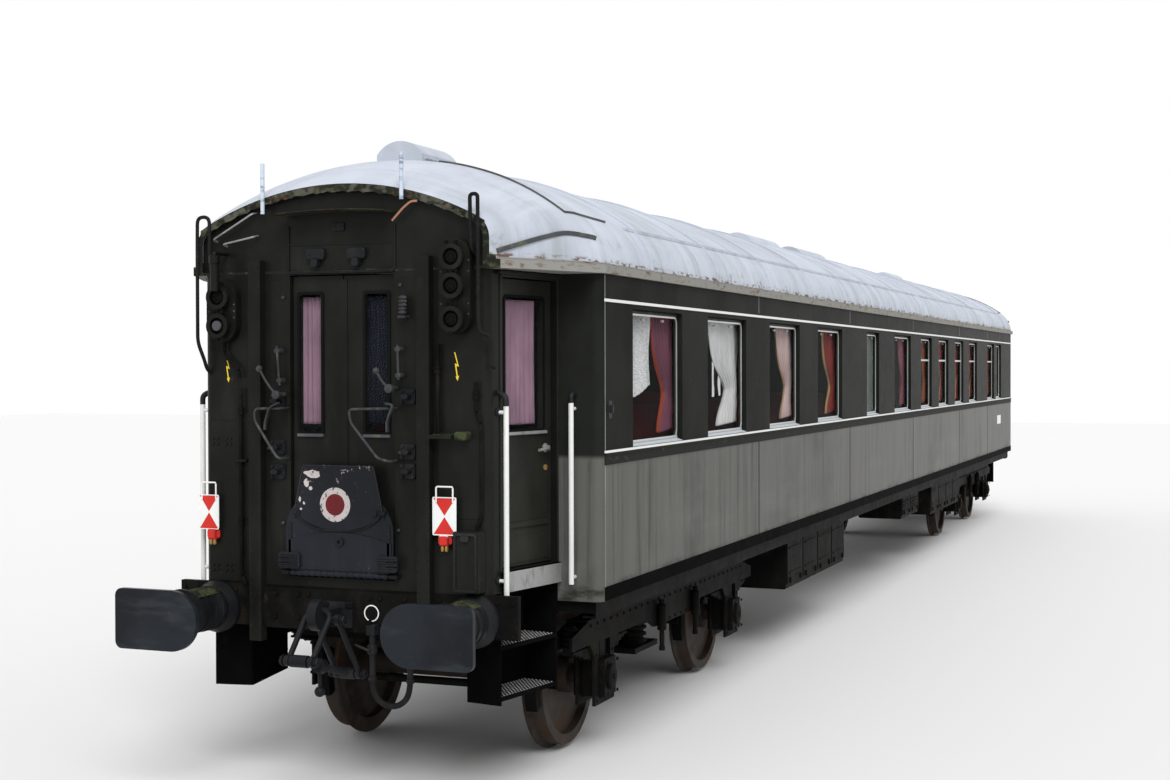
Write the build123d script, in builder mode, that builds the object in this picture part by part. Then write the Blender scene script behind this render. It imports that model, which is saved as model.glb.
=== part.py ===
"""Saloon coach on two bogies: welded steel body, tapered entrance ends, barrel roof.

Frame: millimetres, +Z up, the coach along X with the end that carries the tail boards at -X.
Origin: middle of the coach, on the level of the wheel flange tips.
Sizes named *_x, *_y and *_z are distances from the origin and hold for all four corners.
"""
import os
from math import atan2, cos, radians, sin, sqrt

from build123d import *

os.makedirs("parts", exist_ok=True)

# General clearances
door_gap = 8.0
leaf_gap = 8.0
run_clearance = 0.3

# Wheels and rails
flange_depth = 30.0
tread_radius = 475.0
flange_width = 32.0
tyre_width = 135.0
back_to_back = 1360.0
rim_thickness = 70.0
web_thickness = 28.0
hub_radius = 130.0
hub_length = 190.0
axle_radius = 82.0
journal_radius = 65.0
journal_end_y = 1085.0

# Body shell
end_wall_x = 10660.0
shoulder_x = 9940.0
side_y = 1390.0
end_corner_y = 965.0
recess_y = 1100.0
side_wall_thickness = 60.0
end_wall_thickness = 60.0
entrance_wall_thickness = 80.0
shoulder_corner_radius = 55.0
side_bottom_z = 1125.0
wall_top_z = 3135.0
floor_top_z = 1300.0
floor_thickness = 60.0

# Roof
roof_full_x = 9930.0
roof_end_x = 10700.0
roof_skin = 40.0
roof_rim_y = 900.0
soffit_thickness = 15.0
gutter_projection = 28.0
gutter_height = 52.0
gutter_seat = 12.0

# Side windows
window_bottom_z = 2052.0
window_height = 883.0
frame_rail = 34.0
frame_thickness = 16.0
frame_setback = 36.0
frame_corner_radius = 45.0
sill_rise = 16.0
sill_lip = 4.0
pane_thickness = 7.0
pane_margin = 10.0

# Mouldings along the sides
waist_rail_z = 2036.0
waist_rail_height = 30.0
waist_rail_projection = 14.0
waist_band_height = 60.0
waist_band_projection = 6.0
upper_strip_z = 2974.0
upper_strip_height = 18.0
upper_strip_projection = 8.0

# Entrance doors
entrance_post_width = 130.0
entrance_leaf_width = 580.0
entrance_bottom_z = 1375.0
entrance_top_z = 3085.0
entrance_leaf_thickness = 40.0
entrance_window_width = 410.0
entrance_window_bottom_z = 2190.0
entrance_window_height = 790.0
entrance_window_radius = 20.0
sill_plate_height = 125.0
sill_plate_thickness = 30.0

# Gangway doors, posts, hood and bridge plate
gangway_leaf_width = 344.0
gangway_bottom_z = 1305.0
gangway_top_z = 3115.0
gangway_leaf_thickness = 34.0
gangway_window_width = 150.0
gangway_window_bottom_z = 2175.0
gangway_window_height = 830.0
gangway_window_offset = 50.0
gangway_window_radius = 15.0
post_inner_y = 530.0
post_width = 84.0
post_depth = 62.0
post_flange = 10.0
post_bottom_z = 900.0
post_top_z = 3215.0
hood_projection = 150.0
hood_thickness = 8.0
hood_half_width = 370.0
hood_crown_z = 3500.0
hood_drop = 15.0
bridge_hinge_z = 1325.0
bridge_hinge_radius = 16.0
bridge_plate_width = 730.0
bridge_plate_height = 435.0
bridge_plate_thickness = 10.0
bridge_shoulder_width = 85.0
bridge_shoulder_height = 180.0
bridge_tread_inset = 10.0
bridge_tread_height = 253.0
bridge_tread_crown = 59.0
bridge_apron_top_width = 486.0
bridge_apron_width = 612.0
bridge_apron_top_z = 1980.0
bridge_apron_bottom_z = 1587.0
bridge_apron_sag = 105.0
bridge_apron_thickness = 8.0
bridge_block_start = 257.0
bridge_block_width = 146.0
bridge_block_height = 96.0
bridge_block_depth = 26.0
bridge_block_ribs = 3

# Underframe
headstock_bottom_z = 985.0
headstock_thickness = 40.0
headstock_half_width = 1150.0
nose_plate_thickness = 40.0
nose_plate_half_width = 528.0
nose_plate_top_z = 1230.0
sill_bottom_z = 1045.0
solebar_bottom_z = 1015.0
solebar_depth = 90.0
solebar_web = 12.0
centre_sill_y = 300.0
centre_sill_width = 120.0
end_sill_y = 620.0
cross_member_width = 110.0
bolster_width = 420.0

# Bogies
pivot_x = 7550.0
wheelbase = 3000.0
frame_overhang = 580.0
frame_inner_y = 930.0
frame_outer_y = 1050.0
frame_plate = 20.0
frame_top_z = 900.0
frame_cover_thickness = 15.0
frame_beam_height = 150.0
frame_end_drop = 60.0
end_beam_width = 55.0
transom_offset = 300.0
transom_width = 90.0
transom_height = 150.0
bolster_half_width = 170.0
bolster_bottom_z = 700.0
bolster_top_z = 1000.0
pedestal_leg_width = 75.0
pedestal_bottom_z = 330.0
pedestal_tie_height = 40.0
centre_pad_radius = 240.0
pivot_pin_radius = 45.0
pivot_pin_height = 70.0
side_bearer_y = 620.0
side_bearer_radius = 70.0
box_width = 210.0
box_height = 250.0
box_half_depth = 110.0
box_cap_radius = 85.0
box_cap_thickness = 14.0
box_end_wall = 20.0
box_bore_radius = 66.0
leaf_spring_length = 1000.0
leaf_thickness = 14.0
leaf_width = 90.0
leaf_count = 7
leaf_step = 110.0
coil_radius = 42.0
brake_clearance = 10.0
brake_block_thickness = 60.0
brake_block_height = 300.0
brake_block_width = 80.0
brake_beam_radius = 26.0
brake_hanger_width = 40.0

# Buffers and draw gear
buffer_length = 640.0
buffer_y = 875.0
buffer_z = 1090.0
buffer_head_height = 356.0
buffer_head_inner = 275.0
buffer_head_outer = 290.0
buffer_head_thickness = 34.0
buffer_head_corner = 45.0
buffer_base_radius = 190.0
buffer_base_thickness = 28.0
buffer_barrel_radius = 118.0
buffer_barrel_length = 380.0
buffer_plunger_radius = 92.0
hook_z = 1090.0
hook_thickness = 60.0
hook_reach = 330.0
hook_shank_height = 93.0
hook_head_radius = 95.0
hook_mouth_radius = 32.0
hook_guide_width = 210.0
hook_guide_height = 150.0
hook_guide_thickness = 30.0
link_bar_radius = 17.0
link_eye_radius = 32.0
link_eye_thickness = 30.0
link_pin_radius = 21.0
link_pin_reach = 104.0
link_half_width = 78.0
link_back = 250.0
link_drop = 360.0
bow_bend = 55.0
screw_run = 550.0
screw_rise = 160.0
screw_radius = 20.0
trunnion_radius = 36.0
screw_collar_radius = 44.0
screw_collar_length = 60.0
lever_drop = 150.0
lever_radius = 11.0
lever_weight_radius = 32.0

half_length = end_wall_x + buffer_length
frame_half_length = wheelbase / 2 + frame_overhang


def wall_y(x):
    """Outer face of the tapered entrance wall at a distance x along the coach."""
    slope = (recess_y - end_corner_y) / (end_wall_x - shoulder_x)
    return end_corner_y + (end_wall_x - x) * slope


taper = atan2(recess_y - end_corner_y, end_wall_x - shoulder_x)

# Entrance wall at the +X, -Y corner laid out flat: x runs inward from the end corner,
# y outward from the outer face, z up
entrance_frame = Plane(
    origin=(end_wall_x, -end_corner_y, 0),
    x_dir=(-cos(taper), -sin(taper), 0),
    z_dir=(0, 0, 1),
)


def corner_copy(piece, sx, sy):
    """Copy of a piece made at the +X, -Y corner, mirrored to the corner with these signs."""
    copy = piece
    if sy > 0:
        copy = copy.mirror(Plane.XZ)
    if sx < 0:
        copy = copy.mirror(Plane.YZ)
    return copy


def both_ends(piece):
    """Piece made at the +X end and its copy turned half round to the -X end."""
    return [piece, piece.rotate(Axis.Z, 180)]


corners = [(sx, sy) for sx in (-1, 1) for sy in (-1, 1)]

# Roof sections: distance from the middle, half width at the eaves, crown height,
# crown radius, shoulder radius
roof_sections = [
    (roof_full_x, 1390.0, 3883.0, 2100.0, 405.0),
    (10150.0, 1296.0, 3858.0, 2080.0, 350.0),
    (10420.0, 1152.0, 3786.0, 2040.0, 260.0),
    (roof_end_x, 992.0, 3660.0, 2000.0, 150.0),
]


def roof_face(x, half_width, crown_z, crown_radius, shoulder_radius, inset, base_z):
    """Closed roof section: base, two upright edges, two shoulder arcs and a crown arc."""
    w = half_width - inset
    top = crown_z - inset
    big = crown_radius - inset
    small = shoulder_radius - inset
    cy = w - small
    cz = top - big + sqrt((big - small) ** 2 - cy ** 2)
    k = big / (big - small)
    ty = cy * k
    tz = top - big + (cz - top + big) * k
    half = atan2(ty, tz - top + big) / 2
    my = cy + small * sin(half * 2 + (radians(90) - half * 2) / 2)
    mz = cz + small * cos(half * 2 + (radians(90) - half * 2) / 2)
    with BuildSketch(Plane(origin=(x, 0, 0), x_dir=(0, 1, 0), z_dir=(1, 0, 0))) as section:
        with BuildLine():
            Line((-w, base_z), (w, base_z))
            Line((w, base_z), (w, cz))
            ThreePointArc((w, cz), (my, mz), (ty, tz))
            ThreePointArc((ty, tz), (0, top), (-ty, tz))
            ThreePointArc((-ty, tz), (-my, mz), (-w, cz))
            Line((-w, cz), (-w, base_z))
        make_face()
    return section.sketch


def roof_end_solid(inset, base_z):
    """Domed end of the roof on the +X side, outer form or its hollow."""
    with BuildPart() as dome:
        for x, half_width, crown_z, crown_radius, shoulder_radius in roof_sections:
            add(roof_face(x, half_width, crown_z, crown_radius, shoulder_radius, inset, base_z))
        loft()
    return dome.part


def roof_barrel(inset, base_z):
    """Straight barrel of the roof between the two domed ends."""
    x, half_width, crown_z, crown_radius, shoulder_radius = roof_sections[0]
    face = roof_face(-x, half_width, crown_z, crown_radius, shoulder_radius, inset, base_z)
    with BuildPart() as barrel:
        add(face)
        extrude(amount=2 * x, dir=(1, 0, 0))
    return barrel.part


# Window table: middle of the window along the coach, width of the opening
big_window = 1020.0
small_window = 780.0
washroom_window = 640.0
windows = [
    (-8860.0, big_window),
    (-7235.0, big_window),
    (-5505.0, big_window),
    (-3795.0, big_window),
    (-1790.0, washroom_window),
    (-80.0, big_window),
    (1500.0, small_window),
    (2820.0, small_window),
    (4150.0, small_window),
    (5475.0, small_window),
    (7370.0, small_window),
    (8290.0, washroom_window),
]
window_mid_z = window_bottom_z + window_height / 2

# Side walls: each a long panel with a return round the shoulder at both ends
with BuildPart() as side_walls:
    inner_x = shoulder_x - side_wall_thickness
    inner_y = side_y - side_wall_thickness
    with BuildSketch(Plane.XY.offset(side_bottom_z)):
        with BuildLine():
            Polyline(
                (-shoulder_x, wall_y(shoulder_x)),
                (-shoulder_x, side_y),
                (shoulder_x, side_y),
                (shoulder_x, wall_y(shoulder_x)),
                (inner_x, wall_y(inner_x)),
                (inner_x, inner_y),
                (-inner_x, inner_y),
                (-inner_x, wall_y(inner_x)),
                close=True,
            )
        make_face()
    extrude(amount=wall_top_z - side_bottom_z)
    outer_corners = side_walls.edges().filter_by(Axis.Z).group_by(Axis.Y)[-1]
    fillet(outer_corners, shoulder_corner_radius)
    for window_x, window_width in windows:
        with BuildSketch(Plane.XZ.offset(-side_y - 1)):
            with Locations((window_x, window_mid_z)):
                Rectangle(window_width, window_height)
        extrude(amount=side_wall_thickness + 2, mode=Mode.SUBTRACT)
    mirror(about=Plane.XZ)

side_walls.part.label = "side_walls"
export_step(side_walls.part, "parts/side_walls.step")

# Side mouldings: white waist rail on its dark band, and the thin strip above the windows
with BuildPart() as side_mouldings:
    rail_bottom = waist_rail_z - waist_rail_height / 2
    straight = 2 * (shoulder_x - shoulder_corner_radius)
    with BuildSketch(Plane.YZ.offset(-straight / 2)):
        with BuildLine():
            Polyline(
                (side_y, rail_bottom - waist_band_height),
                (side_y + waist_band_projection, rail_bottom - waist_band_height),
                (side_y + waist_band_projection, rail_bottom),
                (side_y + waist_rail_projection, rail_bottom),
                (side_y + waist_rail_projection, rail_bottom + waist_rail_height),
                (side_y, rail_bottom + waist_rail_height),
                close=True,
            )
        make_face()
        with Locations((side_y + upper_strip_projection / 2, upper_strip_z)):
            Rectangle(upper_strip_projection, upper_strip_height)
    extrude(amount=straight)
    mirror(about=Plane.XZ)

side_mouldings.part.label = "side_mouldings"
export_step(side_mouldings.part, "parts/side_mouldings.step")

# Window frames: square outside, rounded inside, each with a sloping sill tray
window_frame_y = side_y - frame_setback
with BuildPart() as window_frames:
    for window_x, window_width in windows:
        with BuildSketch(Plane.XZ.offset(-window_frame_y)):
            with Locations((window_x, window_mid_z)):
                Rectangle(window_width, window_height)
                RectangleRounded(
                    window_width - 2 * frame_rail,
                    window_height - 2 * frame_rail,
                    frame_corner_radius,
                    mode=Mode.SUBTRACT,
                )
        extrude(amount=frame_thickness)
        with BuildSketch(Plane.YZ.offset(window_x - window_width / 2)):
            with BuildLine():
                Polyline(
                    (window_frame_y, window_bottom_z),
                    (side_y, window_bottom_z),
                    (side_y, window_bottom_z + sill_lip),
                    (window_frame_y, window_bottom_z + sill_rise),
                    close=True,
                )
            make_face()
        extrude(amount=window_width)
    mirror(about=Plane.XZ)

window_frames.part.label = "window_frames"
export_step(window_frames.part, "parts/window_frames.step")

# Window panes behind their frames
pane_outer_y = window_frame_y - frame_thickness
with BuildPart() as window_panes:
    for window_x, window_width in windows:
        with BuildSketch(Plane.XZ.offset(-pane_outer_y)):
            with Locations((window_x, window_mid_z)):
                Rectangle(window_width - 2 * pane_margin, window_height - 2 * pane_margin)
        extrude(amount=pane_thickness)
    mirror(about=Plane.XZ)

window_panes.part.label = "window_panes"
export_step(window_panes.part, "parts/window_panes.step")

# End walls: end panel with the tympanum under the roof, and the tapered entrance walls
entrance_opening = entrance_leaf_width + 2 * door_gap
gangway_opening = 2 * gangway_leaf_width + 3 * leaf_gap
hollow_end = roof_end_solid(roof_skin, wall_top_z + soffit_thickness)
with BuildPart() as entrance_hole:
    with BuildSketch(entrance_frame.offset(entrance_bottom_z - door_gap)):
        with Locations((entrance_post_width + entrance_opening / 2, -entrance_wall_thickness / 2)):
            Rectangle(entrance_opening, entrance_wall_thickness + 2)
    extrude(amount=entrance_top_z - entrance_bottom_z + 2 * door_gap)

with BuildPart() as end_walls:
    with BuildSketch(Plane.XY.offset(floor_top_z - floor_thickness)):
        with BuildLine():
            Polyline(
                (shoulder_x - side_wall_thickness, wall_y(shoulder_x - side_wall_thickness)),
                (end_wall_x, end_corner_y),
                (end_wall_x, -end_corner_y),
                (shoulder_x - side_wall_thickness, -wall_y(shoulder_x - side_wall_thickness)),
                close=True,
            )
        make_face()
    extrude(amount=wall_top_z - floor_top_z + floor_thickness)
    lower_corners = end_walls.edges().filter_by(Axis.Z).group_by(Axis.X)[-1]
    fillet(lower_corners, shoulder_corner_radius)
    inset_y = entrance_wall_thickness / cos(taper)
    with BuildSketch(Plane.XY.offset(floor_top_z - floor_thickness)):
        with BuildLine():
            Polyline(
                (shoulder_x - side_wall_thickness - 1,
                 wall_y(shoulder_x - side_wall_thickness - 1) - inset_y),
                (end_wall_x - end_wall_thickness, wall_y(end_wall_x - end_wall_thickness) - inset_y),
                (end_wall_x - end_wall_thickness, -wall_y(end_wall_x - end_wall_thickness) + inset_y),
                (shoulder_x - side_wall_thickness - 1,
                 -wall_y(shoulder_x - side_wall_thickness - 1) + inset_y),
                close=True,
            )
        make_face()
    extrude(amount=wall_top_z - floor_top_z + floor_thickness, mode=Mode.SUBTRACT)
    for sy in (-1, 1):
        add(corner_copy(entrance_hole.part, 1, sy), mode=Mode.SUBTRACT)
    with BuildSketch(Plane.YZ.offset(end_wall_x + 1)):
        with Locations((0, (gangway_bottom_z + gangway_top_z) / 2)):
            Rectangle(gangway_opening, gangway_top_z - gangway_bottom_z + 2 * leaf_gap)
    extrude(amount=-end_wall_thickness - 2, mode=Mode.SUBTRACT)
    with BuildSketch(Plane.YZ.offset(end_wall_x - end_wall_thickness)):
        with Locations((0, wall_top_z + 400)):
            Rectangle(2 * side_y, 800)
    tympanum = extrude(amount=end_wall_thickness, mode=Mode.PRIVATE) & hollow_end
    add(tympanum)
    add(end_walls.part.rotate(Axis.Z, 180))

end_walls.part.label = "end_walls"
export_step(end_walls.part, "parts/end_walls.step")

# Roof: barrel and domed ends as one shell, closed below the overhang, with its gutter
with BuildPart() as roof:
    add(roof_barrel(0, wall_top_z))
    dome = roof_end_solid(0, wall_top_z)
    add(dome)
    add(dome.rotate(Axis.Z, 180))
    with BuildSketch(Plane.XY.offset(wall_top_z)):
        eaves = [(x, w) for x, w, *_ in roof_sections]
        plan = eaves + [(x, -w) for x, w in reversed(eaves)]
        plan = plan + [(-x, -y) for x, y in plan]
        for grow, cut in ((gutter_projection, Mode.ADD), (-gutter_seat, Mode.SUBTRACT)):
            with BuildLine():
                Polyline(*[(x, y + (grow if y > 0 else -grow)) for x, y in plan], close=True)
            make_face(mode=cut)
    extrude(amount=gutter_height)
    add(roof_barrel(roof_skin, wall_top_z - 1), mode=Mode.SUBTRACT)
    add(hollow_end, mode=Mode.SUBTRACT)
    add(hollow_end.rotate(Axis.Z, 180), mode=Mode.SUBTRACT)
    for end in (-1, 1):
        with Locations((end * (end_wall_x + roof_end_x + 1) / 2, 0, wall_top_z)):
            Box(roof_end_x + 1 - end_wall_x, 2 * roof_rim_y, 2 * (soffit_thickness + 1),
                mode=Mode.SUBTRACT)

roof.part.label = "roof"
export_step(roof.part, "parts/roof.step")

# Floor: one plate with the plan of the body, inside its walls
with BuildPart() as floor:
    with BuildSketch(Plane.XY.offset(floor_top_z - floor_thickness)):
        wall_x = shoulder_x - side_wall_thickness
        end_x = end_wall_x - end_wall_thickness
        inset_y = entrance_wall_thickness / cos(taper)
        with BuildLine():
            Polyline(
                (-wall_x, side_y - side_wall_thickness),
                (wall_x, side_y - side_wall_thickness),
                (wall_x, wall_y(wall_x) - inset_y),
                (end_x, wall_y(end_x) - inset_y),
                (end_x, -wall_y(end_x) + inset_y),
                (wall_x, -wall_y(wall_x) + inset_y),
                (wall_x, -side_y + side_wall_thickness),
                (-wall_x, -side_y + side_wall_thickness),
                (-wall_x, -wall_y(wall_x) + inset_y),
                (-end_x, -wall_y(end_x) + inset_y),
                (-end_x, wall_y(end_x) - inset_y),
                (-wall_x, wall_y(wall_x) - inset_y),
                close=True,
            )
        make_face()
    extrude(amount=floor_thickness)

floor.part.label = "floor"
export_step(floor.part, "parts/floor.step")

# Underframe: solebars, centre sills, cross members, bolsters and both headstocks
sill_top_z = floor_top_z - floor_thickness
sill_height = sill_top_z - sill_bottom_z
solebar_outer_y = side_y - side_wall_thickness
cross_members_x = [-4700.0, -3100.0, -1550.0, 0.0, 1550.0, 3100.0, 4700.0]
with BuildPart() as underframe:
    with BuildSketch(Plane.YZ.offset(-shoulder_x + side_wall_thickness)):
        with BuildLine():
            Polyline(
                (solebar_outer_y, solebar_bottom_z),
                (solebar_outer_y, sill_top_z),
                (solebar_outer_y - solebar_depth, sill_top_z),
                (solebar_outer_y - solebar_depth, sill_top_z - solebar_web),
                (solebar_outer_y - solebar_web, sill_top_z - solebar_web),
                (solebar_outer_y - solebar_web, solebar_bottom_z + solebar_web),
                (solebar_outer_y - solebar_depth, solebar_bottom_z + solebar_web),
                (solebar_outer_y - solebar_depth, solebar_bottom_z),
                close=True,
            )
        make_face()
        with Locations((centre_sill_y, sill_bottom_z + sill_height / 2)):
            Rectangle(centre_sill_width, sill_height)
    extrude(amount=2 * (shoulder_x - side_wall_thickness))
    mirror(about=Plane.XZ)
    member_length = 2 * (solebar_outer_y - solebar_web)
    member_z = sill_bottom_z + sill_height / 2
    for member_x in cross_members_x:
        with Locations((member_x, 0, member_z)):
            Box(cross_member_width, member_length, sill_height)
    with Locations((-pivot_x, 0, member_z), (pivot_x, 0, member_z)):
        Box(bolster_width, member_length, sill_height)
    for end in (-1, 1):
        end_member_x = end * (shoulder_x - side_wall_thickness - cross_member_width / 2)
        with Locations((end_member_x, 0, member_z)):
            Box(cross_member_width, member_length, sill_height)
        inner = shoulder_x - side_wall_thickness - 1
        outer = end_wall_x - headstock_thickness
        for y in (-end_sill_y, -centre_sill_y, centre_sill_y, end_sill_y):
            with Locations((end * (inner + outer) / 2, y, member_z)):
                Box(outer - inner + 2, centre_sill_width, sill_height)
        headstock_mid_z = (headstock_bottom_z + sill_top_z) / 2
        with Locations((end * (end_wall_x - headstock_thickness / 2), 0, headstock_mid_z)):
            Box(headstock_thickness, 2 * headstock_half_width, sill_top_z - headstock_bottom_z)
        nose_mid_z = (headstock_bottom_z + nose_plate_top_z) / 2
        with Locations((end * (end_wall_x + nose_plate_thickness / 2), 0, nose_mid_z)):
            Box(nose_plate_thickness, 2 * nose_plate_half_width,
                nose_plate_top_z - headstock_bottom_z)
    with Locations((-pivot_x, 0, sill_bottom_z), (pivot_x, 0, sill_bottom_z)):
        Cylinder(pivot_pin_radius + run_clearance, 2 * (pivot_pin_height + 5), mode=Mode.SUBTRACT)

underframe.part.label = "underframe"
export_step(underframe.part, "parts/underframe.step")

leaf_start = entrance_post_width + door_gap
leaf_end = leaf_start + entrance_leaf_width
leaf_inner = -entrance_wall_thickness
leaf_outer = leaf_inner + entrance_leaf_thickness
leaf_height = entrance_top_z - entrance_bottom_z

# Entrance door hinges: pins on the post, knuckles on the leaf
hinge_x = entrance_post_width - 4.0
hinge_y = leaf_inner - 12.0
knuckle_radius = 9.0
knuckle_height = 60.0
hinge_pin_radius = 5.0
strap_thickness = 6.0
strap_length = 30.0
entrance_hinges_z = [entrance_bottom_z + 180.0, entrance_top_z - 240.0]

with BuildPart() as entrance_leaf:
    with BuildSketch(entrance_frame.offset(entrance_bottom_z)):
        with Locations(((leaf_start + leaf_end) / 2, (leaf_inner + leaf_outer) / 2)):
            Rectangle(entrance_leaf_width, entrance_leaf_thickness)
    extrude(amount=leaf_height)
    pane_plane = Plane(
        origin=entrance_frame.from_local_coords((leaf_start, leaf_outer + 1, 0)),
        x_dir=entrance_frame.x_dir,
        z_dir=-entrance_frame.y_dir,
    )
    with BuildSketch(pane_plane):
        window_z = entrance_window_bottom_z + entrance_window_height / 2
        with Locations((entrance_leaf_width / 2, window_z)):
            RectangleRounded(entrance_window_width, entrance_window_height,
                             entrance_window_radius)
    extrude(amount=entrance_leaf_thickness + 2, mode=Mode.SUBTRACT)
    for hinge_z in entrance_hinges_z:
        with BuildSketch(entrance_frame.offset(hinge_z + run_clearance)):
            with BuildLine():
                Polyline(
                    (hinge_x, hinge_y - strap_thickness / 2),
                    (leaf_start + strap_length, hinge_y - strap_thickness / 2),
                    (leaf_start + strap_length, leaf_inner),
                    (leaf_start, leaf_inner),
                    (leaf_start, hinge_y + strap_thickness / 2),
                    (hinge_x, hinge_y + strap_thickness / 2),
                    close=True,
                )
            make_face()
            with Locations((hinge_x, hinge_y)):
                Circle(knuckle_radius)
                Circle(hinge_pin_radius + run_clearance, mode=Mode.SUBTRACT)
        extrude(amount=knuckle_height)

for name, sx, sy in [("entrance_door_a", -1, -1), ("entrance_door_b", -1, 1),
                     ("entrance_door_c", 1, -1), ("entrance_door_d", 1, 1)]:
    door = corner_copy(entrance_leaf.part, sx, sy)
    door.label = name
    export_step(door, f"parts/{name}.step")

with BuildPart() as entrance_hinges:
    for hinge_z in entrance_hinges_z:
        with BuildSketch(entrance_frame.offset(hinge_z - knuckle_height)):
            with Locations((hinge_x, hinge_y)):
                Circle(knuckle_radius)
            with BuildLine():
                Polyline(
                    (hinge_x, hinge_y - strap_thickness / 2),
                    (hinge_x, leaf_inner),
                    (hinge_x - strap_length, leaf_inner),
                    (hinge_x - strap_length, hinge_y - strap_thickness / 2),
                    close=True,
                )
            make_face()
        extrude(amount=knuckle_height)
        with BuildSketch(entrance_frame.offset(hinge_z)):
            with Locations((hinge_x, hinge_y)):
                Circle(hinge_pin_radius)
        extrude(amount=knuckle_height - 5)

# Sill plates below the entrance doors, and the steps hung from them
with BuildPart() as sill_plate:
    with BuildSketch(entrance_frame.offset(entrance_bottom_z - door_gap - sill_plate_height)):
        with Locations((entrance_post_width + entrance_opening / 2, sill_plate_thickness / 2)):
            Rectangle(entrance_opening, sill_plate_thickness)
    extrude(amount=sill_plate_height)

# Entrance steps: two treads between cheeks below each sill plate
step_depth = 240.0
step_treads_z = [600.0, 900.0]
step_tread_thickness = 25.0
step_cheek_thickness = 12.0
step_cheek_bottom_z = 575.0
step_inset = 6.0
with BuildPart() as step_unit:
    step_start = entrance_post_width
    step_width = entrance_opening
    cheek_height = floor_top_z - floor_thickness - step_cheek_bottom_z
    for tread_z in step_treads_z:
        with BuildSketch(entrance_frame.offset(tread_z)):
            with Locations((step_start + step_width / 2, -step_depth / 2 - step_inset)):
                Rectangle(step_width, step_depth)
        extrude(amount=step_tread_thickness)
    with BuildSketch(entrance_frame.offset(step_cheek_bottom_z)):
        for cheek_x in (step_start, step_start + step_width):
            with Locations((cheek_x, -step_depth / 2 - step_inset)):
                Rectangle(step_cheek_thickness, step_depth)
        with Locations((step_start + step_width / 2, -step_depth - step_inset)):
            Rectangle(step_width, step_cheek_thickness)
    extrude(amount=cheek_height)

with BuildPart() as entrance_steps:
    for sx, sy in corners:
        add(corner_copy(step_unit.part, sx, sy))
        add(corner_copy(sill_plate.part, sx, sy))

entrance_steps.part.label = "entrance_steps"
export_step(entrance_steps.part, "parts/entrance_steps.step")

# Gangway doors: two leaves at each end, hung on pins inside the end wall
end_face = Plane(origin=(end_wall_x, 0, 0), x_dir=(0, 1, 0), z_dir=(1, 0, 0))
gangway_jamb_y = gangway_opening / 2
gangway_leaf_y = gangway_jamb_y - leaf_gap
gangway_leaf_x = end_wall_x - end_wall_thickness
gangway_hinge_y = gangway_jamb_y + 2.0
gangway_hinge_x = gangway_leaf_x - 10.0
gangway_knuckle_radius = 8.0
gangway_pin_radius = 4.0
gangway_hinges_z = [gangway_bottom_z + 200.0, gangway_top_z - 260.0]
with BuildPart() as gangway_leaf:
    with BuildSketch(end_face.offset(-end_wall_thickness)):
        leaf_mid_y = gangway_leaf_y - gangway_leaf_width / 2
        with Locations((leaf_mid_y, (gangway_bottom_z + gangway_top_z) / 2)):
            Rectangle(gangway_leaf_width, gangway_top_z - gangway_bottom_z)
        with Locations((leaf_mid_y + gangway_window_offset,
                        gangway_window_bottom_z + gangway_window_height / 2)):
            RectangleRounded(gangway_window_width, gangway_window_height,
                             gangway_window_radius, mode=Mode.SUBTRACT)
    extrude(amount=gangway_leaf_thickness)
    for hinge_z in gangway_hinges_z:
        with BuildSketch(Plane.XY.offset(hinge_z + run_clearance)):
            with BuildLine():
                Polyline(
                    (gangway_hinge_x - strap_thickness / 2, gangway_hinge_y),
                    (gangway_hinge_x - strap_thickness / 2, gangway_leaf_y - strap_length),
                    (gangway_leaf_x, gangway_leaf_y - strap_length),
                    (gangway_leaf_x, gangway_leaf_y),
                    (gangway_hinge_x + strap_thickness / 2, gangway_leaf_y),
                    (gangway_hinge_x + strap_thickness / 2, gangway_hinge_y),
                    close=True,
                )
            make_face()
            with Locations((gangway_hinge_x, gangway_hinge_y)):
                Circle(gangway_knuckle_radius)
                Circle(gangway_pin_radius + run_clearance, mode=Mode.SUBTRACT)
        extrude(amount=knuckle_height)

for name, sx, sy in [("gangway_door_a", -1, -1), ("gangway_door_b", -1, 1),
                     ("gangway_door_c", 1, -1), ("gangway_door_d", 1, 1)]:
    door = corner_copy(gangway_leaf.part, sx, -sy)
    door.label = name
    export_step(door, f"parts/{name}.step")

with BuildPart() as gangway_hinges:
    for hinge_z in gangway_hinges_z:
        with BuildSketch(Plane.XY.offset(hinge_z - knuckle_height)):
            with Locations((gangway_hinge_x, gangway_hinge_y)):
                Circle(gangway_knuckle_radius)
            with BuildLine():
                Polyline(
                    (gangway_hinge_x - strap_thickness / 2, gangway_hinge_y),
                    (gangway_leaf_x, gangway_hinge_y),
                    (gangway_leaf_x, gangway_hinge_y + strap_length),
                    (gangway_hinge_x - strap_thickness / 2, gangway_hinge_y + strap_length),
                    close=True,
                )
            make_face()
        extrude(amount=knuckle_height)
        with BuildSketch(Plane.XY.offset(hinge_z)):
            with Locations((gangway_hinge_x, gangway_hinge_y)):
                Circle(gangway_pin_radius)
        extrude(amount=knuckle_height - 5)

with BuildPart() as door_hinges:
    for sx, sy in corners:
        add(corner_copy(entrance_hinges.part, sx, sy))
        add(corner_copy(gangway_hinges.part, sx, -sy))

door_hinges.part.label = "door_hinges"
export_step(door_hinges.part, "parts/door_hinges.step")

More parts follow.
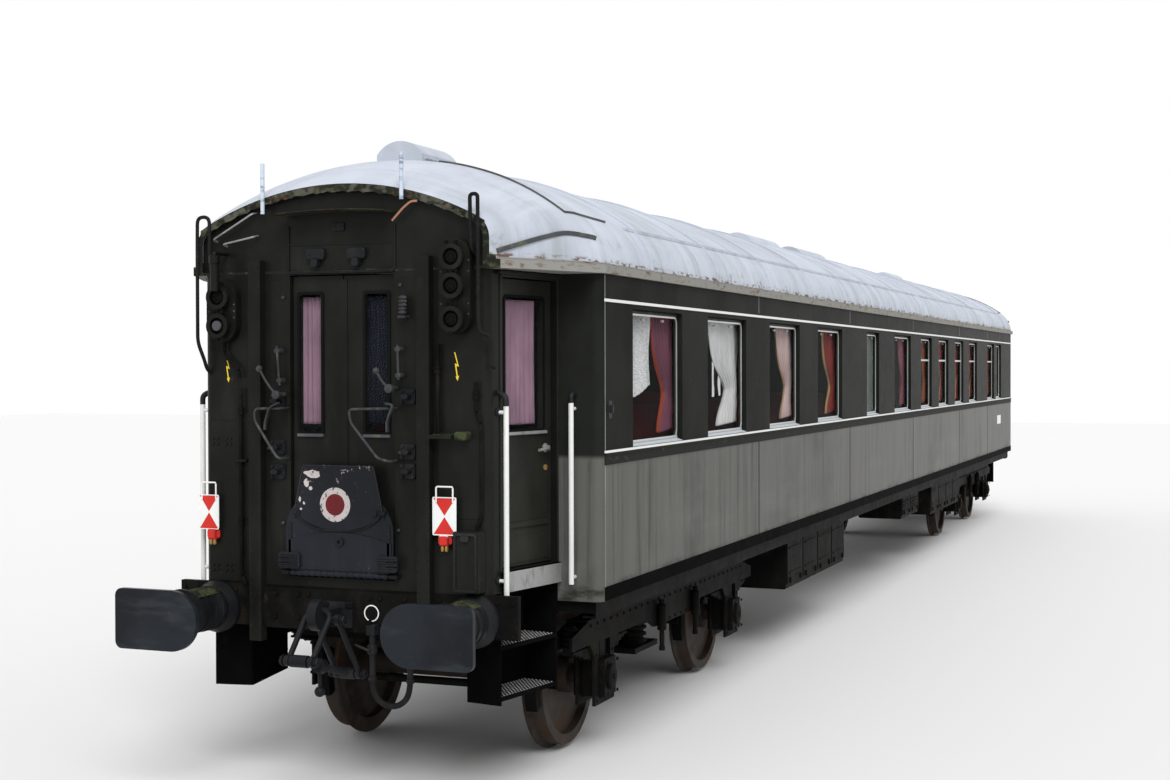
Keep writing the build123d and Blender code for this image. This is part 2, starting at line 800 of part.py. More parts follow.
# Gangway posts: channels with their web outward, one each side of both end doorways
with BuildPart() as post_channels:
    with BuildSketch(Plane.XY.offset(post_bottom_z)):
        for side in (-1, 1):
            with Locations((end_wall_x + post_depth / 2, side * (post_inner_y + post_width / 2))):
                Rectangle(post_depth, post_width)
            with Locations((end_wall_x + (post_depth - post_flange) / 2,
                            side * (post_inner_y + post_width / 2))):
                Rectangle(post_depth - post_flange, post_width - 2 * post_flange,
                          mode=Mode.SUBTRACT)
    extrude(amount=post_top_z - post_bottom_z)

# Rain hoods over the gangway doors
with BuildPart() as rain_hoods:
    with BuildSketch(end_face):
        with BuildLine():
            low = hood_crown_z - hood_drop
            ThreePointArc((-hood_half_width, low), (0, hood_crown_z), (hood_half_width, low))
            Line((hood_half_width, low), (hood_half_width, low - hood_thickness))
            ThreePointArc((hood_half_width, low - hood_thickness),
                          (0, hood_crown_z - hood_thickness),
                          (-hood_half_width, low - hood_thickness))
            Line((-hood_half_width, low - hood_thickness), (-hood_half_width, low))
        make_face()
    extrude(amount=hood_projection)
    add(rain_hoods.part.rotate(Axis.Z, 180))

rain_hoods.part.label = "rain_hoods"
export_step(rain_hoods.part, "parts/rain_hoods.step")

# Bridge plates: folded up in front of each gangway door, hinged at the sill
bridge_hinge_x = end_wall_x + 37.0
bridge_pin_radius = 8.0
bridge_barrel_half = 330.0
bridge_lug_start = 342.0
bridge_lug_width = 50.0
bridge_lug_relief = 10.0
bridge_block_gap = 29.0
bridge_rib_groove = 12.0
bridge_front = bridge_hinge_x - end_wall_x + bridge_plate_thickness / 2
with BuildPart() as bridge_plate:
    with BuildSketch(end_face.offset(bridge_front - bridge_plate_thickness)):
        with BuildLine():
            half = bridge_plate_width / 2
            top = bridge_hinge_z + bridge_plate_height
            low = top - bridge_shoulder_height
            brow = half - bridge_shoulder_width
            Polyline((-half, low), (-half, bridge_hinge_z), (half, bridge_hinge_z), (half, low))
            TangentArc((half, low), (brow, top), tangent=(0, 1))
            Line((brow, top), (-brow, top))
            TangentArc((-half, low), (-brow, top), tangent=(0, 1))
        make_face()
        for side in (-1, 1):
            with Locations((side * bridge_plate_width / 2, bridge_hinge_z)):
                Rectangle(2 * (bridge_plate_width / 2 - bridge_lug_start + bridge_lug_relief),
                          2 * (bridge_hinge_radius + bridge_lug_relief), mode=Mode.SUBTRACT)
    extrude(amount=bridge_plate_thickness)
    # Tread sheet with an arched top edge, and the apron with a sagging lower edge
    with BuildSketch(end_face.offset(bridge_front)):
        with BuildLine():
            half = bridge_plate_width / 2 - bridge_tread_inset
            base = bridge_hinge_z + bridge_hinge_radius + bridge_lug_relief
            crown = bridge_hinge_z + bridge_tread_height
            Polyline((-half, crown - bridge_tread_crown), (-half, base), (half, base),
                     (half, crown - bridge_tread_crown))
            ThreePointArc((half, crown - bridge_tread_crown), (0, crown),
                          (-half, crown - bridge_tread_crown))
        make_face()
        with BuildLine():
            half = bridge_apron_width / 2
            corner_z = bridge_apron_bottom_z + bridge_apron_sag
            Polyline((half, corner_z), (bridge_apron_top_width / 2, bridge_apron_top_z),
                     (-bridge_apron_top_width / 2, bridge_apron_top_z), (-half, corner_z))
            ThreePointArc((-half, corner_z), (0, bridge_apron_bottom_z), (half, corner_z))
        make_face()
    extrude(amount=bridge_apron_thickness)
    # Ribbed hinge blocks at the lower corners
    for side in (-1, 1):
        block_y = side * (bridge_block_start + bridge_block_width / 2)
        block_z = bridge_hinge_z + bridge_block_gap + bridge_block_height / 2
        with BuildSketch(end_face.offset(bridge_front)):
            with Locations((block_y, block_z)):
                RectangleRounded(bridge_block_width, bridge_block_height, bridge_block_height / 5)
        extrude(amount=bridge_block_depth)
        rib_step = bridge_block_height / bridge_block_ribs
        with BuildSketch(end_face.offset(bridge_front + bridge_block_depth)):
            with Locations((block_y + side * bridge_block_width / 4, block_z)):
                with GridLocations(0, rib_step, 1, bridge_block_ribs - 1):
                    Rectangle(bridge_block_width / 2, bridge_rib_groove)
        extrude(amount=-bridge_block_depth / 2, mode=Mode.SUBTRACT)
    barrel_plane = Plane(origin=(bridge_hinge_x, 0, bridge_hinge_z), x_dir=(1, 0, 0),
                         z_dir=(0, 1, 0))
    with BuildSketch(barrel_plane):
        Circle(bridge_hinge_radius)
    extrude(amount=bridge_barrel_half, both=True)
    with BuildSketch(barrel_plane):
        Circle(bridge_pin_radius)
    extrude(amount=bridge_lug_start + bridge_lug_width, both=True)

for name, turn in (("bridge_plate_near", 180), ("bridge_plate_far", 0)):
    plate = bridge_plate.part.rotate(Axis.Z, turn)
    plate.label = name
    export_step(plate, f"parts/{name}.step")

with BuildPart() as bridge_lugs:
    for side in (-1, 1):
        lug_plane = Plane(
            origin=(end_wall_x, side * (bridge_lug_start + bridge_lug_width / 2), bridge_hinge_z),
            x_dir=(1, 0, 0), z_dir=(0, 1, 0))
        reach = bridge_hinge_x - end_wall_x
        with BuildSketch(lug_plane):
            with Locations((reach / 2, 0)):
                Rectangle(reach, 2 * bridge_hinge_radius)
            with Locations((reach, 0)):
                Circle(bridge_hinge_radius)
                Circle(bridge_pin_radius + run_clearance, mode=Mode.SUBTRACT)
        extrude(amount=bridge_lug_width / 2, both=True)

with BuildPart() as gangway_posts:
    for piece in both_ends(post_channels.part) + both_ends(bridge_lugs.part):
        add(piece)

gangway_posts.part.label = "gangway_posts"
export_step(gangway_posts.part, "parts/gangway_posts.step")

# Buffers: barrels on the headstocks, and oblong heads round on their inner side
with BuildPart() as buffer_barrels:
    for side in (-1, 1):
        barrel_axis = Axis((end_wall_x, side * buffer_y, buffer_z), (1, 0, 0))
        with BuildSketch(Plane(origin=barrel_axis.position, x_dir=(1, 0, 0), z_dir=(0, -1, 0))):
            with BuildLine():
                Polyline(
                    (0, 0),
                    (0, buffer_base_radius - 30),
                    (buffer_base_thickness, buffer_base_radius - 30),
                    (buffer_base_thickness + 60, buffer_barrel_radius + 12),
                    (buffer_barrel_length - 40, buffer_barrel_radius),
                    (buffer_barrel_length - 40, buffer_barrel_radius + 14),
                    (buffer_barrel_length, buffer_barrel_radius + 14),
                    (buffer_barrel_length, 0),
                    close=True,
                )
            make_face()
        revolve(axis=barrel_axis)
    add(buffer_barrels.part.rotate(Axis.Z, 180))

buffer_barrels.part.label = "buffer_barrels"
export_step(buffer_barrels.part, "parts/buffer_barrels.step")

with BuildPart() as buffer_heads:
    for side in (-1, 1):
        head_plane = Plane(origin=(half_length, side * buffer_y, buffer_z), x_dir=(0, side, 0),
                           z_dir=(side, 0, 0))
        half_height = buffer_head_height / 2
        with BuildSketch(head_plane):
            with BuildLine():
                Polyline(
                    (half_height - buffer_head_inner, half_height),
                    (buffer_head_outer, half_height),
                    (buffer_head_outer, -half_height),
                    (half_height - buffer_head_inner, -half_height),
                )
                ThreePointArc((half_height - buffer_head_inner, -half_height),
                              (-buffer_head_inner, 0),
                              (half_height - buffer_head_inner, half_height))
            face = make_face()
            outer = face.vertices().group_by(Axis.X)[-1]
            fillet(outer, buffer_head_corner)
        extrude(amount=-side * buffer_head_thickness)
        rod_start = end_wall_x + buffer_barrel_length
        rod_length = half_length - buffer_head_thickness - rod_start
        with BuildSketch(Plane(origin=(rod_start, side * buffer_y, buffer_z), x_dir=(0, 1, 0),
                               z_dir=(1, 0, 0))):
            Circle(buffer_plunger_radius)
        extrude(amount=rod_length)
    add(buffer_heads.part.rotate(Axis.Z, 180))

buffer_heads.part.label = "buffer_heads"
export_step(buffer_heads.part, "parts/buffer_heads.step")

# Draw gear: hook in its guide, screw coupling laid back on the hook, stubs for the brake hose
stub_x = end_wall_x + nose_plate_thickness
hose_x = stub_x + 40.0
hose_diameter = 36.0
hose_bend = 125.0
hose_inner_y = 245.0
hose_centre_z = 696.0
hose_run = 2 * hose_bend * 0.41421
hose_top_z = hose_centre_z + hose_run / 2
hose_pipe_radius = 18.0
hose_block = 56.0
hook_pin_x = stub_x + 150.0
hook_head_x = hook_reach - hook_head_radius
hook_mouth_x = hook_head_x - 13.0
hook_seat_z = hook_z + 28.0
mouth_z = hook_seat_z + hook_mouth_radius
shank_top_z = hook_z + hook_shank_height / 2
hook_pin_z = hook_z - 10.0
trunnion_x = hook_pin_x - link_back
trunnion_z = hook_pin_z - link_drop
bow_x = stub_x + hook_mouth_x
bow_z = hook_seat_z + run_clearance + link_bar_radius
hook_plane = Plane(origin=(stub_x, 0, 0), x_dir=(1, 0, 0), z_dir=(0, -1, 0))
with BuildPart() as draw_unit:
    with BuildSketch(hook_plane):
        with Locations((hook_head_x / 2, hook_z)):
            Rectangle(hook_head_x, hook_shank_height)
        with Locations((hook_head_x, shank_top_z - hook_shank_height / 5)):
            Circle(hook_head_radius)
        with Locations((hook_mouth_x, mouth_z)):
            Circle(hook_mouth_radius, mode=Mode.SUBTRACT)
        cut_height = 2 * hook_head_radius
        cut_bottom_z = max(shank_top_z, mouth_z - hook_mouth_radius)
        with Locations((hook_mouth_x + hook_mouth_radius - hook_head_x / 2,
                        cut_bottom_z + cut_height / 2)):
            Rectangle(hook_head_x, cut_height, mode=Mode.SUBTRACT)
    extrude(amount=hook_thickness / 2, both=True)
    with Locations((stub_x + hook_guide_thickness / 2, 0, hook_z)):
        Box(hook_guide_thickness, hook_guide_width, hook_guide_height)
    with Locations((hook_pin_x, 0, hook_pin_z)):
        Cylinder(link_pin_radius, 2 * link_pin_reach, rotation=(90, 0, 0))
    for y in (hose_inner_y, hose_inner_y + 2 * hose_bend):
        with Locations((stub_x + hose_block / 2 + 5, y, headstock_bottom_z + hose_block / 2)):
            Box(hose_block + 10, hose_block, hose_block)
        pipe_length = headstock_bottom_z - hose_top_z
        with Locations((hose_x, y, hose_top_z + pipe_length / 2)):
            Cylinder(hose_pipe_radius, pipe_length)



def link_plane(x, z, to_x, to_z):
    """Plane at one pin of the coupling: x towards the other pin, y along the pins."""
    run = sqrt((to_x - x) ** 2 + (to_z - z) ** 2)
    along = ((to_x - x) / run, 0, (to_z - z) / run)
    return Plane(origin=(x, 0, z), x_dir=along, z_dir=(-along[2], 0, along[0])), run


# Links between the hook pin and the inner trunnion: a round bar with an eye at each end
with BuildPart() as coupling_links:
    plane, run = link_plane(hook_pin_x, hook_pin_z, trunnion_x, trunnion_z)
    for side in (-1, 1):
        bar_plane = Plane(origin=plane.from_local_coords((0, side * link_half_width, 0)),
                          x_dir=(0, 1, 0), z_dir=plane.x_dir)
        with BuildSketch(bar_plane):
            Circle(link_bar_radius)
        extrude(amount=run)
        for x in (0, run):
            eye_plane = Plane(origin=plane.from_local_coords((x, side * link_half_width, 0)),
                              x_dir=plane.x_dir, z_dir=(0, 1, 0))
            with BuildSketch(eye_plane):
                Circle(link_eye_radius)
            extrude(amount=link_eye_thickness / 2, both=True)
            with BuildSketch(eye_plane):
                Circle(link_pin_radius + run_clearance)
            extrude(amount=link_eye_thickness, both=True, mode=Mode.SUBTRACT)

# Screw with its two trunnions, the collar and the hanging lever
with BuildPart() as coupling_screw:
    nut_x = trunnion_x + screw_run
    nut_z = trunnion_z + screw_rise
    plane, run = link_plane(trunnion_x, trunnion_z, nut_x, nut_z)
    with BuildSketch(Plane(origin=plane.origin, x_dir=(0, 1, 0), z_dir=plane.x_dir)):
        Circle(screw_radius)
    extrude(amount=run)
    for x, z in ((trunnion_x, trunnion_z), (nut_x, nut_z)):
        with Locations((x, 0, z)):
            Cylinder(link_pin_radius, 2 * link_pin_reach, rotation=(90, 0, 0))
            block_length = 2 * (link_half_width - link_eye_thickness / 2 - door_gap)
            Cylinder(trunnion_radius, block_length, rotation=(90, 0, 0))
    collar = plane.from_local_coords((0.6 * run, 0, 0))
    with BuildSketch(Plane(origin=collar, x_dir=(0, 1, 0), z_dir=plane.x_dir)):
        Circle(screw_collar_radius)
    extrude(amount=screw_collar_length / 2, both=True)
    with Locations((collar.X, 0, collar.Z - lever_drop / 2)):
        Cylinder(lever_radius, lever_drop)
    with Locations((collar.X, 0, collar.Z - lever_drop)):
        Sphere(lever_weight_radius)

# Bow from the outer trunnion back up to the mouth of the hook
with BuildPart() as coupling_bow:
    plane, run = link_plane(nut_x, nut_z, bow_x, bow_z)
    with BuildLine(plane):
        FilletPolyline((0, -link_half_width), (run, -link_half_width), (run, link_half_width),
                       (0, link_half_width), radius=bow_bend)
    with BuildSketch(Plane(origin=plane.from_local_coords((0, -link_half_width, 0)),
                           x_dir=(0, 1, 0), z_dir=plane.x_dir)):
        Circle(link_bar_radius)
    sweep()
    for side in (-1, 1):
        eye_plane = Plane(origin=plane.from_local_coords((0, side * link_half_width, 0)),
                          x_dir=plane.x_dir, z_dir=(0, 1, 0))
        with BuildSketch(eye_plane):
            Circle(link_eye_radius)
        extrude(amount=link_eye_thickness / 2, both=True)
        with BuildSketch(eye_plane):
            Circle(link_pin_radius + run_clearance)
        extrude(amount=link_eye_thickness, both=True, mode=Mode.SUBTRACT)

with BuildPart() as draw_gear:
    for unit in (draw_unit, coupling_links, coupling_screw, coupling_bow):
        for piece in both_ends(unit.part):
            add(piece)

draw_gear.part.label = "draw_gear"
export_step(draw_gear.part, "parts/draw_gear.step")

# Brake hoses: a hanging loop at each end
loop_side = hose_run / 2
hose_points = [
    (hose_inner_y, hose_top_z),
    (hose_inner_y, hose_centre_z - loop_side),
    (hose_inner_y + hose_bend - loop_side, hose_centre_z - hose_bend),
    (hose_inner_y + hose_bend + loop_side, hose_centre_z - hose_bend),
    (hose_inner_y + 2 * hose_bend, hose_centre_z - loop_side),
    (hose_inner_y + 2 * hose_bend, hose_top_z),
]
hose_radii = []
for before, at, after in zip(hose_points, hose_points[1:], hose_points[2:]):
    run_in = (at[0] - before[0], at[1] - before[1])
    run_out = (after[0] - at[0], after[1] - at[1])
    turn = abs(atan2(run_in[0] * run_out[1] - run_in[1] * run_out[0],
                     run_in[0] * run_out[0] + run_in[1] * run_out[1]))
    shorter = min(sqrt(run_in[0] ** 2 + run_in[1] ** 2), sqrt(run_out[0] ** 2 + run_out[1] ** 2))
    hose_radii.append(0.45 * shorter * cos(turn / 2) / sin(turn / 2))
print("hose radii", [round(r, 1) for r in hose_radii])

with BuildPart() as brake_hose:
    with BuildLine() as hose_line:
        FilletPolyline(*[(hose_x, y, z) for y, z in hose_points], radius=hose_radii)
    with BuildSketch(Plane(origin=(hose_x, hose_inner_y, hose_top_z), x_dir=(1, 0, 0),
                           z_dir=(0, 0, -1))):
        Circle(hose_diameter / 2)
    sweep(path=hose_line.line)

for name, turn in (("brake_hose_near", 180), ("brake_hose_far", 0)):
    hose = brake_hose.part.rotate(Axis.Z, turn)
    hose.label = name
    export_step(hose, f"parts/{name}.step")

# Wheelset profile: radius and distance from the middle along the axle
rail_z = flange_depth + tread_radius
tyre_back_y = back_to_back / 2
tyre_outer_y = tyre_back_y + tyre_width
web_y = tyre_back_y + tyre_width / 2 - web_thickness / 2
hub_start_y = web_y + web_thickness / 2 - hub_length / 2
rim_radius = tread_radius - rim_thickness
flange_radius = tread_radius + flange_depth
wheel_profile = [
    (0, 0), (axle_radius, 0), (axle_radius, hub_start_y), (hub_radius, hub_start_y),
    (hub_radius, web_y), (rim_radius, web_y), (rim_radius, tyre_back_y),
    (flange_radius - 10, tyre_back_y), (flange_radius, tyre_back_y + 10),
    (flange_radius, tyre_back_y + 20), (tread_radius + 4, tyre_back_y + flange_width + 3),
    (tread_radius, tyre_back_y + flange_width + 8), (tread_radius - 5, tyre_outer_y),
    (rim_radius, tyre_outer_y), (rim_radius, web_y + web_thickness),
    (hub_radius, web_y + web_thickness), (hub_radius, hub_start_y + hub_length),
    (journal_radius, hub_start_y + hub_length), (journal_radius, journal_end_y),
    (0, journal_end_y),
]
with BuildPart() as wheelset:
    with BuildSketch(Plane(origin=(0, 0, rail_z), x_dir=(1, 0, 0), z_dir=(0, 0, -1))):
        with BuildLine():
            Polyline(*wheel_profile, close=True)
        make_face()
    revolve(axis=Axis((0, 0, rail_z), (0, 1, 0)))
    mirror(about=Plane.XZ)

axles = [("wheelset_a", -pivot_x - wheelbase / 2), ("wheelset_b", -pivot_x + wheelbase / 2),
         ("wheelset_c", pivot_x - wheelbase / 2), ("wheelset_d", pivot_x + wheelbase / 2)]
for name, x in axles:
    axle = wheelset.part.translate((x, 0, 0))
    axle.label = name
    export_step(axle, f"parts/{name}.step")

# Bogie frame: double side plates with legs round the axle boxes, cover, cross beams,
# sprung bolster on its plank
half_base = wheelbase / 2
leg_inner = box_width / 2 + run_clearance
leg_outer = leg_inner + pedestal_leg_width
beam_bottom_z = frame_top_z - frame_beam_height
side_outline = [
    (0, frame_top_z), (frame_half_length - 260, frame_top_z),
    (frame_half_length, frame_top_z - frame_end_drop), (frame_half_length, beam_bottom_z),
    (half_base + leg_outer + 90, beam_bottom_z), (half_base + leg_outer, beam_bottom_z - 90),
    (half_base + leg_outer, pedestal_bottom_z), (half_base - leg_outer, pedestal_bottom_z),
    (half_base - leg_outer, beam_bottom_z - 90), (half_base - leg_outer - 90, beam_bottom_z),
    (640, beam_bottom_z), (480, beam_bottom_z - 70), (0, beam_bottom_z - 70),
]
bolster_half_length = 860.0
plank_top_z = 470.0
plank_thickness = 40.0
plank_half_length = 840.0
bolster_spring_radius = 82.0
bolster_springs_y = [500.0, 730.0]
swing_bar = 40.0
swing_y = 615.0
side_frame_y = (frame_inner_y + frame_outer_y + frame_plate) / 2
with BuildPart() as bogie_frame:
    outline = side_outline + [(-x, z) for x, z in reversed(side_outline[1:-1])]
    for y in (frame_inner_y, frame_outer_y):
        with BuildSketch(Plane(origin=(0, y, 0), x_dir=(1, 0, 0), z_dir=(0, -1, 0))):
            with BuildLine():
                Polyline(*outline, close=True)
            make_face()
            slot_top = rail_z + box_height / 2 + leaf_count * leaf_thickness + 20
            slot_bottom = pedestal_bottom_z + pedestal_tie_height
            with Locations((half_base, (slot_top + slot_bottom) / 2),
                           (-half_base, (slot_top + slot_bottom) / 2)):
                Rectangle(2 * leg_inner, slot_top - slot_bottom, mode=Mode.SUBTRACT)
        extrude(amount=-frame_plate)
    with Locations((0, side_frame_y, frame_top_z + frame_cover_thickness / 2)):
        Box(2 * (frame_half_length - 260), frame_outer_y - frame_inner_y + frame_plate + 10,
            frame_cover_thickness)
    mirror(about=Plane.XZ)
    for x in (-transom_offset, transom_offset):
        with Locations((x, 0, frame_top_z - transom_height / 2)):
            Box(transom_width, 2 * frame_inner_y + 2, transom_height)
    end_height = frame_beam_height - frame_end_drop
    for x in (-1, 1):
        with Locations((x * (frame_half_length - end_beam_width / 2), 0,
                        beam_bottom_z + end_height / 2)):
            Box(end_beam_width, 2 * frame_inner_y + 2, end_height)
    with Locations((0, 0, (bolster_bottom_z + bolster_top_z) / 2)):
        Box(2 * bolster_half_width, 2 * bolster_half_length, bolster_top_z - bolster_bottom_z)
    with Locations((0, 0, plank_top_z - plank_thickness / 2)):
        Box(2 * (transom_offset - transom_width / 2), 2 * plank_half_length, plank_thickness)
    for sy in (-1, 1):
        for y in bolster_springs_y:
            with Locations((0, sy * y, (plank_top_z + bolster_bottom_z) / 2)):
                Cylinder(bolster_spring_radius, bolster_bottom_z - plank_top_z)
        for sx in (-1, 1):
            bar_x = sx * (transom_offset - transom_width / 2 - swing_bar / 2)
            bar_bottom = plank_top_z - plank_thickness
            with Locations((bar_x, sy * swing_y, (bar_bottom + frame_top_z - 40) / 2)):
                Box(swing_bar, swing_bar, frame_top_z - 40 - bar_bottom)
        bearer_height = sill_bottom_z - run_clearance - bolster_top_z
        with Locations((0, sy * side_bearer_y, bolster_top_z + bearer_height / 2)):
            Cylinder(side_bearer_radius, bearer_height)
    with Locations((0, 0, bolster_top_z + bearer_height / 2)):
        Cylinder(centre_pad_radius, bearer_height)
    with Locations((0, 0, sill_bottom_z - run_clearance + pivot_pin_height / 2)):
        Cylinder(pivot_pin_radius, pivot_pin_height)

# Axle boxes with their leaf springs and spring hangers
box_top_z = rail_z + box_height / 2
with BuildPart() as axle_gear:
    for x in (-half_base, half_base):
        with BuildSketch(Plane(origin=(x, side_frame_y - box_half_depth, rail_z),
                               x_dir=(1, 0, 0), z_dir=(0, 1, 0))):
            Rectangle(box_width, box_height)
            Circle(box_bore_radius, mode=Mode.SUBTRACT)
        extrude(amount=2 * box_half_depth - box_end_wall)
        with Locations((x, side_frame_y + box_half_depth - box_end_wall / 2, rail_z)):
            Box(box_width, box_end_wall, box_height)
        with Locations((x, side_frame_y + box_half_depth + box_cap_thickness / 2, rail_z)):
            Cylinder(box_cap_radius, box_cap_thickness, rotation=(90, 0, 0))
        for leaf in range(leaf_count):
            length = leaf_spring_length - (leaf_count - 1 - leaf) * leaf_step
            with Locations((x, side_frame_y, box_top_z + (leaf + 0.5) * leaf_thickness)):
                Box(length, leaf_width, leaf_thickness)
        stack_top_z = box_top_z + leaf_count * leaf_thickness
        coil_height = frame_top_z - run_clearance - stack_top_z
        for side in (-1, 1):
            coil_x = x + side * (leaf_spring_length / 2 - coil_radius)
            with Locations((coil_x, side_frame_y, stack_top_z + coil_height / 2)):
                Cylinder(coil_radius, coil_height)
    mirror(about=Plane.XZ)

# Brakes: curved blocks both sides of every wheel, cross beams and hangers
block_inner = tread_radius + brake_clearance
block_outer = block_inner + brake_block_thickness
block_half_angle = brake_block_height / 2 / block_inner
block_y = tyre_outer_y - brake_block_width / 2 - 12.0
hanger_z = 845.0
hanger_bar_radius = 15.0
with BuildPart() as brake_gear:
    for x in (-half_base, half_base):
        for side in (-1, 1):
            c, s = cos(block_half_angle), sin(block_half_angle)
            with BuildSketch(Plane(origin=(x, block_y + brake_block_width / 2, rail_z),
                                   x_dir=(side, 0, 0), z_dir=(0, -side, 0))):
                with BuildLine():
                    ThreePointArc((block_inner * c, -block_inner * s), (block_inner, 0),
                                  (block_inner * c, block_inner * s))
                    Line((block_inner * c, block_inner * s), (block_outer * c, block_outer * s))
                    ThreePointArc((block_outer * c, block_outer * s), (block_outer, 0),
                                  (block_outer * c, -block_outer * s))
                    Line((block_outer * c, -block_outer * s), (block_inner * c, -block_inner * s))
                make_face()
            extrude(amount=side * brake_block_width)
            beam_x = x + side * (block_outer + brake_beam_radius - 12)
            outer_side = x * side > 0
            hanger_top_z = beam_bottom_z if outer_side else hanger_z
            hanger_x = beam_x if outer_side else beam_x - side * 20
            with Locations((hanger_x, block_y, (rail_z + hanger_top_z) / 2)):
                Box(brake_hanger_width, 30, hanger_top_z - rail_z)
            if not outer_side:
                bar_end = frame_inner_y
                with Locations((hanger_x, (block_y + bar_end) / 2, hanger_z)):
                    Cylinder(hanger_bar_radius, bar_end - block_y, rotation=(90, 0, 0))
    mirror(about=Plane.XZ)
    for x in (-half_base, half_base):
        for side in (-1, 1):
            beam_x = x + side * (block_outer + brake_beam_radius - 12)
            with Locations((beam_x, 0, rail_z)):
                Cylinder(brake_beam_radius, 2 * block_y + brake_block_width / 2,
                         rotation=(90, 0, 0))

bogie_pieces = [("bogie_frame", bogie_frame.part), ("axle_gear", axle_gear.part),
                ("brake_gear", brake_gear.part)]
for kind, piece in bogie_pieces:
    for end, x in (("near", -pivot_x), ("far", pivot_x)):
        moved = piece.translate((x, 0, 0))
        moved.label = f"{kind}_{end}"
        export_step(moved, f"parts/{kind}_{end}.step")

# Underfloor equipment: x from, x to, side, inner y, outer y, bottom height
floor_boxes = [
    (-4850.0, -2510.0, 1, 640.0, 1225.0, 560.0),
    (-4850.0, -2510.0, -1, 640.0, 1225.0, 560.0),
    (700.0, 1800.0, -1, 700.0, 1225.0, 720.0),
    (2750.0, 5150.0, -1, 500.0, 1225.0, 600.0),
    (2900.0, 4900.0, 1, 700.0, 1225.0, 700.0),
]
box_edge = 18.0
# Air tanks: x from, x to, distance from the middle, radius
air_tanks = [(-1700.0, 150.0, 520.0, 165.0), (-1700.0, 150.0, -520.0, 165.0),
             (700.0, 1800.0, 900.0, 200.0)]
tank_strap_width = 60.0
tank_gap = 40.0
tank_end_rounding = 0.4
with BuildPart() as underfloor_boxes:
    for x0, x1, side, y0, y1, z0 in floor_boxes:
        with Locations(((x0 + x1) / 2, side * (y0 + y1) / 2, (z0 + sill_bottom_z) / 2)):
            Box(x1 - x0, y1 - y0, sill_bottom_z - z0)
    lower_edges = underfloor_boxes.edges().filter_by(Axis.X)
    fillet([e for e in lower_edges if e.center().Z < sill_bottom_z - 10], box_edge)
    for x0, x1, y, radius in air_tanks:
        tank_z = sill_bottom_z - tank_gap - radius
        with Locations(((x0 + x1) / 2, y, tank_z)):
            tank = Cylinder(radius, x1 - x0, rotation=(0, 90, 0))
        fillet(tank.edges().filter_by(GeomType.CIRCLE), radius * tank_end_rounding)
        for member_x in cross_members_x:
            if x0 < member_x < x1:
                with Locations((member_x, y, (tank_z + sill_bottom_z) / 2)):
                    Box(tank_strap_width, 2 * radius + 16, sill_bottom_z - tank_z)

underfloor_boxes.part.label = "underfloor_boxes"
export_step(underfloor_boxes.part, "parts/underfloor_boxes.step")

# Handrails: one on the corner post and one on the shoulder wall beside each entrance
rail_radius = 16.0
rail_stand = 60.0
rail_foot_radius = 11.0
front_rail_x = 95.0
front_rail_z = (1206.0, 2340.0)
rear_rail_y = 1215.0
rear_rail_z = (1237.0, 2349.0)
rail_foot_inset = 40.0
with BuildPart() as rail_pair:
    z0, z1 = front_rail_z
    with BuildSketch(entrance_frame.offset(z0)):
        with Locations((front_rail_x, rail_stand)):
            Circle(rail_radius)
    extrude(amount=z1 - z0)
    for z in (z0 + rail_foot_inset + 70, z1 - rail_foot_inset):
        foot_plane = Plane(origin=entrance_frame.from_local_coords((front_rail_x, 0, z)),
                           x_dir=entrance_frame.x_dir, z_dir=entrance_frame.y_dir)
        with BuildSketch(foot_plane):
            Circle(rail_foot_radius)
        extrude(amount=rail_stand)
    z0, z1 = rear_rail_z
    with Locations((shoulder_x + rail_stand, -rear_rail_y, (z0 + z1) / 2)):
        Cylinder(rail_radius, z1 - z0)
    for z in (z0 + rail_foot_inset, z1 - rail_foot_inset):
        with BuildSketch(Plane(origin=(shoulder_x, -rear_rail_y, z), x_dir=(0, 1, 0),
                               z_dir=(1, 0, 0))):
            Circle(rail_foot_radius)
        extrude(amount=rail_stand)

with BuildPart() as handrails:
    for sx, sy in corners:
        add(corner_copy(rail_pair.part, sx, sy))

handrails.part.label = "handrails"
export_step(handrails.part, "parts/handrails.step")

# Roof ventilators: middle along the coach, length
ventilators = [(-9200.0, 520.0), (-750.0, 1300.0), (1600.0, 1400.0), (7370.0, 900.0)]
ventilator_y = 240.0
ventilator_half_width = 170.0
ventilator_top_z = 4085.0
ventilator_slope = 90.0
with BuildPart() as roof_ventilators:
    for x, length in ventilators:
        with BuildSketch(Plane.YZ.offset(x - length / 2)):
            with BuildLine():
                y0 = ventilator_y - ventilator_half_width
                y1 = ventilator_y + ventilator_half_width
                foot_z = roof_sections[0][2] - 120
                Polyline((y0, ventilator_top_z - ventilator_slope), (y0, foot_z), (y1, foot_z),
                         (y1, ventilator_top_z - ventilator_slope))
                ThreePointArc((y1, ventilator_top_z - ventilator_slope),
                              (ventilator_y, ventilator_top_z),
                              (y0, ventilator_top_z - ventilator_slope))
            make_face()
        extrude(amount=length)
    add(roof_barrel(0, wall_top_z), mode=Mode.SUBTRACT)

roof_ventilators.part.label = "roof_ventilators"
export_step(roof_ventilators.part, "parts/roof_ventilators.step")

# Jumper plates on the end walls, round at both ends: middle, width, bottom, height, depth
jumper_plates = [(780.0, 200.0, 2755.0, 555.0, 60.0), (-808.0, 210.0, 2720.0, 389.0, 60.0)]
# Electric box and its bracket: middle, width, bottom, height, depth
end_boxes = [(866.0, 158.0, 1262.0, 352.0, 105.0), (701.0, 150.0, 2150.0, 22.0, 110.0)]
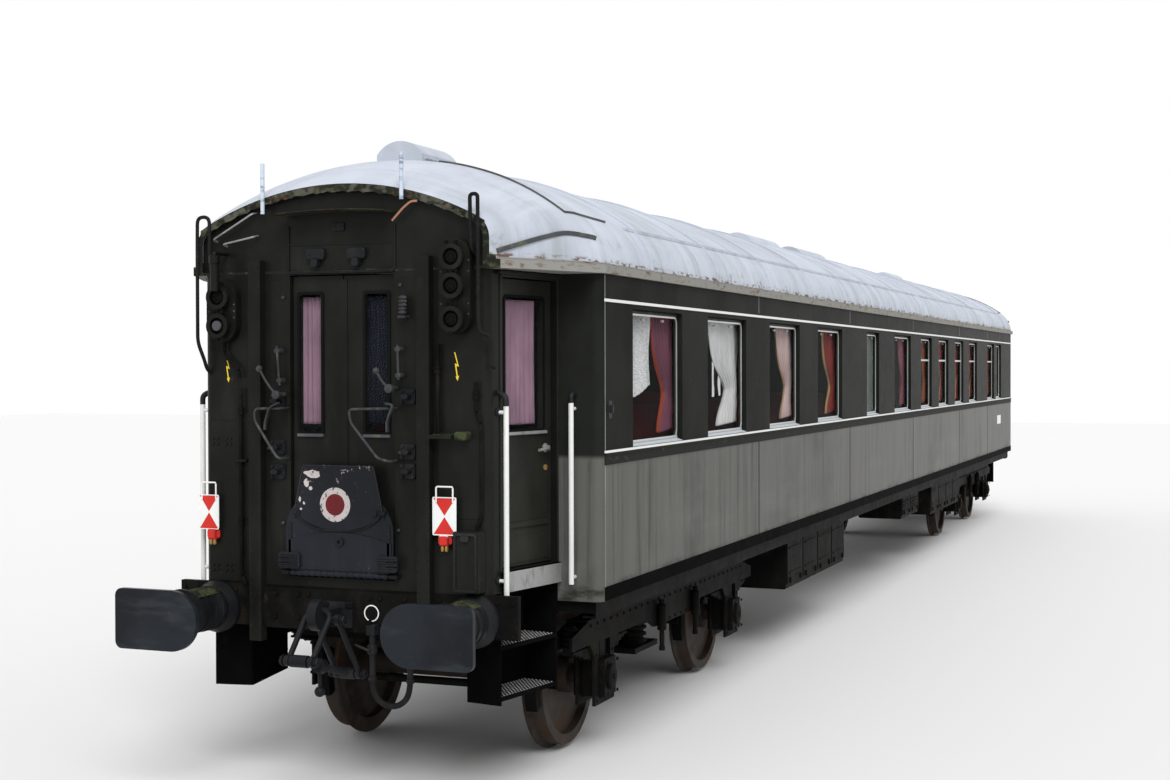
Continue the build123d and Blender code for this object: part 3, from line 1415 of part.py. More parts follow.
# Jumper sockets: middle and height
jumper_sockets = [(780.0, 3201.0), (780.0, 3034.0), (780.0, 2841.0), (-805.0, 2996.0),
                  (-805.0, 2820.0)]
socket_radius = 68.0
socket_length = 55.0
socket_lip_radius = 76.0
socket_lip_length = 12.0
socket_bore_radius = 50.0
socket_bore_depth = 30.0
with BuildPart() as jumper_unit:
    for y, width, z0, height, depth in jumper_plates:
        with BuildSketch(end_face):
            with Locations((y, z0 + height / 2)):
                SlotOverall(height, width, rotation=90)
        extrude(amount=depth)
    for y, width, z0, height, depth in end_boxes:
        with Locations((end_wall_x + depth / 2, y, z0 + height / 2)):
            Box(depth, width, height)
    socket_face = end_face.offset(jumper_plates[0][4])
    for y, z in jumper_sockets:
        with BuildSketch(socket_face):
            with Locations((y, z)):
                Circle(socket_radius)
        extrude(amount=socket_length)
        with BuildSketch(socket_face.offset(socket_length - socket_lip_length)):
            with Locations((y, z)):
                Circle(socket_lip_radius)
        extrude(amount=socket_lip_length)
        with BuildSketch(socket_face.offset(socket_length)):
            with Locations((y, z)):
                Circle(socket_bore_radius)
        extrude(amount=-socket_bore_depth, mode=Mode.SUBTRACT)

with BuildPart() as jumper_boxes:
    for piece in both_ends(jumper_unit.part):
        add(piece)

jumper_boxes.part.label = "jumper_boxes"
export_step(jumper_boxes.part, "parts/jumper_boxes.step")

# Tail boards at the -X end: middle, width, bottom, height, middle of the socket
tail_table = [(912.0, 140.0, 1570.0, 210.0, 888.0), (-704.0, 150.0, 1586.0, 220.0, -702.0)]
tail_board_thickness = 6.0
tail_board_stand = 40.0
tail_socket_width = 52.0
tail_socket_height = 62.0
tail_socket_lip = 10.0
with BuildPart() as tail_boards:
    for y, width, z0, height, socket_y in tail_table:
        board_x = -end_wall_x - tail_board_stand - tail_board_thickness / 2
        with BuildSketch(Plane(origin=(board_x, 0, 0), x_dir=(0, 1, 0), z_dir=(1, 0, 0))):
            with Locations((y, z0 + height / 2)):
                RectangleRounded(width, height, width / 10)
        extrude(amount=tail_board_thickness / 2, both=True)
        socket_depth = tail_board_stand + tail_board_thickness + tail_socket_lip
        with Locations((-end_wall_x - socket_depth / 2, socket_y, z0 - tail_socket_height / 2)):
            Box(socket_depth, tail_socket_width, tail_socket_height)

tail_boards.part.label = "tail_boards"
export_step(tail_boards.part, "parts/tail_boards.step")

# Partitions: across the coach at the given places, and the wall of the side corridor
partition_thickness = 35.0
partition_top_z = 3130.0
partition_door_width = 640.0
inner_wall_y = side_y - side_wall_thickness
saloon_partitions = [-9700.0, -2480.0, -860.0, 860.0, 9700.0]
cabin_partitions = [2160.0, 3485.0, 4812.0, 6420.0, 7880.0]
corridor_y = 480.0
cabin_door_height = 1700.0
with BuildPart() as partitions:
    wall_height = partition_top_z - floor_top_z
    wall_mid_z = (partition_top_z + floor_top_z) / 2
    for x in saloon_partitions:
        with Locations((x, 0, wall_mid_z)):
            Box(partition_thickness, 2 * inner_wall_y, wall_height)
    for x in cabin_partitions:
        y_mid = (corridor_y - inner_wall_y) / 2
        with Locations((x, y_mid, wall_mid_z)):
            Box(partition_thickness, corridor_y + inner_wall_y, wall_height)
    corridor_start = saloon_partitions[3]
    corridor_end = cabin_partitions[-1]
    with Locations(((corridor_start + corridor_end) / 2, corridor_y, wall_mid_z)):
        Box(corridor_end - corridor_start, partition_thickness, wall_height)
    for x in saloon_partitions:
        door_y = 0.0 if abs(x) > 1000 else (inner_wall_y + corridor_y) / 2
        with Locations((x, door_y, floor_top_z + cabin_door_height / 2)):
            Box(partition_thickness + 2, partition_door_width, cabin_door_height,
                mode=Mode.SUBTRACT)
    cabin_starts = [saloon_partitions[3]] + cabin_partitions[:-1]
    for x0, x1 in zip(cabin_starts, cabin_partitions):
        with Locations(((x0 + x1) / 2, corridor_y, floor_top_z + cabin_door_height / 2)):
            Box(partition_door_width, partition_thickness + 2, cabin_door_height,
                mode=Mode.SUBTRACT)

partitions.part.label = "partitions"
export_step(partitions.part, "parts/partitions.step")

# Saloon tables and seats: one table at each big window with a seat before and behind it
table_top_z = 2050.0
table_thickness = 30.0
table_half_length = 270.0
table_inner_y = 620.0
table_foot = 80.0
seat_gap = 60.0
seat_depth = 400.0
seat_back = 75.0
seat_inner_y = 400.0
seat_top_z = 1740.0
seat_back_top_z = 2330.0
seat_wall_gap = 25.0
bench_depth = 480.0
bench_back = 90.0
saloon_tables = [x for x, width in windows[:4]]
with BuildPart() as tables:
    for x in saloon_tables:
        for sy in (-1, 1):
            with Locations((x, sy * (table_inner_y + inner_wall_y) / 2,
                            table_top_z - table_thickness / 2)):
                Box(2 * table_half_length, inner_wall_y - table_inner_y, table_thickness)
            with Locations((x, sy * (table_inner_y + 120),
                            (floor_top_z + table_top_z - table_thickness) / 2)):
                Box(table_foot, table_foot, table_top_z - table_thickness - floor_top_z)

tables.part.label = "tables"
export_step(tables.part, "parts/tables.step")

with BuildPart() as seats:
    seat_width = inner_wall_y - seat_wall_gap - seat_inner_y
    seat_mid_y = (inner_wall_y - seat_wall_gap + seat_inner_y) / 2
    for x in saloon_tables:
        for sy in (-1, 1):
            for side in (-1, 1):
                start = table_half_length + seat_gap
                with Locations((x + side * (start + seat_depth / 2), sy * seat_mid_y,
                                (floor_top_z + seat_top_z) / 2)):
                    Box(seat_depth, seat_width, seat_top_z - floor_top_z)
                with Locations((x + side * (start + seat_depth + seat_back / 2), sy * seat_mid_y,
                                (floor_top_z + seat_back_top_z) / 2)):
                    Box(seat_back, seat_width, seat_back_top_z - floor_top_z)
    for x in cabin_partitions:
        bench_width = corridor_y + inner_wall_y - partition_thickness - 2 * seat_wall_gap
        bench_mid_y = (corridor_y - inner_wall_y) / 2
        edge = x - partition_thickness / 2
        with Locations((edge - bench_depth / 2, bench_mid_y, (floor_top_z + seat_top_z) / 2)):
            Box(bench_depth, bench_width, seat_top_z - floor_top_z)
        with Locations((edge - bench_back / 2, bench_mid_y,
                        (floor_top_z + seat_back_top_z) / 2)):
            Box(bench_back, bench_width, seat_back_top_z - floor_top_z)

seats.part.label = "seats"
export_step(seats.part, "parts/seats.step")
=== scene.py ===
"""Looks of a vintage saloon coach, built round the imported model.

Lengths are in metres in the frame of the model: X along the coach, Z up, the visible side at -Y.
Shapes are numpy surfaces: grids of two parameters and profiles carried along paths.
"""
import sys

import logging
import math
from dataclasses import dataclass, field
from enum import Enum
from typing import Iterable, Sequence

import bmesh
import bpy
import numpy as np
from mathutils import Matrix, Vector
from mathutils.bvhtree import BVHTree


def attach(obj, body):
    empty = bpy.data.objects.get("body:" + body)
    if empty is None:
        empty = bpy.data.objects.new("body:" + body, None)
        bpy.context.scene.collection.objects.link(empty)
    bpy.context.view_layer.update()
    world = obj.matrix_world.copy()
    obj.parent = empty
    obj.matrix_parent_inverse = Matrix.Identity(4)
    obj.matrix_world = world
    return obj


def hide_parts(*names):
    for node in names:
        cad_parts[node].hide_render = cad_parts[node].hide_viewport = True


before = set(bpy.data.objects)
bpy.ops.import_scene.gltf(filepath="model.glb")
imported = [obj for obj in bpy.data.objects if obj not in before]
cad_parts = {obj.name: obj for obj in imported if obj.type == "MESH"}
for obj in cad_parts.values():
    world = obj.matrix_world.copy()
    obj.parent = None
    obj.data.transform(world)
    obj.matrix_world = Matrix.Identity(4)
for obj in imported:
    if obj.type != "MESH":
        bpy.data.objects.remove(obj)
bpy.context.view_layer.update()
log = logging.getLogger("coach")
Point = Sequence[float]
Triple = tuple[float, float, float]
Socket = bpy.types.NodeSocket
TAU = 2.0 * math.pi
ORIGIN = (0.0, 0.0, 0.0)
AXIS_X = (1.0, 0.0, 0.0)
AXIS_Y = (0.0, 1.0, 0.0)
AXIS_Z = (0.0, 0.0, 1.0)
SIDES = ((-1, "right"), (1, "left"))
TABLES = (-8.86, -7.235, -5.505, -3.795)


class Corner(Enum):
    """The four entrance corners, with their signs along X and Y and their door's letter."""

    NEAR_RIGHT = (-1, -1, "a")
    NEAR_LEFT = (-1, 1, "b")
    FAR_RIGHT = (1, -1, "c")
    FAR_LEFT = (1, 1, "d")


class End(Enum):
    """The two ends of the coach, with their sign along X."""

    NEAR = -1
    FAR = 1


@dataclass
class Shape:
    """Vertices and faces of a mesh being made, with optional UV places per vertex."""

    verts: np.ndarray = field(default_factory=lambda: np.zeros((0, 3)))
    faces: list[np.ndarray] = field(default_factory=list)
    uv: np.ndarray | None = None

    def moved(self, x: float = 0.0, y: float = 0.0, z: float = 0.0) -> "Shape":
        """The shape shifted by a distance."""
        return Shape(self.verts + np.array([x, y, z]), self.faces, self.uv)

    def mirrored(self, sx: int = 1, sy: int = 1) -> "Shape":
        """The shape with its X and Y signs changed, faces still pointing outwards."""
        flipped = self.faces if sx * sy > 0 else [f[:, ::-1] for f in self.faces]
        return Shape(self.verts * np.array([sx, sy, 1.0]), flipped, self.uv)

    def turned(self, end: End) -> "Shape":
        """A shape made for the far end, taken to an end by half a turn about Z."""
        return Shape(self.verts * np.array([end.value, end.value, 1.0]), self.faces, self.uv)

    def both_sides(self) -> "Shape":
        """A shape of the side at +Y, on both sides."""
        return join([self, self.mirrored(1, -1)])

    def both_ends(self) -> "Shape":
        """A shape made for the far end, at both ends."""
        return join([self.turned(end) for end in End])

    def corners(self) -> "Shape":
        """A shape made for the far right corner, at all four corners."""
        return join([self.mirrored(c.value[0], -c.value[1]) for c in Corner])


def join(shapes: Iterable[Shape]) -> Shape:
    """Several shapes as one.

    Args:
        shapes: the shapes to put together.

    Returns:
        One shape whose faces keep their own vertices.
    """
    parts = [s for s in shapes if len(s.verts)]
    offsets = np.cumsum([0] + [len(s.verts) for s in parts])
    faces = [f + o for s, o in zip(parts, offsets) for f in s.faces]
    has_uv = bool(parts) and all(s.uv is not None for s in parts)
    uv = np.concatenate([s.uv for s in parts]) if has_uv else None
    return Shape(np.concatenate([s.verts for s in parts]), faces, uv)


def grid(points: np.ndarray, wrap: bool = False, uv: np.ndarray | None = None) -> Shape:
    """Quads over an array of points with one row per step of u and one column per step of v.

    Args:
        points: array of shape (rows, columns, 3).
        wrap: True joins the last column to the first.
        uv: array of shape (rows, columns, 2), or None.

    Returns:
        The surface, facing the side that u cross v points to.
    """
    rows, cols = points.shape[:2]
    index = np.arange(rows * cols).reshape(rows, cols)
    if wrap:
        index = np.concatenate([index, index[:, :1]], axis=1)
    quads = np.stack([index[:-1, :-1], index[1:, :-1], index[1:, 1:], index[:-1, 1:]], axis=-1)
    flat_uv = None if uv is None else uv.reshape(-1, 2)
    return Shape(points.reshape(-1, 3), [quads.reshape(-1, 4)], flat_uv)


def carried(outline: np.ndarray, path: np.ndarray, ref: Point, caps: bool = True) -> Shape:
    """A closed outline carried along a path.

    Each outline point (a, b) goes to path + a * side + b * up, where side is the path's direction
    crossed with ref and up is side crossed with the direction.

    Args:
        outline: array (n, 2), or (steps, n, 2) for an outline that changes along the path.
        path: array (steps, 3).
        ref: a direction that the path never follows.
        caps: True closes both ends.

    Returns:
        The swept surface.
    """
    tangent = np.gradient(path, axis=0)
    tangent /= np.linalg.norm(tangent, axis=1, keepdims=True)
    side = np.cross(tangent, np.asarray(ref, float))
    side /= np.linalg.norm(side, axis=1, keepdims=True)
    up = np.cross(side, tangent)
    shape2 = np.broadcast_to(outline, (len(path),) + outline.shape[-2:])
    pts = path[:, None] + shape2[..., :1] * side[:, None] + shape2[..., 1:] * up[:, None]
    body = grid(pts, wrap=True)
    count = outline.shape[-2]
    if caps:
        first = np.arange(count)[None, :]
        last = (len(path) - 1) * count + np.arange(count)[None, ::-1]
        body.faces += [first, last]
    return body


def circle(radius: float, sides: int = 12) -> np.ndarray:
    """Points round a circle, counter-clockwise, as an array (sides, 2)."""
    t = np.arange(sides) / sides * TAU
    return radius * np.stack([np.cos(t), np.sin(t)], axis=-1)


def rounded_path(points: Sequence[Point], radius: float, steps: int = 6) -> np.ndarray:
    """A path of straight runs whose corners are parabolas.

    At each corner P the curve is (1-t)^2 A + 2t(1-t) P + t^2 B, with A and B a cut length away.

    Args:
        points: the corner points.
        radius: the cut length, shortened to 0.48 of the shorter run.
        steps: points in each corner.

    Returns:
        The path as an array (n, 3).
    """
    p = np.asarray(points, float)
    before, at, after = p[:-2], p[1:-1], p[2:]
    run_in = np.linalg.norm(before - at, axis=1, keepdims=True)
    run_out = np.linalg.norm(after - at, axis=1, keepdims=True)
    cut = np.minimum(radius, 0.48 * np.minimum(run_in, run_out))
    a = at + (before - at) / run_in * cut
    b = at + (after - at) / run_out * cut
    t = np.linspace(0, 1, steps)[None, :, None]
    bends = (1 - t) ** 2 * a[:, None] + 2 * t * (1 - t) * at[:, None] + t ** 2 * b[:, None]
    return np.concatenate([p[:1], bends.reshape(-1, 3), p[-1:]])


def pipe(points: Sequence[Point], radius: float, bend: float = 0.03, sides: int = 10,
         ref: Point = (0.0, 0.31, 0.95)) -> Shape:
    """A round bar or pipe along straight runs with rounded corners."""
    return carried(circle(radius, sides), rounded_path(points, bend), ref)


def inset(outline: np.ndarray, distance: float) -> np.ndarray:
    """A counter-clockwise outline moved inwards along the mean normal of its two edges.

    Args:
        outline: array (n, 2).
        distance: how far each edge moves.

    Returns:
        The smaller outline, with as many points.
    """
    edge = np.roll(outline, -1, axis=0) - outline
    edge /= np.linalg.norm(edge, axis=1, keepdims=True)
    normal = np.stack([-edge[:, 1], edge[:, 0]], axis=-1)
    mean = normal + np.roll(normal, 1, axis=0)
    scale = np.sum(mean * normal, axis=1, keepdims=True)
    return outline + mean / np.maximum(scale, 0.3) * distance


def rounded_rect(width: float, height: float, radius: float, steps: int = 4) -> np.ndarray:
    """A counter-clockwise rectangle about the origin with quarter circles at its corners."""
    r = min(radius, 0.499 * width, 0.499 * height)
    t = np.linspace(0, math.pi / 2, steps)
    quarter = np.stack([np.cos(t), np.sin(t)], axis=-1) * r
    turn = np.array([[0.0, 1.0], [-1.0, 0.0]])
    centres = np.array([[1, 1], [-1, 1], [-1, -1], [1, -1]]) * [width / 2 - r, height / 2 - r]
    arcs = [quarter @ np.linalg.matrix_power(turn, k) + c for k, c in enumerate(centres)]
    return np.concatenate(arcs)


@dataclass(frozen=True)
class Face:
    """A flat working plane: a point (a, b, c) on it is origin + a * across + b * up + c * out."""

    origin: Point
    across: Point
    up: Point = AXIS_Z

    def place(self, local: np.ndarray) -> np.ndarray:
        """Points in this plane's coordinates, taken to the model's."""
        a, b = np.asarray(self.across, float), np.asarray(self.up, float)
        return np.asarray(self.origin) + local @ np.stack([a, b, np.cross(a, b)])

    def lift(self, shape: Shape) -> Shape:
        """A shape in this plane's coordinates, taken to the model's."""
        return Shape(self.place(shape.verts), shape.faces, shape.uv)


UPRIGHT = Face(ORIGIN, AXIS_X, AXIS_Y)


def plate(outline: np.ndarray, thickness: float, bevel: float = 0.0, base: float = 0.0) -> Shape:
    """An outline carried outwards from its plane, with a bevelled front edge and closed faces.

    Args:
        outline: counter-clockwise array (n, 2).
        thickness: how far it stands out.
        bevel: width of the bevel round the front.
        base: where it starts, measured outwards.

    Returns:
        The closed plate in plane coordinates.
    """
    rings = [(outline, base), (outline, base + thickness - bevel)]
    if bevel > 0:
        rings.append((inset(outline, 0.3 * bevel), base + thickness - 0.3 * bevel))
        rings.append((inset(outline, bevel), base + thickness))
    pts = np.stack([np.column_stack([o, np.full(len(o), c)]) for o, c in rings])
    body = grid(pts[::-1], wrap=True)
    count = len(outline)
    body.faces += [np.arange(count)[None, :], (len(rings) - 1) * count + np.arange(count)[None, ::-1]]
    return body


def bar(width: float, height: float, depth: float, at: Point, bevel: float = 0.002,
        base: float = 0.0) -> Shape:
    """A rectangular plate with bevelled edges, centred at a place of the plane."""
    out = plate(rounded_rect(width, height, bevel * 2, 3), depth, min(bevel, depth * 0.45), base)
    return out.moved(*at)


def turned(profile: Sequence[Point], sides: int = 24) -> Shape:
    """A profile of (radius, height) turned about the plane's outward axis.

    A point at angle t is (radius cos t, radius sin t, height). Radii of 0 close the ends.

    Args:
        profile: pairs from the back to the front.
        sides: steps round the axis.

    Returns:
        The turned surface in plane coordinates.
    """
    p = np.asarray(profile, float)
    t = np.arange(sides) / sides * TAU
    r = np.maximum(p[::-1, :1], 1e-5)
    pts = np.stack([r * np.cos(t), r * np.sin(t), np.broadcast_to(p[::-1, 1:], (len(p), sides))],
                   axis=-1)
    body = grid(pts, wrap=True)
    body.faces += [np.arange(sides)[None, :], (len(p) - 1) * sides + np.arange(sides)[None, ::-1]]
    return body


def ring_band(outer: np.ndarray, inner: np.ndarray, depth: float, base: float = 0.0) -> Shape:
    """A frame between two outlines with the same number of points, standing out by a depth."""
    loops = [(outer, base), (outer, base + depth), (inner, base + depth), (inner, base)]
    pts = np.stack([np.column_stack([o, np.full(len(o), c)]) for o, c in loops + loops[:1]])
    return grid(pts[::-1], wrap=True)


def repeated(template: Shape, places: np.ndarray) -> Shape:
    """Copies of a template shifted to many places, as one broadcast sum.

    Args:
        template: the shape to repeat, about the origin.
        places: array (n, 3).

    Returns:
        All copies as one shape.
    """
    count, size = len(places), len(template.verts)
    verts = (places[:, None] + template.verts[None]).reshape(-1, 3)
    step = (np.arange(count) * size)[:, None, None]
    faces = [(f[None] + step).reshape(-1, f.shape[1]) for f in template.faces]
    uv = None if template.uv is None else np.tile(template.uv, (count, 1))
    return Shape(verts, faces, uv)


def rivets(places: Sequence[Point], radius: float, height: float | None = None,
           sides: int = 8) -> Shape:
    """Dome heads on a plane: each is a cosine profile turned about its own axis."""
    h = height or radius * 0.6
    t = np.linspace(0, math.pi / 2, 4)
    head = turned([(radius * math.cos(a), h * math.sin(a)) for a in t], sides)
    spots = np.asarray(places, float)
    if spots.shape[1] == 2:
        spots = np.column_stack([spots, np.zeros(len(spots))])
    return repeated(head, spots)


def row(start: Point, end: Point, count: int) -> np.ndarray:
    """Evenly spaced places from start to end."""
    return np.linspace(np.asarray(start, float), np.asarray(end, float), count)


@dataclass(frozen=True)
class Layer:
    """One weathering layer: a colour laid where stretched noise is high, between two heights.

    The cover is smoothstep(low, high, noise(position * scale)) * amount * height mask.
    """

    colour: Triple
    scale: float | Triple
    low: float = 0.5
    high: float = 0.7
    amount: float = 1.0
    rises: tuple[float, float] | None = None
    roughness: float | None = None
    detail: float = 6.0


class NodeKit:
    """Short calls for laying out a material's nodes."""

    def __init__(self, material: bpy.types.Material) -> None:
        """Clears the material's tree and adds its coordinates."""
        material.use_nodes = True
        self.tree = material.node_tree
        self.tree.nodes.clear()
        self.place = self.add("ShaderNodeTexCoord")
        self.out = self.add("ShaderNodeOutputMaterial")

    def add(self, kind: str, **settings: object) -> bpy.types.Node:
        """A new node with attributes set by name."""
        node = self.tree.nodes.new(kind)
        for key, value in settings.items():
            setattr(node, key, value)
        return node

    def link(self, start: Socket, end: Socket) -> None:
        """A wire between two sockets."""
        self.tree.links.new(start, end)

    def feed(self, node: bpy.types.Node, socket: str | int, value: object) -> None:
        """Sets a socket to a constant, or wires another socket to it."""
        if isinstance(value, Socket):
            self.link(value, node.inputs[socket])
        else:
            node.inputs[socket].default_value = value

    def maths(self, operation: str, a: object, b: object = 0.0, clamp: bool = False) -> Socket:
        """A math node's result."""
        node = self.add("ShaderNodeMath", operation=operation, use_clamp=clamp)
        self.feed(node, 0, a)
        self.feed(node, 1, b)
        return node.outputs[0]

    def ramp(self, value: object, low: float, high: float) -> Socket:
        """Smooth step of a value from low to high; low above high gives the reverse."""
        node = self.add("ShaderNodeMapRange", interpolation_type="SMOOTHSTEP")
        self.feed(node, "Value", value)
        turned_round = low > high
        node.inputs["From Min"].default_value = high if turned_round else low
        node.inputs["From Max"].default_value = low if turned_round else high
        node.inputs["To Min"].default_value = 1.0 if turned_round else 0.0
        node.inputs["To Max"].default_value = 0.0 if turned_round else 1.0
        return node.outputs["Result"]

    def noise(self, scale: float | Triple, detail: float = 6.0,
              offset: float = 0.0) -> Socket:
        """Fractal noise of the object coordinates multiplied by scale."""
        mapping = self.add("ShaderNodeMapping")
        mapping.inputs["Scale"].default_value = scale if isinstance(scale, tuple) else (scale,) * 3
        mapping.inputs["Location"].default_value = (offset, offset * 0.7, offset * 1.3)
        self.link(self.place.outputs["Object"], mapping.inputs["Vector"])
        node = self.add("ShaderNodeTexNoise")
        node.inputs["Scale"].default_value = 1.0
        node.inputs["Detail"].default_value = detail
        node.inputs["Roughness"].default_value = 0.62
        self.link(mapping.outputs["Vector"], node.inputs["Vector"])
        return node.outputs["Fac"]

    def axis(self, name: str) -> Socket:
        """One object coordinate."""
        node = self.add("ShaderNodeSeparateXYZ")
        self.link(self.place.outputs["Object"], node.inputs[0])
        return node.outputs[name]

    def mix(self, amount: object, a: object, b: object) -> Socket:
        """Colour b laid over colour a."""
        node = self.add("ShaderNodeMix", data_type="RGBA")
        self.feed(node, 0, amount)
        for index, value in ((6, a), (7, b)):
            self.feed(node, index, value if isinstance(value, Socket) else (*value, 1.0))
        return node.outputs[2]

    def blend(self, amount: object, a: object, b: object) -> Socket:
        """Number b laid over number a."""
        node = self.add("ShaderNodeMix", data_type="FLOAT")
        for index, value in ((0, amount), (2, a), (3, b)):
            self.feed(node, index, value)
        return node.outputs[0]

    def bump(self, height: Socket, strength: float, distance: float) -> Socket:
        """Bump from a height."""
        node = self.add("ShaderNodeBump")
        node.inputs["Strength"].default_value = strength
        node.inputs["Distance"].default_value = distance
        self.link(height, node.inputs["Height"])
        return node.outputs["Normal"]


@dataclass(frozen=True)
class Finish:
    """A weathered surface: base colour with cloudy variation, layers of wear, roughness and bump."""

    name: str
    colour: Triple
    roughness: float = 0.45
    metallic: float = 0.0
    coat: float = 0.0
    vary: float = 0.18
    layers: tuple[Layer, ...] = ()
    grain: float = 60.0
    bump: float = 0.12
    specular: float = 0.1

    def shine(self, kit: NodeKit) -> object:
        """Specular level of the surface."""
        return self.specular

    def shader(self, kit: NodeKit, colour: object, roughness: object, normal: object) -> None:
        """Wires colour, roughness and bump to one principled shader."""
        bsdf = kit.add("ShaderNodeBsdfPrincipled")
        kit.feed(bsdf, "Base Color", colour)
        kit.feed(bsdf, "Roughness", roughness)
        bsdf.inputs["Metallic"].default_value = self.metallic
        bsdf.inputs["Coat Weight"].default_value = self.coat
        bsdf.inputs["Coat Roughness"].default_value = 0.12
        kit.feed(bsdf, "Specular IOR Level", self.shine(kit))
        kit.link(normal, bsdf.inputs["Normal"])
        kit.link(bsdf.outputs[0], kit.out.inputs["Surface"])

    def base(self, kit: NodeKit) -> Socket:
        """Base colour: dark and light shades of it mixed by soft noise at two sizes."""
        c = np.array(self.colour)
        dark, light = tuple(c * (1 - self.vary)), tuple(np.minimum(c * (1 + self.vary), 1.0))
        cloud = kit.noise((1.7, 1.7, 1.2), 5.0, 3.1)
        return kit.mix(kit.ramp(cloud, 0.35, 0.65), dark, light)

    def make(self) -> bpy.types.Material:
        """The material, made once and reused by name."""
        material = bpy.data.materials.get(f"look_{self.name}")
        if material is None:
            material = bpy.data.materials.new(f"look_{self.name}")
            self.wire(NodeKit(material))
        return material

    def wire(self, kit: NodeKit) -> None:
        """Lays wear over the base colour, then roughness and grain."""
        colour = self.base(kit)
        rough: object = kit.blend(kit.noise(9.0, 4.0, 1.0), self.roughness * 0.75,
                                  min(self.roughness * 1.3, 1.0))
        for number, layer in enumerate(self.layers):
            cover = kit.ramp(kit.noise(layer.scale, layer.detail, 5.3 * (number + 1)), layer.low, layer.high)
            cover = kit.maths("MULTIPLY", cover, layer.amount, clamp=True)
            if layer.rises is not None:
                cover = kit.maths("MULTIPLY", cover, kit.ramp(kit.axis("Z"), *layer.rises))
            colour = kit.mix(cover, colour, layer.colour)
            if layer.roughness is not None:
                rough = kit.blend(cover, rough, layer.roughness)
        grain = kit.noise(self.grain, 3.0, 0.4)
        self.shader(kit, colour, rough, kit.bump(grain, self.bump, 0.002))


@dataclass(frozen=True)
class SidePaint(Finish):
    """Gloss paint of the sides: dull above the waist, with a sheen below it."""

    waist: float = 2.0

    def shine(self, kit: NodeKit) -> object:
        """Specular level that steps up below the waist and comes and goes in streaks."""
        below = kit.ramp(kit.axis("Z"), self.waist + 0.03, self.waist - 0.03)
        streak = kit.ramp(kit.noise((9.0, 9.0, 0.5), 4.0, 2.2), 0.35, 0.7)
        return kit.blend(below, self.specular, kit.blend(streak, 7.0 * self.specular, 12.0 * self.specular))


@dataclass(frozen=True)
class RoofPaint(Finish):
    """Roof paint whose end faces, seen from the gangway side, are dark and mossy."""

    end_x: float = 10.6985
    low_x: float = 10.657
    low_z: float = 3.215
    dark: Triple = (0.013, 0.0135, 0.011)

    def shader(self, kit: NodeKit, colour: object, roughness: object, normal: object) -> None:
        """Lays the end colour over the rest, then wires the shader."""
        along = kit.maths("ABSOLUTE", kit.axis("X"))
        face = kit.ramp(along, self.end_x, self.end_x + 0.0008)
        low = kit.maths("MULTIPLY", kit.ramp(along, self.low_x, self.low_x + 0.001),
                        kit.ramp(kit.axis("Z"), self.low_z, self.low_z - 0.003))
        cover = kit.maths("MAXIMUM", face, low)
        moss = kit.mix(kit.ramp(kit.noise((14.0, 14.0, 22.0), 5.0, 9.0), 0.52, 0.68), self.dark, MOSS)
        super().shader(kit, kit.mix(cover, colour, moss), kit.blend(cover, roughness, 0.85), normal)


DUST = (0.13, 0.125, 0.105)
RUST = (0.075, 0.03, 0.012)
MOSS = (0.05, 0.06, 0.028)
GREEN = (0.0135, 0.0145, 0.0125)
ALWAYS = (-1.0, -0.9)

PAINT = SidePaint("coach_green", GREEN, 0.3, vary=0.25, layers=(
    # The first two layers make the colour paler below the waist, broadly and in long streaks: painted sheen
    # and painted reflection of the glossy lower side.
    Layer((0.102, 0.101, 0.092), (0.5, 0.9, 0.7), 0.1, 0.5, 0.94, (2.03, 1.99), 0.36),
    Layer((0.15, 0.148, 0.138), (0.35, 0.4, 2.6), 0.52, 0.74, 0.4, (2.03, 1.99), 0.36),
    Layer((0.028, 0.030, 0.027), (1.3, 1.3, 0.8), 0.5, 0.8, 0.6, None, 0.4),
    Layer((0.018, 0.019, 0.016), (13.0, 13.0, 0.45), 0.5, 0.74, 0.75, (2.04, 1.95), 0.3),
    Layer(DUST, (8.0, 8.0, 0.5), 0.55, 0.85, 0.5, (2.05, 1.35), 0.6),
    Layer((0.012, 0.012, 0.010), (4.0, 4.0, 12.0), 0.45, 0.68, 0.8, (1.27, 1.18), 0.6),
    Layer(RUST, (11.0, 11.0, 6.0), 0.62, 0.78, 0.6, (1.34, 1.12), 0.8),
), grain=35.0, bump=0.05, specular=0.005)
END_PAINT = Finish("end_green", (0.0085, 0.0092, 0.0078), 0.34, vary=0.3, layers=(
    Layer((0.024, 0.025, 0.021), (3.0, 3.0, 0.8), 0.5, 0.8, 0.6, None, 0.5),
    Layer((0.04, 0.04, 0.032), (16.0, 16.0, 1.1), 0.6, 0.82, 0.5, (2.4, 1.3), 0.7),
    Layer(RUST, (19.0, 19.0, 12.0), 0.66, 0.8, 0.5, None, 0.8),
    Layer(MOSS, (14.0, 14.0, 20.0), 0.6, 0.75, 0.5, (1.5, 1.0), 0.9),
), grain=40.0, bump=0.12, specular=0.09)
DOOR_PAINT = Finish("door_green", (0.016, 0.0165, 0.0135), 0.32, vary=0.25, layers=(
    Layer((0.045, 0.046, 0.037), (2.5, 2.5, 1.0), 0.48, 0.78, 0.6, (2.2, 1.4), 0.5),
    Layer((0.07, 0.064, 0.05), (14.0, 14.0, 0.9), 0.6, 0.85, 0.5, (2.3, 1.3), 0.6),
), grain=40.0, bump=0.08, specular=0.09)
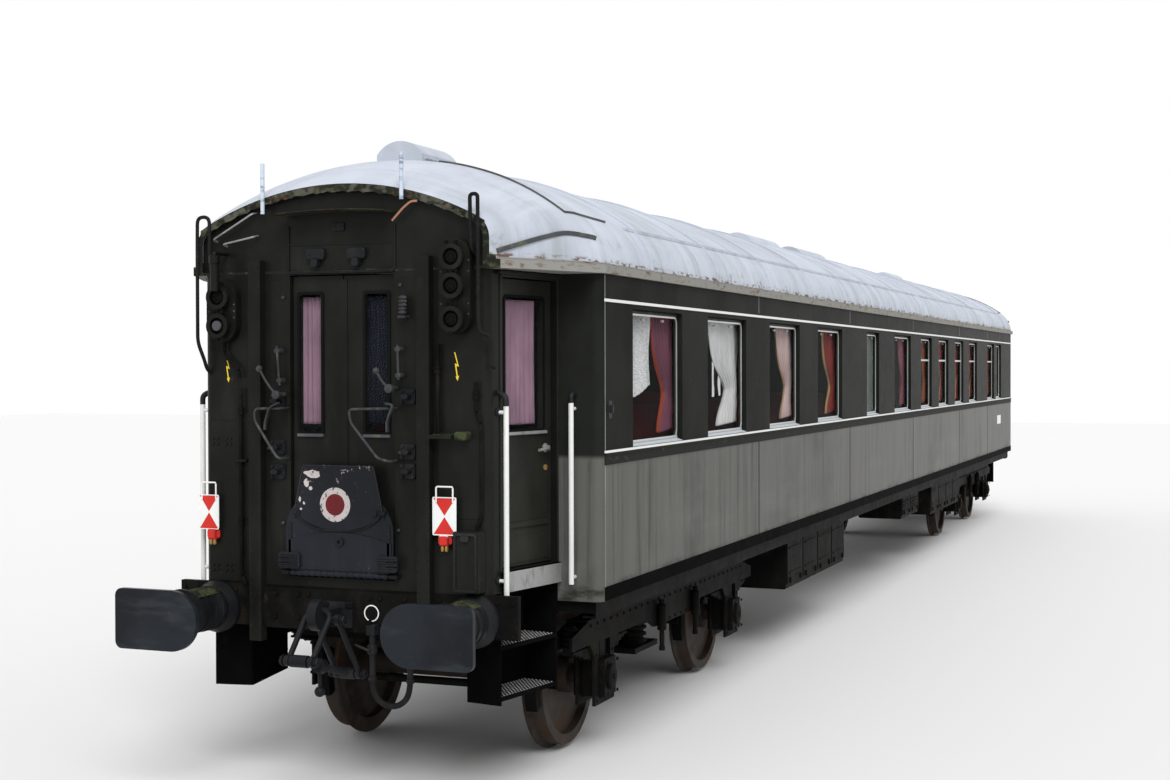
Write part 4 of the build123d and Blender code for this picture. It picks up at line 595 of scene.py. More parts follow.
ROOF_PAINT = RoofPaint("roof_grey", (0.44, 0.475, 0.54), 0.5, vary=0.08, layers=(
    Layer((0.26, 0.275, 0.29), (6.0, 0.45, 0.8), 0.47, 0.78, 0.6, None, 0.6),
    Layer((0.55, 0.59, 0.65), (0.9, 6.0, 3.0), 0.5, 0.8, 0.5, None, 0.5),
    Layer((0.12, 0.12, 0.10), (1.2, 14.0, 3.0), 0.66, 0.82, 0.4, None, 0.8),
    Layer((0.16, 0.15, 0.12), (14.0, 1.0, 1.6), 0.58, 0.8, 0.6, (3.66, 3.25), 0.8),
    Layer((0.15, 0.14, 0.06), (9.0, 5.0, 9.0), 0.58, 0.7, 0.7, (3.40, 3.20), 0.9),
    Layer((0.11, 0.05, 0.025), (13.0, 9.0, 30.0), 0.50, 0.60, 0.9, (3.236, 3.212), 0.9),
    Layer((0.24, 0.235, 0.215), 2.0, *ALWAYS, 1.0, (3.204, 3.198), 0.8),
    Layer((0.12, 0.06, 0.03), (6.0, 6.0, 24.0), 0.55, 0.68, 0.8, (3.235, 3.19), 0.9),
    Layer((0.06, 0.06, 0.045), (15.0, 15.0, 30.0), 0.56, 0.68, 0.7, (3.215, 3.19), 0.9),
), grain=25.0, bump=0.1, specular=0.12)
HOOD_PAINT = Finish("hood_green", (0.016, 0.017, 0.014), 0.6, vary=0.25, layers=(
    Layer(RUST, 14.0, 0.5, 0.7, 0.8, None, 0.85),
    Layer(MOSS, 9.0, 0.5, 0.72, 0.7, None, 0.9),
    Layer((0.10, 0.095, 0.075), 30.0, 0.6, 0.75, 0.5, None, 0.9),
), grain=70.0, bump=0.35, specular=0.06)
# Black paint, with its base colour made darker than black paint as painted shade of the shadow under the
# coach.
CHASSIS = Finish("chassis_black", (0.005, 0.005, 0.0048), 0.55, vary=0.3, layers=(
    Layer((0.024, 0.020, 0.015), (4.0, 4.0, 3.0), 0.47, 0.78, 0.6, None, 0.8),
    Layer((0.05, 0.022, 0.010), (13.0, 13.0, 10.0), 0.6, 0.76, 0.45, None, 0.85),
    Layer((0.045, 0.042, 0.034), (22.0, 22.0, 9.0), 0.62, 0.8, 0.35, None, 0.9),
), grain=70.0, bump=0.25, specular=0.03)
CAST = Finish("dark_castings", (0.009, 0.0095, 0.011), 0.42, vary=0.3, layers=(
    Layer((0.035, 0.035, 0.034), (5.0, 5.0, 2.5), 0.5, 0.8, 0.6, None, 0.65),
    Layer(RUST, (17.0, 17.0, 15.0), 0.64, 0.78, 0.4, None, 0.85),
), grain=80.0, bump=0.3, specular=0.12)
LEVER = Finish("worn_levers", (0.035, 0.036, 0.038), 0.45, vary=0.3, layers=(
    Layer((0.12, 0.12, 0.115), (25.0, 25.0, 12.0), 0.5, 0.75, 0.6, None, 0.5),
    Layer(RUST, 19.0, 0.6, 0.76, 0.5, None, 0.85),
), grain=110.0, bump=0.25, specular=0.15)
BUFFER = Finish("buffer_face", (0.009, 0.011, 0.0145), 0.36, vary=0.35, layers=(
    Layer((0.03, 0.034, 0.04), (10.0, 2.2, 8.0), 0.5, 0.72, 0.6, None, 0.45),
    Layer((0.075, 0.06, 0.045), 12.0, 0.64, 0.8, 0.45, None, 0.8),
), grain=60.0, bump=0.15, specular=0.14)
MOSSY = Finish("mossy_steel", (0.016, 0.017, 0.013), 0.75, vary=0.3, layers=(
    Layer(MOSS, 16.0, 0.42, 0.62, 0.9, None, 0.95),
    Layer((0.13, 0.125, 0.09), 34.0, 0.57, 0.7, 0.6, None, 0.95),
), grain=120.0, bump=0.5, specular=0.04)
BRIDGE = Finish("bridge_blue_black", (0.0095, 0.0105, 0.0145), 0.4, vary=0.3, layers=(
    Layer((0.026, 0.029, 0.037), (9.0, 9.0, 1.0), 0.5, 0.78, 0.5, (1.75, 1.35), 0.5),
    Layer(RUST, 11.0, 0.58, 0.70, 0.7, (1.72, 1.95), 0.9),
    Layer((0.30, 0.24, 0.24), 16.0, 0.645, 0.68, 0.85, (1.80, 1.94), 0.8),
    Layer((0.10, 0.09, 0.085), 40.0, 0.66, 0.74, 0.6, None, 0.8),
), grain=60.0, bump=0.2, specular=0.14)
WHEEL = Finish("wheel_steel", (0.04, 0.034, 0.029), 0.6, metallic=0.2, vary=0.25, layers=(
    Layer(RUST, 7.0, 0.45, 0.7, 0.6, None, 0.85),
    Layer((0.012, 0.0115, 0.011), 4.0, 0.5, 0.7, 0.7, None, 0.7),
), grain=90.0, bump=0.25)
STRIPE = Finish("line_white", (0.72, 0.73, 0.72), 0.45, vary=0.06, layers=(
    Layer((0.35, 0.35, 0.31), (9.0, 9.0, 18.0), 0.6, 0.85, 0.5, None, 0.6),
), grain=60.0, bump=0.06)
MOULDING = Finish("moulding_lines", (0.72, 0.73, 0.72), 0.45, vary=0.06, layers=(
    Layer((0.014, 0.0145, 0.0125), 2.0, *ALWAYS, 1.0, (2.0365, 2.0345), 0.5),
    Layer((0.012, 0.0125, 0.011), 2.0, *ALWAYS, 1.0, (2.0495, 2.0515), 0.5),
    Layer((0.72, 0.73, 0.72), 2.0, *ALWAYS, 1.0, (2.955, 2.96), 0.5),
    Layer((0.35, 0.35, 0.31), (9.0, 9.0, 18.0), 0.6, 0.85, 0.4, None, 0.6),
), grain=60.0, bump=0.06, specular=0.02)
FRAME = Finish("window_frame", (0.030, 0.031, 0.028), 0.45, metallic=0.1, vary=0.2, layers=(
    Layer((0.12, 0.12, 0.112), 9.0, 0.5, 0.75, 0.5, (2.86, 2.91), 0.5),
    Layer((0.50, 0.53, 0.56), 2.0, *ALWAYS, 1.0, (2.091, 2.087), 0.4),
    Layer((0.16, 0.16, 0.145), 16.0, 0.6, 0.8, 0.5, (2.091, 2.087), 0.6),
), grain=110.0, bump=0.06, specular=0.03)
TAIL = Finish("tail_white", (0.70, 0.71, 0.70), 0.45, vary=0.06, layers=(
    Layer((0.42, 0.03, 0.022), 2.0, *ALWAYS, 1.0, (1.584, 1.570), 0.5),
), grain=60.0, bump=0.06)
ALUMINIUM = Finish("window_metal", (0.56, 0.58, 0.58), 0.38, metallic=0.6, vary=0.08, layers=(
    Layer((0.16, 0.16, 0.145), 16.0, 0.6, 0.8, 0.5, None, 0.6),
), grain=110.0, bump=0.06)
STAINLESS = Finish("sill_metal", (0.30, 0.305, 0.30), 0.42, metallic=0.5, vary=0.15, layers=(
    Layer((0.07, 0.068, 0.06), (14.0, 14.0, 5.0), 0.5, 0.75, 0.7, None, 0.7),
), grain=90.0, bump=0.1)
RAIL_WHITE = Finish("rail_white", (0.62, 0.63, 0.61), 0.4, vary=0.07, layers=(
    Layer((0.24, 0.23, 0.19), (25.0, 25.0, 6.0), 0.57, 0.8, 0.7, None, 0.6),
), grain=60.0, bump=0.06)
BLUE_WHITE = Finish("rod_blue_white", (0.50, 0.56, 0.64), 0.45, vary=0.12, layers=(
    Layer((0.10, 0.14, 0.24), (5.0, 5.0, 22.0), 0.5, 0.6, 0.8, None, 0.6),
), grain=60.0, bump=0.06)
RED = Finish("signal_red", (0.50, 0.03, 0.022), 0.4, vary=0.12, layers=(
    Layer((0.2, 0.03, 0.02), 20.0, 0.6, 0.8, 0.5, None, 0.6),
), grain=60.0, bump=0.05)
DARK_RED = Finish("roundel_red", (0.12, 0.016, 0.018), 0.5, vary=0.2, layers=(
    Layer((0.25, 0.2, 0.18), 30.0, 0.66, 0.78, 0.6, None, 0.8),
), grain=60.0, bump=0.1)
CHIPPED = Finish("chipped_white", (0.44, 0.40, 0.39), 0.55, vary=0.12, layers=(
    Layer((0.02, 0.022, 0.03), 34.0, 0.56, 0.62, 0.9, None, 0.5),
    Layer(RUST, 15.0, 0.6, 0.7, 0.7, None, 0.8),
), grain=60.0, bump=0.1)
YELLOW = Finish("mark_yellow", (0.70, 0.52, 0.04), 0.5, vary=0.1, layers=(
    Layer((0.2, 0.16, 0.04), 40.0, 0.6, 0.8, 0.4, None, 0.6),
))
BRASS = Finish("old_brass", (0.42, 0.26, 0.09), 0.38, metallic=0.6, vary=0.2, layers=(
    Layer((0.09, 0.06, 0.03), 40.0, 0.55, 0.75, 0.6, None, 0.6),
))
COPPER = Finish("copper_link", (0.30, 0.15, 0.09), 0.5, metallic=0.3, vary=0.2, layers=(
    Layer((0.1, 0.16, 0.1), 60.0, 0.6, 0.75, 0.6, None, 0.8),
))
RUBBER = Finish("hose_rubber", (0.012, 0.012, 0.013), 0.6, vary=0.25, layers=(
    Layer((0.05, 0.048, 0.042), 30.0, 0.55, 0.8, 0.5, None, 0.8),
), grain=160.0, bump=0.25, specular=0.06)
SEAL = Finish("black_rubber", (0.006, 0.006, 0.006), 0.6, vary=0.2, layers=(
    Layer((0.03, 0.03, 0.027), 30.0, 0.6, 0.8, 0.4, None, 0.8),
), specular=0.03)
VARNISH = Finish("varnished_wood", (0.10, 0.04, 0.018), 0.38, vary=0.25, layers=(
    Layer((0.045, 0.017, 0.009), (2.0, 2.0, 45.0), 0.45, 0.65, 0.7, None, None),
), grain=50.0, bump=0.05, specular=0.2)
DARK_WOOD = Finish("dark_interior", (0.018, 0.014, 0.012), 0.5, vary=0.25, layers=(
    Layer((0.008, 0.006, 0.005), (2.0, 2.0, 45.0), 0.45, 0.65, 0.7, None, None),
), grain=50.0, bump=0.05, specular=0.1)
LINO = Finish("floor_lino", (0.06, 0.04, 0.028), 0.5, vary=0.2, layers=(
    Layer((0.11, 0.09, 0.07), 8.0, 0.5, 0.75, 0.5, None, 0.6),
), grain=60.0, bump=0.05)
STRIP_GREY = Finish("strip_grey", (0.075, 0.078, 0.085), 0.6, vary=0.2, layers=(
    Layer((0.13, 0.13, 0.07), 9.0, 0.52, 0.7, 0.7, None, 0.9),
    Layer((0.11, 0.05, 0.025), 15.0, 0.6, 0.74, 0.6, None, 0.9),
), grain=60.0, bump=0.2, specular=0.06)
ROOF_EDGE = Finish("roof_edge_moss", (0.018, 0.018, 0.014), 0.75, vary=0.3, layers=(
    Layer((0.105, 0.105, 0.085), (7.0, 14.0, 20.0), 0.45, 0.62, 0.75, None, 0.9),
    Layer(MOSS, (11.0, 11.0, 20.0), 0.5, 0.68, 0.8, None, 0.95),
    Layer((0.11, 0.05, 0.02), (9.0, 9.0, 14.0), 0.58, 0.7, 0.8, None, 0.9),
), grain=110.0, bump=0.5, specular=0.04)
# Black paint of the bottom band, seams and steps, its colour made darker than black paint as painted shade:
# the band and the steps are seen in shadow.
BAND_BLACK_AND_SHADE = Finish("band_black_and_shade", (0.0032, 0.0032, 0.0034), 0.5, vary=0.25, layers=(
    Layer((0.02, 0.019, 0.016), (5.0, 5.0, 4.0), 0.6, 0.8, 0.4, None, 0.7),
), grain=60.0, bump=0.1, specular=0.003)


@dataclass(frozen=True)
class Glass(Finish):
    """Clear or frosted pane; coat is here the strength of its dust."""

    opacity: float = 0.2

    def wire(self, kit: NodeKit) -> None:
        """A glossy surface whose cover grows with dust."""
        dust = kit.maths("MULTIPLY", kit.ramp(kit.noise((5.0, 5.0, 3.0), 6.0), 0.4, 0.8), self.coat)
        bsdf = kit.add("ShaderNodeBsdfPrincipled")
        kit.feed(bsdf, "Base Color", (*self.colour, 1.0))
        bsdf.inputs["Roughness"].default_value = self.roughness
        bsdf.inputs["Specular IOR Level"].default_value = self.specular
        kit.feed(bsdf, "Alpha", kit.maths("ADD", dust, self.opacity, clamp=True))
        kit.link(bsdf.outputs[0], kit.out.inputs["Surface"])


PANE = Glass("window_glass", (0.02, 0.023, 0.024), 0.05, coat=0.08, specular=0.012, opacity=0.12)
FROSTED = Glass("frosted_glass", (0.16, 0.185, 0.17), 0.4, coat=0.06, specular=0.02, opacity=0.94)


@dataclass(frozen=True)
class Cloth(Finish):
    """Woven cloth on its own UV map: fine weave bump, a band of trim along the inner edge.

    u runs across each curtain from its outer edge (0) to its inner edge (1), v from top to foot.
    """

    trim: Triple | None = None
    lace: bool = False

    def wire(self, kit: NodeKit) -> None:
        """Weave from two crossed sines, trim where u passes 0.96."""
        colour: object = self.base(kit)
        split = kit.add("ShaderNodeSeparateXYZ")
        kit.link(kit.place.outputs["UV"], split.inputs[0])
        u, v = split.outputs["X"], split.outputs["Y"]
        soiled = kit.ramp(kit.noise((6.0, 6.0, 2.0), 5.0, 8.0), 0.45, 0.75)
        colour = kit.mix(kit.maths("MULTIPLY", soiled, 0.35), colour, tuple(0.6 * c for c in self.colour))
        if self.trim is not None:
            edge = kit.ramp(u, 0.95, 0.965)
            colour = kit.mix(edge, colour, self.trim)
        weave = kit.maths("ADD", kit.maths("SINE", kit.maths("MULTIPLY", u, 900.0)),
                          kit.maths("SINE", kit.maths("MULTIPLY", v, 1100.0)))
        bsdf = kit.add("ShaderNodeBsdfPrincipled")
        kit.feed(bsdf, "Base Color", colour)
        bsdf.inputs["Roughness"].default_value = 0.9
        bsdf.inputs["Specular IOR Level"].default_value = 0.03
        if self.lace:
            cells = kit.add("ShaderNodeTexVoronoi", feature="DISTANCE_TO_EDGE")
            cells.inputs["Scale"].default_value = 60.0
            kit.link(kit.place.outputs["UV"], cells.inputs["Vector"])
            kit.feed(bsdf, "Alpha", kit.maths("ADD", kit.ramp(cells.outputs["Distance"], 0.18, 0.05), 0.55,
                                              clamp=True))
        kit.link(kit.bump(weave, 0.15, 0.0006), bsdf.inputs["Normal"])
        kit.link(bsdf.outputs[0], kit.out.inputs["Surface"])


WHITE_CLOTH = Cloth("curtain_white", (0.80, 0.80, 0.81), vary=0.06)
LACE = Cloth("curtain_lace", (0.84, 0.85, 0.86), vary=0.05, lace=True)
MAUVE = Cloth("curtain_mauve", (0.22, 0.08, 0.12), vary=0.15, trim=(0.34, 0.06, 0.03))
PINK = Cloth("curtain_pink", (0.38, 0.235, 0.315), vary=0.14)
# Dark navy sheet hung behind the glass of two gangway leaves: painted shade of the unlit space seen through
# them.
NAVY = Finish("navy_shade_sheet", (0.010, 0.012, 0.020), 0.9, vary=0.3, grain=40.0, bump=0.05, specular=0.01)
ROSE = Cloth("curtain_rose", (0.62, 0.47, 0.46), vary=0.1, trim=(0.45, 0.30, 0.12))
CRIMSON = Cloth("curtain_red", (0.22, 0.03, 0.028), vary=0.2, trim=(0.36, 0.26, 0.1))
ORANGE = Cloth("curtain_orange", (0.30, 0.09, 0.04), vary=0.15)
TABLE_LINEN = Cloth("table_linen", (0.46, 0.42, 0.36), vary=0.06)
UPHOLSTERY = Cloth("seat_cloth", (0.16, 0.022, 0.02), vary=0.2)


def outward(mesh: bpy.types.Mesh) -> None:
    """Turns the faces of every closed island outwards."""
    work = bmesh.new()
    work.from_mesh(mesh)
    bmesh.ops.recalc_face_normals(work, faces=work.faces)
    work.to_mesh(mesh)
    work.free()


def piece(shape: Shape, name: str, finish: Finish, body: str = "coach",
          smooth: bool = False, solid: float = 0.0) -> bpy.types.Object:
    """Turns a shape into an object that rides on a body.

    Args:
        shape: vertices, faces and UV places.
        name: the object's name.
        finish: its material.
        body: the body it moves with.
        smooth: True for smooth shading by angle.
        solid: thickness given to an open surface.

    Returns:
        The object, at the origin.
    """
    mesh = bpy.data.meshes.new(name)
    totals = np.concatenate([np.full(len(f), f.shape[1]) for f in shape.faces])
    corners = np.concatenate([f.reshape(-1) for f in shape.faces]).astype(np.int32)
    mesh.vertices.add(len(shape.verts))
    mesh.vertices.foreach_set("co", shape.verts.astype(np.float32).reshape(-1))
    mesh.loops.add(len(corners))
    mesh.loops.foreach_set("vertex_index", corners)
    mesh.polygons.add(len(totals))
    starts = np.concatenate([[0], np.cumsum(totals)[:-1]]).astype(np.int32)
    mesh.polygons.foreach_set("loop_start", starts)
    mesh.polygons.foreach_set("loop_total", totals.astype(np.int32))
    mesh.polygons.foreach_set("use_smooth", np.full(len(totals), smooth))
    if shape.uv is not None:
        layer = mesh.uv_layers.new(name="UVMap")
        layer.data.foreach_set("uv", shape.uv[corners].astype(np.float32).reshape(-1))
    mesh.update(calc_edges=True)
    outward(mesh)
    obj = bpy.data.objects.new(name, mesh)
    bpy.context.scene.collection.objects.link(obj)
    mesh.materials.append(finish.make())
    if smooth:
        mesh.set_sharp_from_angle(angle=math.radians(38))
    if solid:
        thick = obj.modifiers.new("Thickness", "SOLIDIFY")
        thick.thickness = solid
        thick.offset = 0.0
    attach(obj, body)
    log.info("%s: %d faces on %s", name, len(totals), body)
    return obj


EndRow = tuple[str, Shape, Finish, str | None, bool]


def at_ends(rows: Iterable[EndRow], body: str = "coach") -> None:
    """Pieces drawn in the far end's place, put at both ends.

    Args:
        rows: name, shape, finish, slot and smooth shading of each piece.
        body: the body they move with, where {} stands for the end's name.
    """
    for name, shape, finish, slot, smooth in rows:
        for end in End:
            tag = end.name.lower()
            piece(shape.turned(end), f"{name}_{tag}", finish, body.format(tag), smooth)


def at_seen_ends(rows: Iterable[EndRow], body: str = "coach") -> None:
    """Pieces drawn as an end is seen from outside, put at both ends."""
    at_ends([(name, seen(shape), *look) for name, shape, *look in rows], body)


def dress(node: str, finish: Finish) -> None:
    """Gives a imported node's object a finish in every material slot."""
    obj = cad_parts[node]
    for index in range(max(1, len(obj.material_slots))):
        if obj.material_slots:
            obj.material_slots[index].material = finish.make()
        else:
            obj.data.materials.append(finish.make())


@dataclass(frozen=True)
class Camera:
    """The photo's camera: where it stands and how it is turned, in metres and degrees."""

    place: Triple = (-19.341, -4.977, 2.551)
    yaw: float = 21.449
    pitch: float = -0.726
    roll: float = -0.134
    lens: float = 50.82

    def build(self) -> bpy.types.Object:
        """Makes it the scene's camera.

        Its right and up axes are the level ones turned by the roll; it looks along minus Z.
        """
        yaw, pitch, roll = (math.radians(a) for a in (self.yaw, self.pitch, self.roll))
        ahead = np.array([math.cos(yaw) * math.cos(pitch), math.sin(yaw) * math.cos(pitch), math.sin(pitch)])
        level = np.cross(ahead, AXIS_Z)
        level /= np.linalg.norm(level)
        above = np.cross(level, ahead)
        right = math.cos(roll) * level + math.sin(roll) * above
        up = -math.sin(roll) * level + math.cos(roll) * above
        data = bpy.data.cameras.new("photo_camera")
        data.lens = self.lens
        data.sensor_width = 36.0
        data.clip_end = 200.0
        camera = bpy.data.objects.new("photo_camera", data)
        bpy.context.scene.collection.objects.link(camera)
        turn = Matrix.Identity(4)
        for column, axis in enumerate((right, up, -ahead)):
            for line in range(3):
                turn[line][column] = axis[line]
            turn[column][3] = self.place[column]
        camera.matrix_world = turn
        bpy.context.scene.camera = camera
        return camera


@dataclass(frozen=True)
class Studio:
    """Soft studio: a pale floor, one broad light over the near left and an even surround."""

    floor_colour: Triple = (0.72, 0.72, 0.72)
    surround: float = 0.75
    sun: float = 2.6
    sun_angle: float = 0.6

    def build(self) -> None:
        """Floor, light and a world that looks white to the camera."""
        scene = bpy.context.scene
        scene.view_settings.view_transform = "Standard"
        mesh = bpy.data.meshes.new("studio_floor")
        reach = 60.0
        mesh.from_pydata([(-reach, -reach, 0), (reach, -reach, 0), (reach, reach, 0), (-reach, reach, 0)],
                         [], [(0, 1, 2, 3)])
        floor = bpy.data.objects.new("studio_floor", mesh)
        scene.collection.objects.link(floor)
        material = bpy.data.materials.new("studio_floor")
        kit = NodeKit(material)
        bsdf = kit.add("ShaderNodeBsdfPrincipled")
        bsdf.inputs["Base Color"].default_value = (*self.floor_colour, 1.0)
        bsdf.inputs["Roughness"].default_value = 0.9
        kit.link(bsdf.outputs[0], kit.out.inputs["Surface"])
        mesh.materials.append(material)
        light = bpy.data.lights.new("key_light", "SUN")
        light.energy = self.sun
        light.angle = self.sun_angle
        key = bpy.data.objects.new("key_light", light)
        key.rotation_euler = (math.radians(48), 0.0, math.radians(-62))
        scene.collection.objects.link(key)
        self.world(scene)

    def world(self, scene: bpy.types.Scene) -> None:
        """Surround at its own strength for diffuse light, plain white where the camera looks."""
        world = bpy.data.worlds.new("studio")
        scene.world = world
        world.use_nodes = True
        tree = world.node_tree
        tree.nodes.clear()
        path = tree.nodes.new("ShaderNodeLightPath")
        both = tree.nodes.new("ShaderNodeMath")
        both.operation = "MAXIMUM"
        tree.links.new(path.outputs["Is Camera Ray"], both.inputs[0])
        shine = tree.nodes.new("ShaderNodeMath")
        shine.operation = "MAXIMUM"
        tree.links.new(path.outputs["Is Transmission Ray"], both.inputs[1])
        tree.links.new(both.outputs[0], shine.inputs[0])
        tree.links.new(path.outputs["Is Glossy Ray"], shine.inputs[1])
        soft, white = (tree.nodes.new("ShaderNodeBackground") for _ in range(2))
        soft.inputs["Strength"].default_value = self.surround
        soft.inputs["Color"].default_value = (1.0, 1.0, 1.0, 1.0)
        white.inputs["Strength"].default_value = 1.0
        white.inputs["Color"].default_value = (1.0, 1.0, 1.0, 1.0)
        pick = tree.nodes.new("ShaderNodeMixShader")
        tree.links.new(shine.outputs[0], pick.inputs[0])
        tree.links.new(soft.outputs[0], pick.inputs[1])
        tree.links.new(white.outputs[0], pick.inputs[2])
        out = tree.nodes.new("ShaderNodeOutputWorld")
        tree.links.new(pick.outputs[0], out.inputs["Surface"])


@dataclass
class BrakeHose:
    """Hanging brake hose of one end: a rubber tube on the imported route."""

    end: End
    diameter: float = 0.036
    top: float = 0.7478
    centre: float = 0.696
    bend: float = 0.125
    inner: float = 0.245
    run: float = 0.10355

    def route(self) -> np.ndarray:
        """Route points at this end, from the brake pipe outlet round to the dummy coupling."""
        half, y, z = self.run / 2, self.inner, self.centre
        flat = [(y, self.top), (y, z - half), (y + self.bend - half, z - self.bend),
                (y + self.bend + half, z - self.bend), (y + 2 * self.bend, z - half),
                (y + 2 * self.bend, self.top)]
        points = np.array([(10.74, a, b) for a, b in flat])
        points[:, :2] *= self.end.value
        return points

    def build(self) -> None:
        """The hose as a curve, with the imported hose hidden."""
        name = f"brake_hose_{self.end.name.lower()}"
        points = self.route()
        curve = bpy.data.curves.new(f"{name}_tube", "CURVE")
        curve.dimensions = "3D"
        spline = curve.splines.new("NURBS")
        spline.points.add(len(points) - 1)
        spline.points.foreach_set("co", np.c_[points, np.ones(len(points))].ravel())
        spline.order_u = 3
        spline.use_endpoint_u = True
        spline.resolution_u = 12
        curve.bevel_depth = self.diameter / 2
        curve.bevel_resolution = 5
        curve.use_fill_caps = True
        tube = bpy.data.objects.new(f"{name}_tube", curve)
        bpy.context.scene.collection.objects.link(tube)
        curve.materials.append(RUBBER.make())
        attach(tube, "coach")
        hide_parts(name)


def side_face(side: int, y: float) -> Face:
    """Drawing plane of one side, y from the coach's middle: u along the coach, v up, w outward."""
    return Face((0.0, side * y, 0.0), (float(-side), 0.0, 0.0))


@dataclass
class SideDress:
    """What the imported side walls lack: seams, bottom band, rivets, corner line and bare plates."""

    side_y: float = 1.390
    bottom: float = 1.125
    straight: float = 9.885
    seams: tuple[float, ...] = (-6.353, -2.935, 0.577, 4.161, 7.0)

    def build(self) -> None:
        """All pieces of both sides."""
        for side, tag in SIDES:
            face = side_face(side, self.side_y)
            low, high = ([bar(wide, tall, 0.0015, (-side * x, z, 0.0), 0.0005) for x in self.seams]
                         for wide, tall, z in ((0.011, 0.78, 1.60), (0.007, 0.13, 3.065)))
            piece(face.lift(join(low)), f"side_seams_{tag}", BAND_BLACK_AND_SHADE)
            piece(face.lift(join(high)), f"eaves_seams_{tag}", STAINLESS)
            # The bottom band is black paint, darkened further as painted shade because it is seen in shadow.
            band = bar(2 * self.straight, 0.085, 0.006, (0.0, self.bottom + 0.044, 0.0), 0.002)
            piece(face.lift(band), f"bottom_band_{tag}", BAND_BLACK_AND_SHADE)
            line = join([bar(0.006, 1.93, 0.0015, (-side * x, 2.165, 0.0), 0.0005)
                         for x in (-9.875, 9.875)])
            piece(face.lift(line), f"corner_lines_{tag}", STAINLESS)
            heads = rivets([(x, self.bottom + 0.1) for x in row(-9.8, 9.8, 246)], 0.0055, 0.0025, 8)
            piece(face.lift(heads), f"sole_rivets_{tag}", PAINT, smooth=True)
            piece(face.lift(bar(0.42, 0.14, 0.003, (8.35, 1.71, 0.0), 0.001)), f"bare_plate_{tag}", STRIPE)
            hook = join([bar(0.06, 0.11, 0.004, (-side * -9.79, 2.30, 0.0), 0.002),
                         bar(0.022, 0.05, 0.02, (-side * -9.79, 2.305, 0.004), 0.004)])
            piece(face.lift(hook), f"side_hooks_{tag}", CAST)


@dataclass
class WindowDress:
    """Window detail: rubbers, inner beads, divider bars, frosted panes and catches."""

    mids: tuple[float, ...] = (-8.86, -7.235, -5.505, -3.795, -1.79, -0.08, 1.5, 2.82, 4.15, 5.475, 7.37,
                               8.29)
    widths: tuple[float, ...] = (1.02, 1.02, 1.02, 1.02, 0.64, 1.02, 0.78, 0.78, 0.78, 0.78, 0.78, 0.64)
    bottom: float = 2.052
    height: float = 0.883
    frame_y: float = 1.354
    rail: float = 0.034
    divider: float = 0.60

    def bead(self, mid: float, width: float) -> Shape:
        """Raised bead round one opening: the ring between two rounded rectangles."""
        middle = self.bottom + self.height / 2
        w, h = width - 2 * self.rail, self.height - 2 * self.rail
        outer = rounded_rect(w + 0.018, h + 0.018, 0.052, 8) + (mid, middle)
        inner = rounded_rect(w - 0.006, h - 0.006, 0.042, 8) + (mid, middle)
        return ring_band(outer, inner, 0.006, 0.0)

    def reveal(self, mid: float, width: float) -> Shape:
        """Black rubber round the frame's rim, between it and the wall."""
        middle = self.bottom + self.height / 2
        outer = rounded_rect(width - 0.002, self.height - 0.002, 0.006, 3) + (mid, middle)
        inner = rounded_rect(width - 0.016, self.height - 0.016, 0.006, 3) + (mid, middle)
        return ring_band(outer, inner, 0.004, 0.0)

    def build(self) -> None:
        """Beads, rubbers, divider bars and latches on both sides."""
        for side, tag in SIDES:
            face = side_face(side, self.frame_y)
            pairs = [(-side * m, w) for m, w in zip(self.mids, self.widths)]
            piece(face.lift(join([self.bead(m, w) for m, w in pairs])), f"window_beads_{tag}",
                  ALUMINIUM)
            piece(face.lift(join([self.reveal(m, w) for m, w in pairs])), f"window_rubbers_{tag}", SEAL)
            level = self.bottom + self.divider
            bars = [bar(w - 2 * self.rail, 0.022, 0.014, (m, level, -0.014), 0.002)
                    for m, w in pairs if 0.7 < w < 1.0]
            piece(face.lift(join(bars)), f"window_dividers_{tag}", ALUMINIUM)
            tall = self.height - 2 * self.rail - 0.004
            milky = [bar(w - 2 * self.rail - 0.004, tall, 0.002, (m, self.bottom + self.height / 2, -0.0268),
                         0.0005)
                     for m, w in pairs if w < 0.7]
            piece(face.lift(join(milky)), f"frosted_panes_{tag}", FROSTED)
            catches = [bar(0.05, 0.016, 0.012, (m + s * w * 0.2, self.bottom + self.height - 0.06, -0.014),
                           0.003)
                       for m, w in pairs for s in (-1, 1)]
            piece(face.lift(join(catches)), f"window_catches_{tag}", STAINLESS)


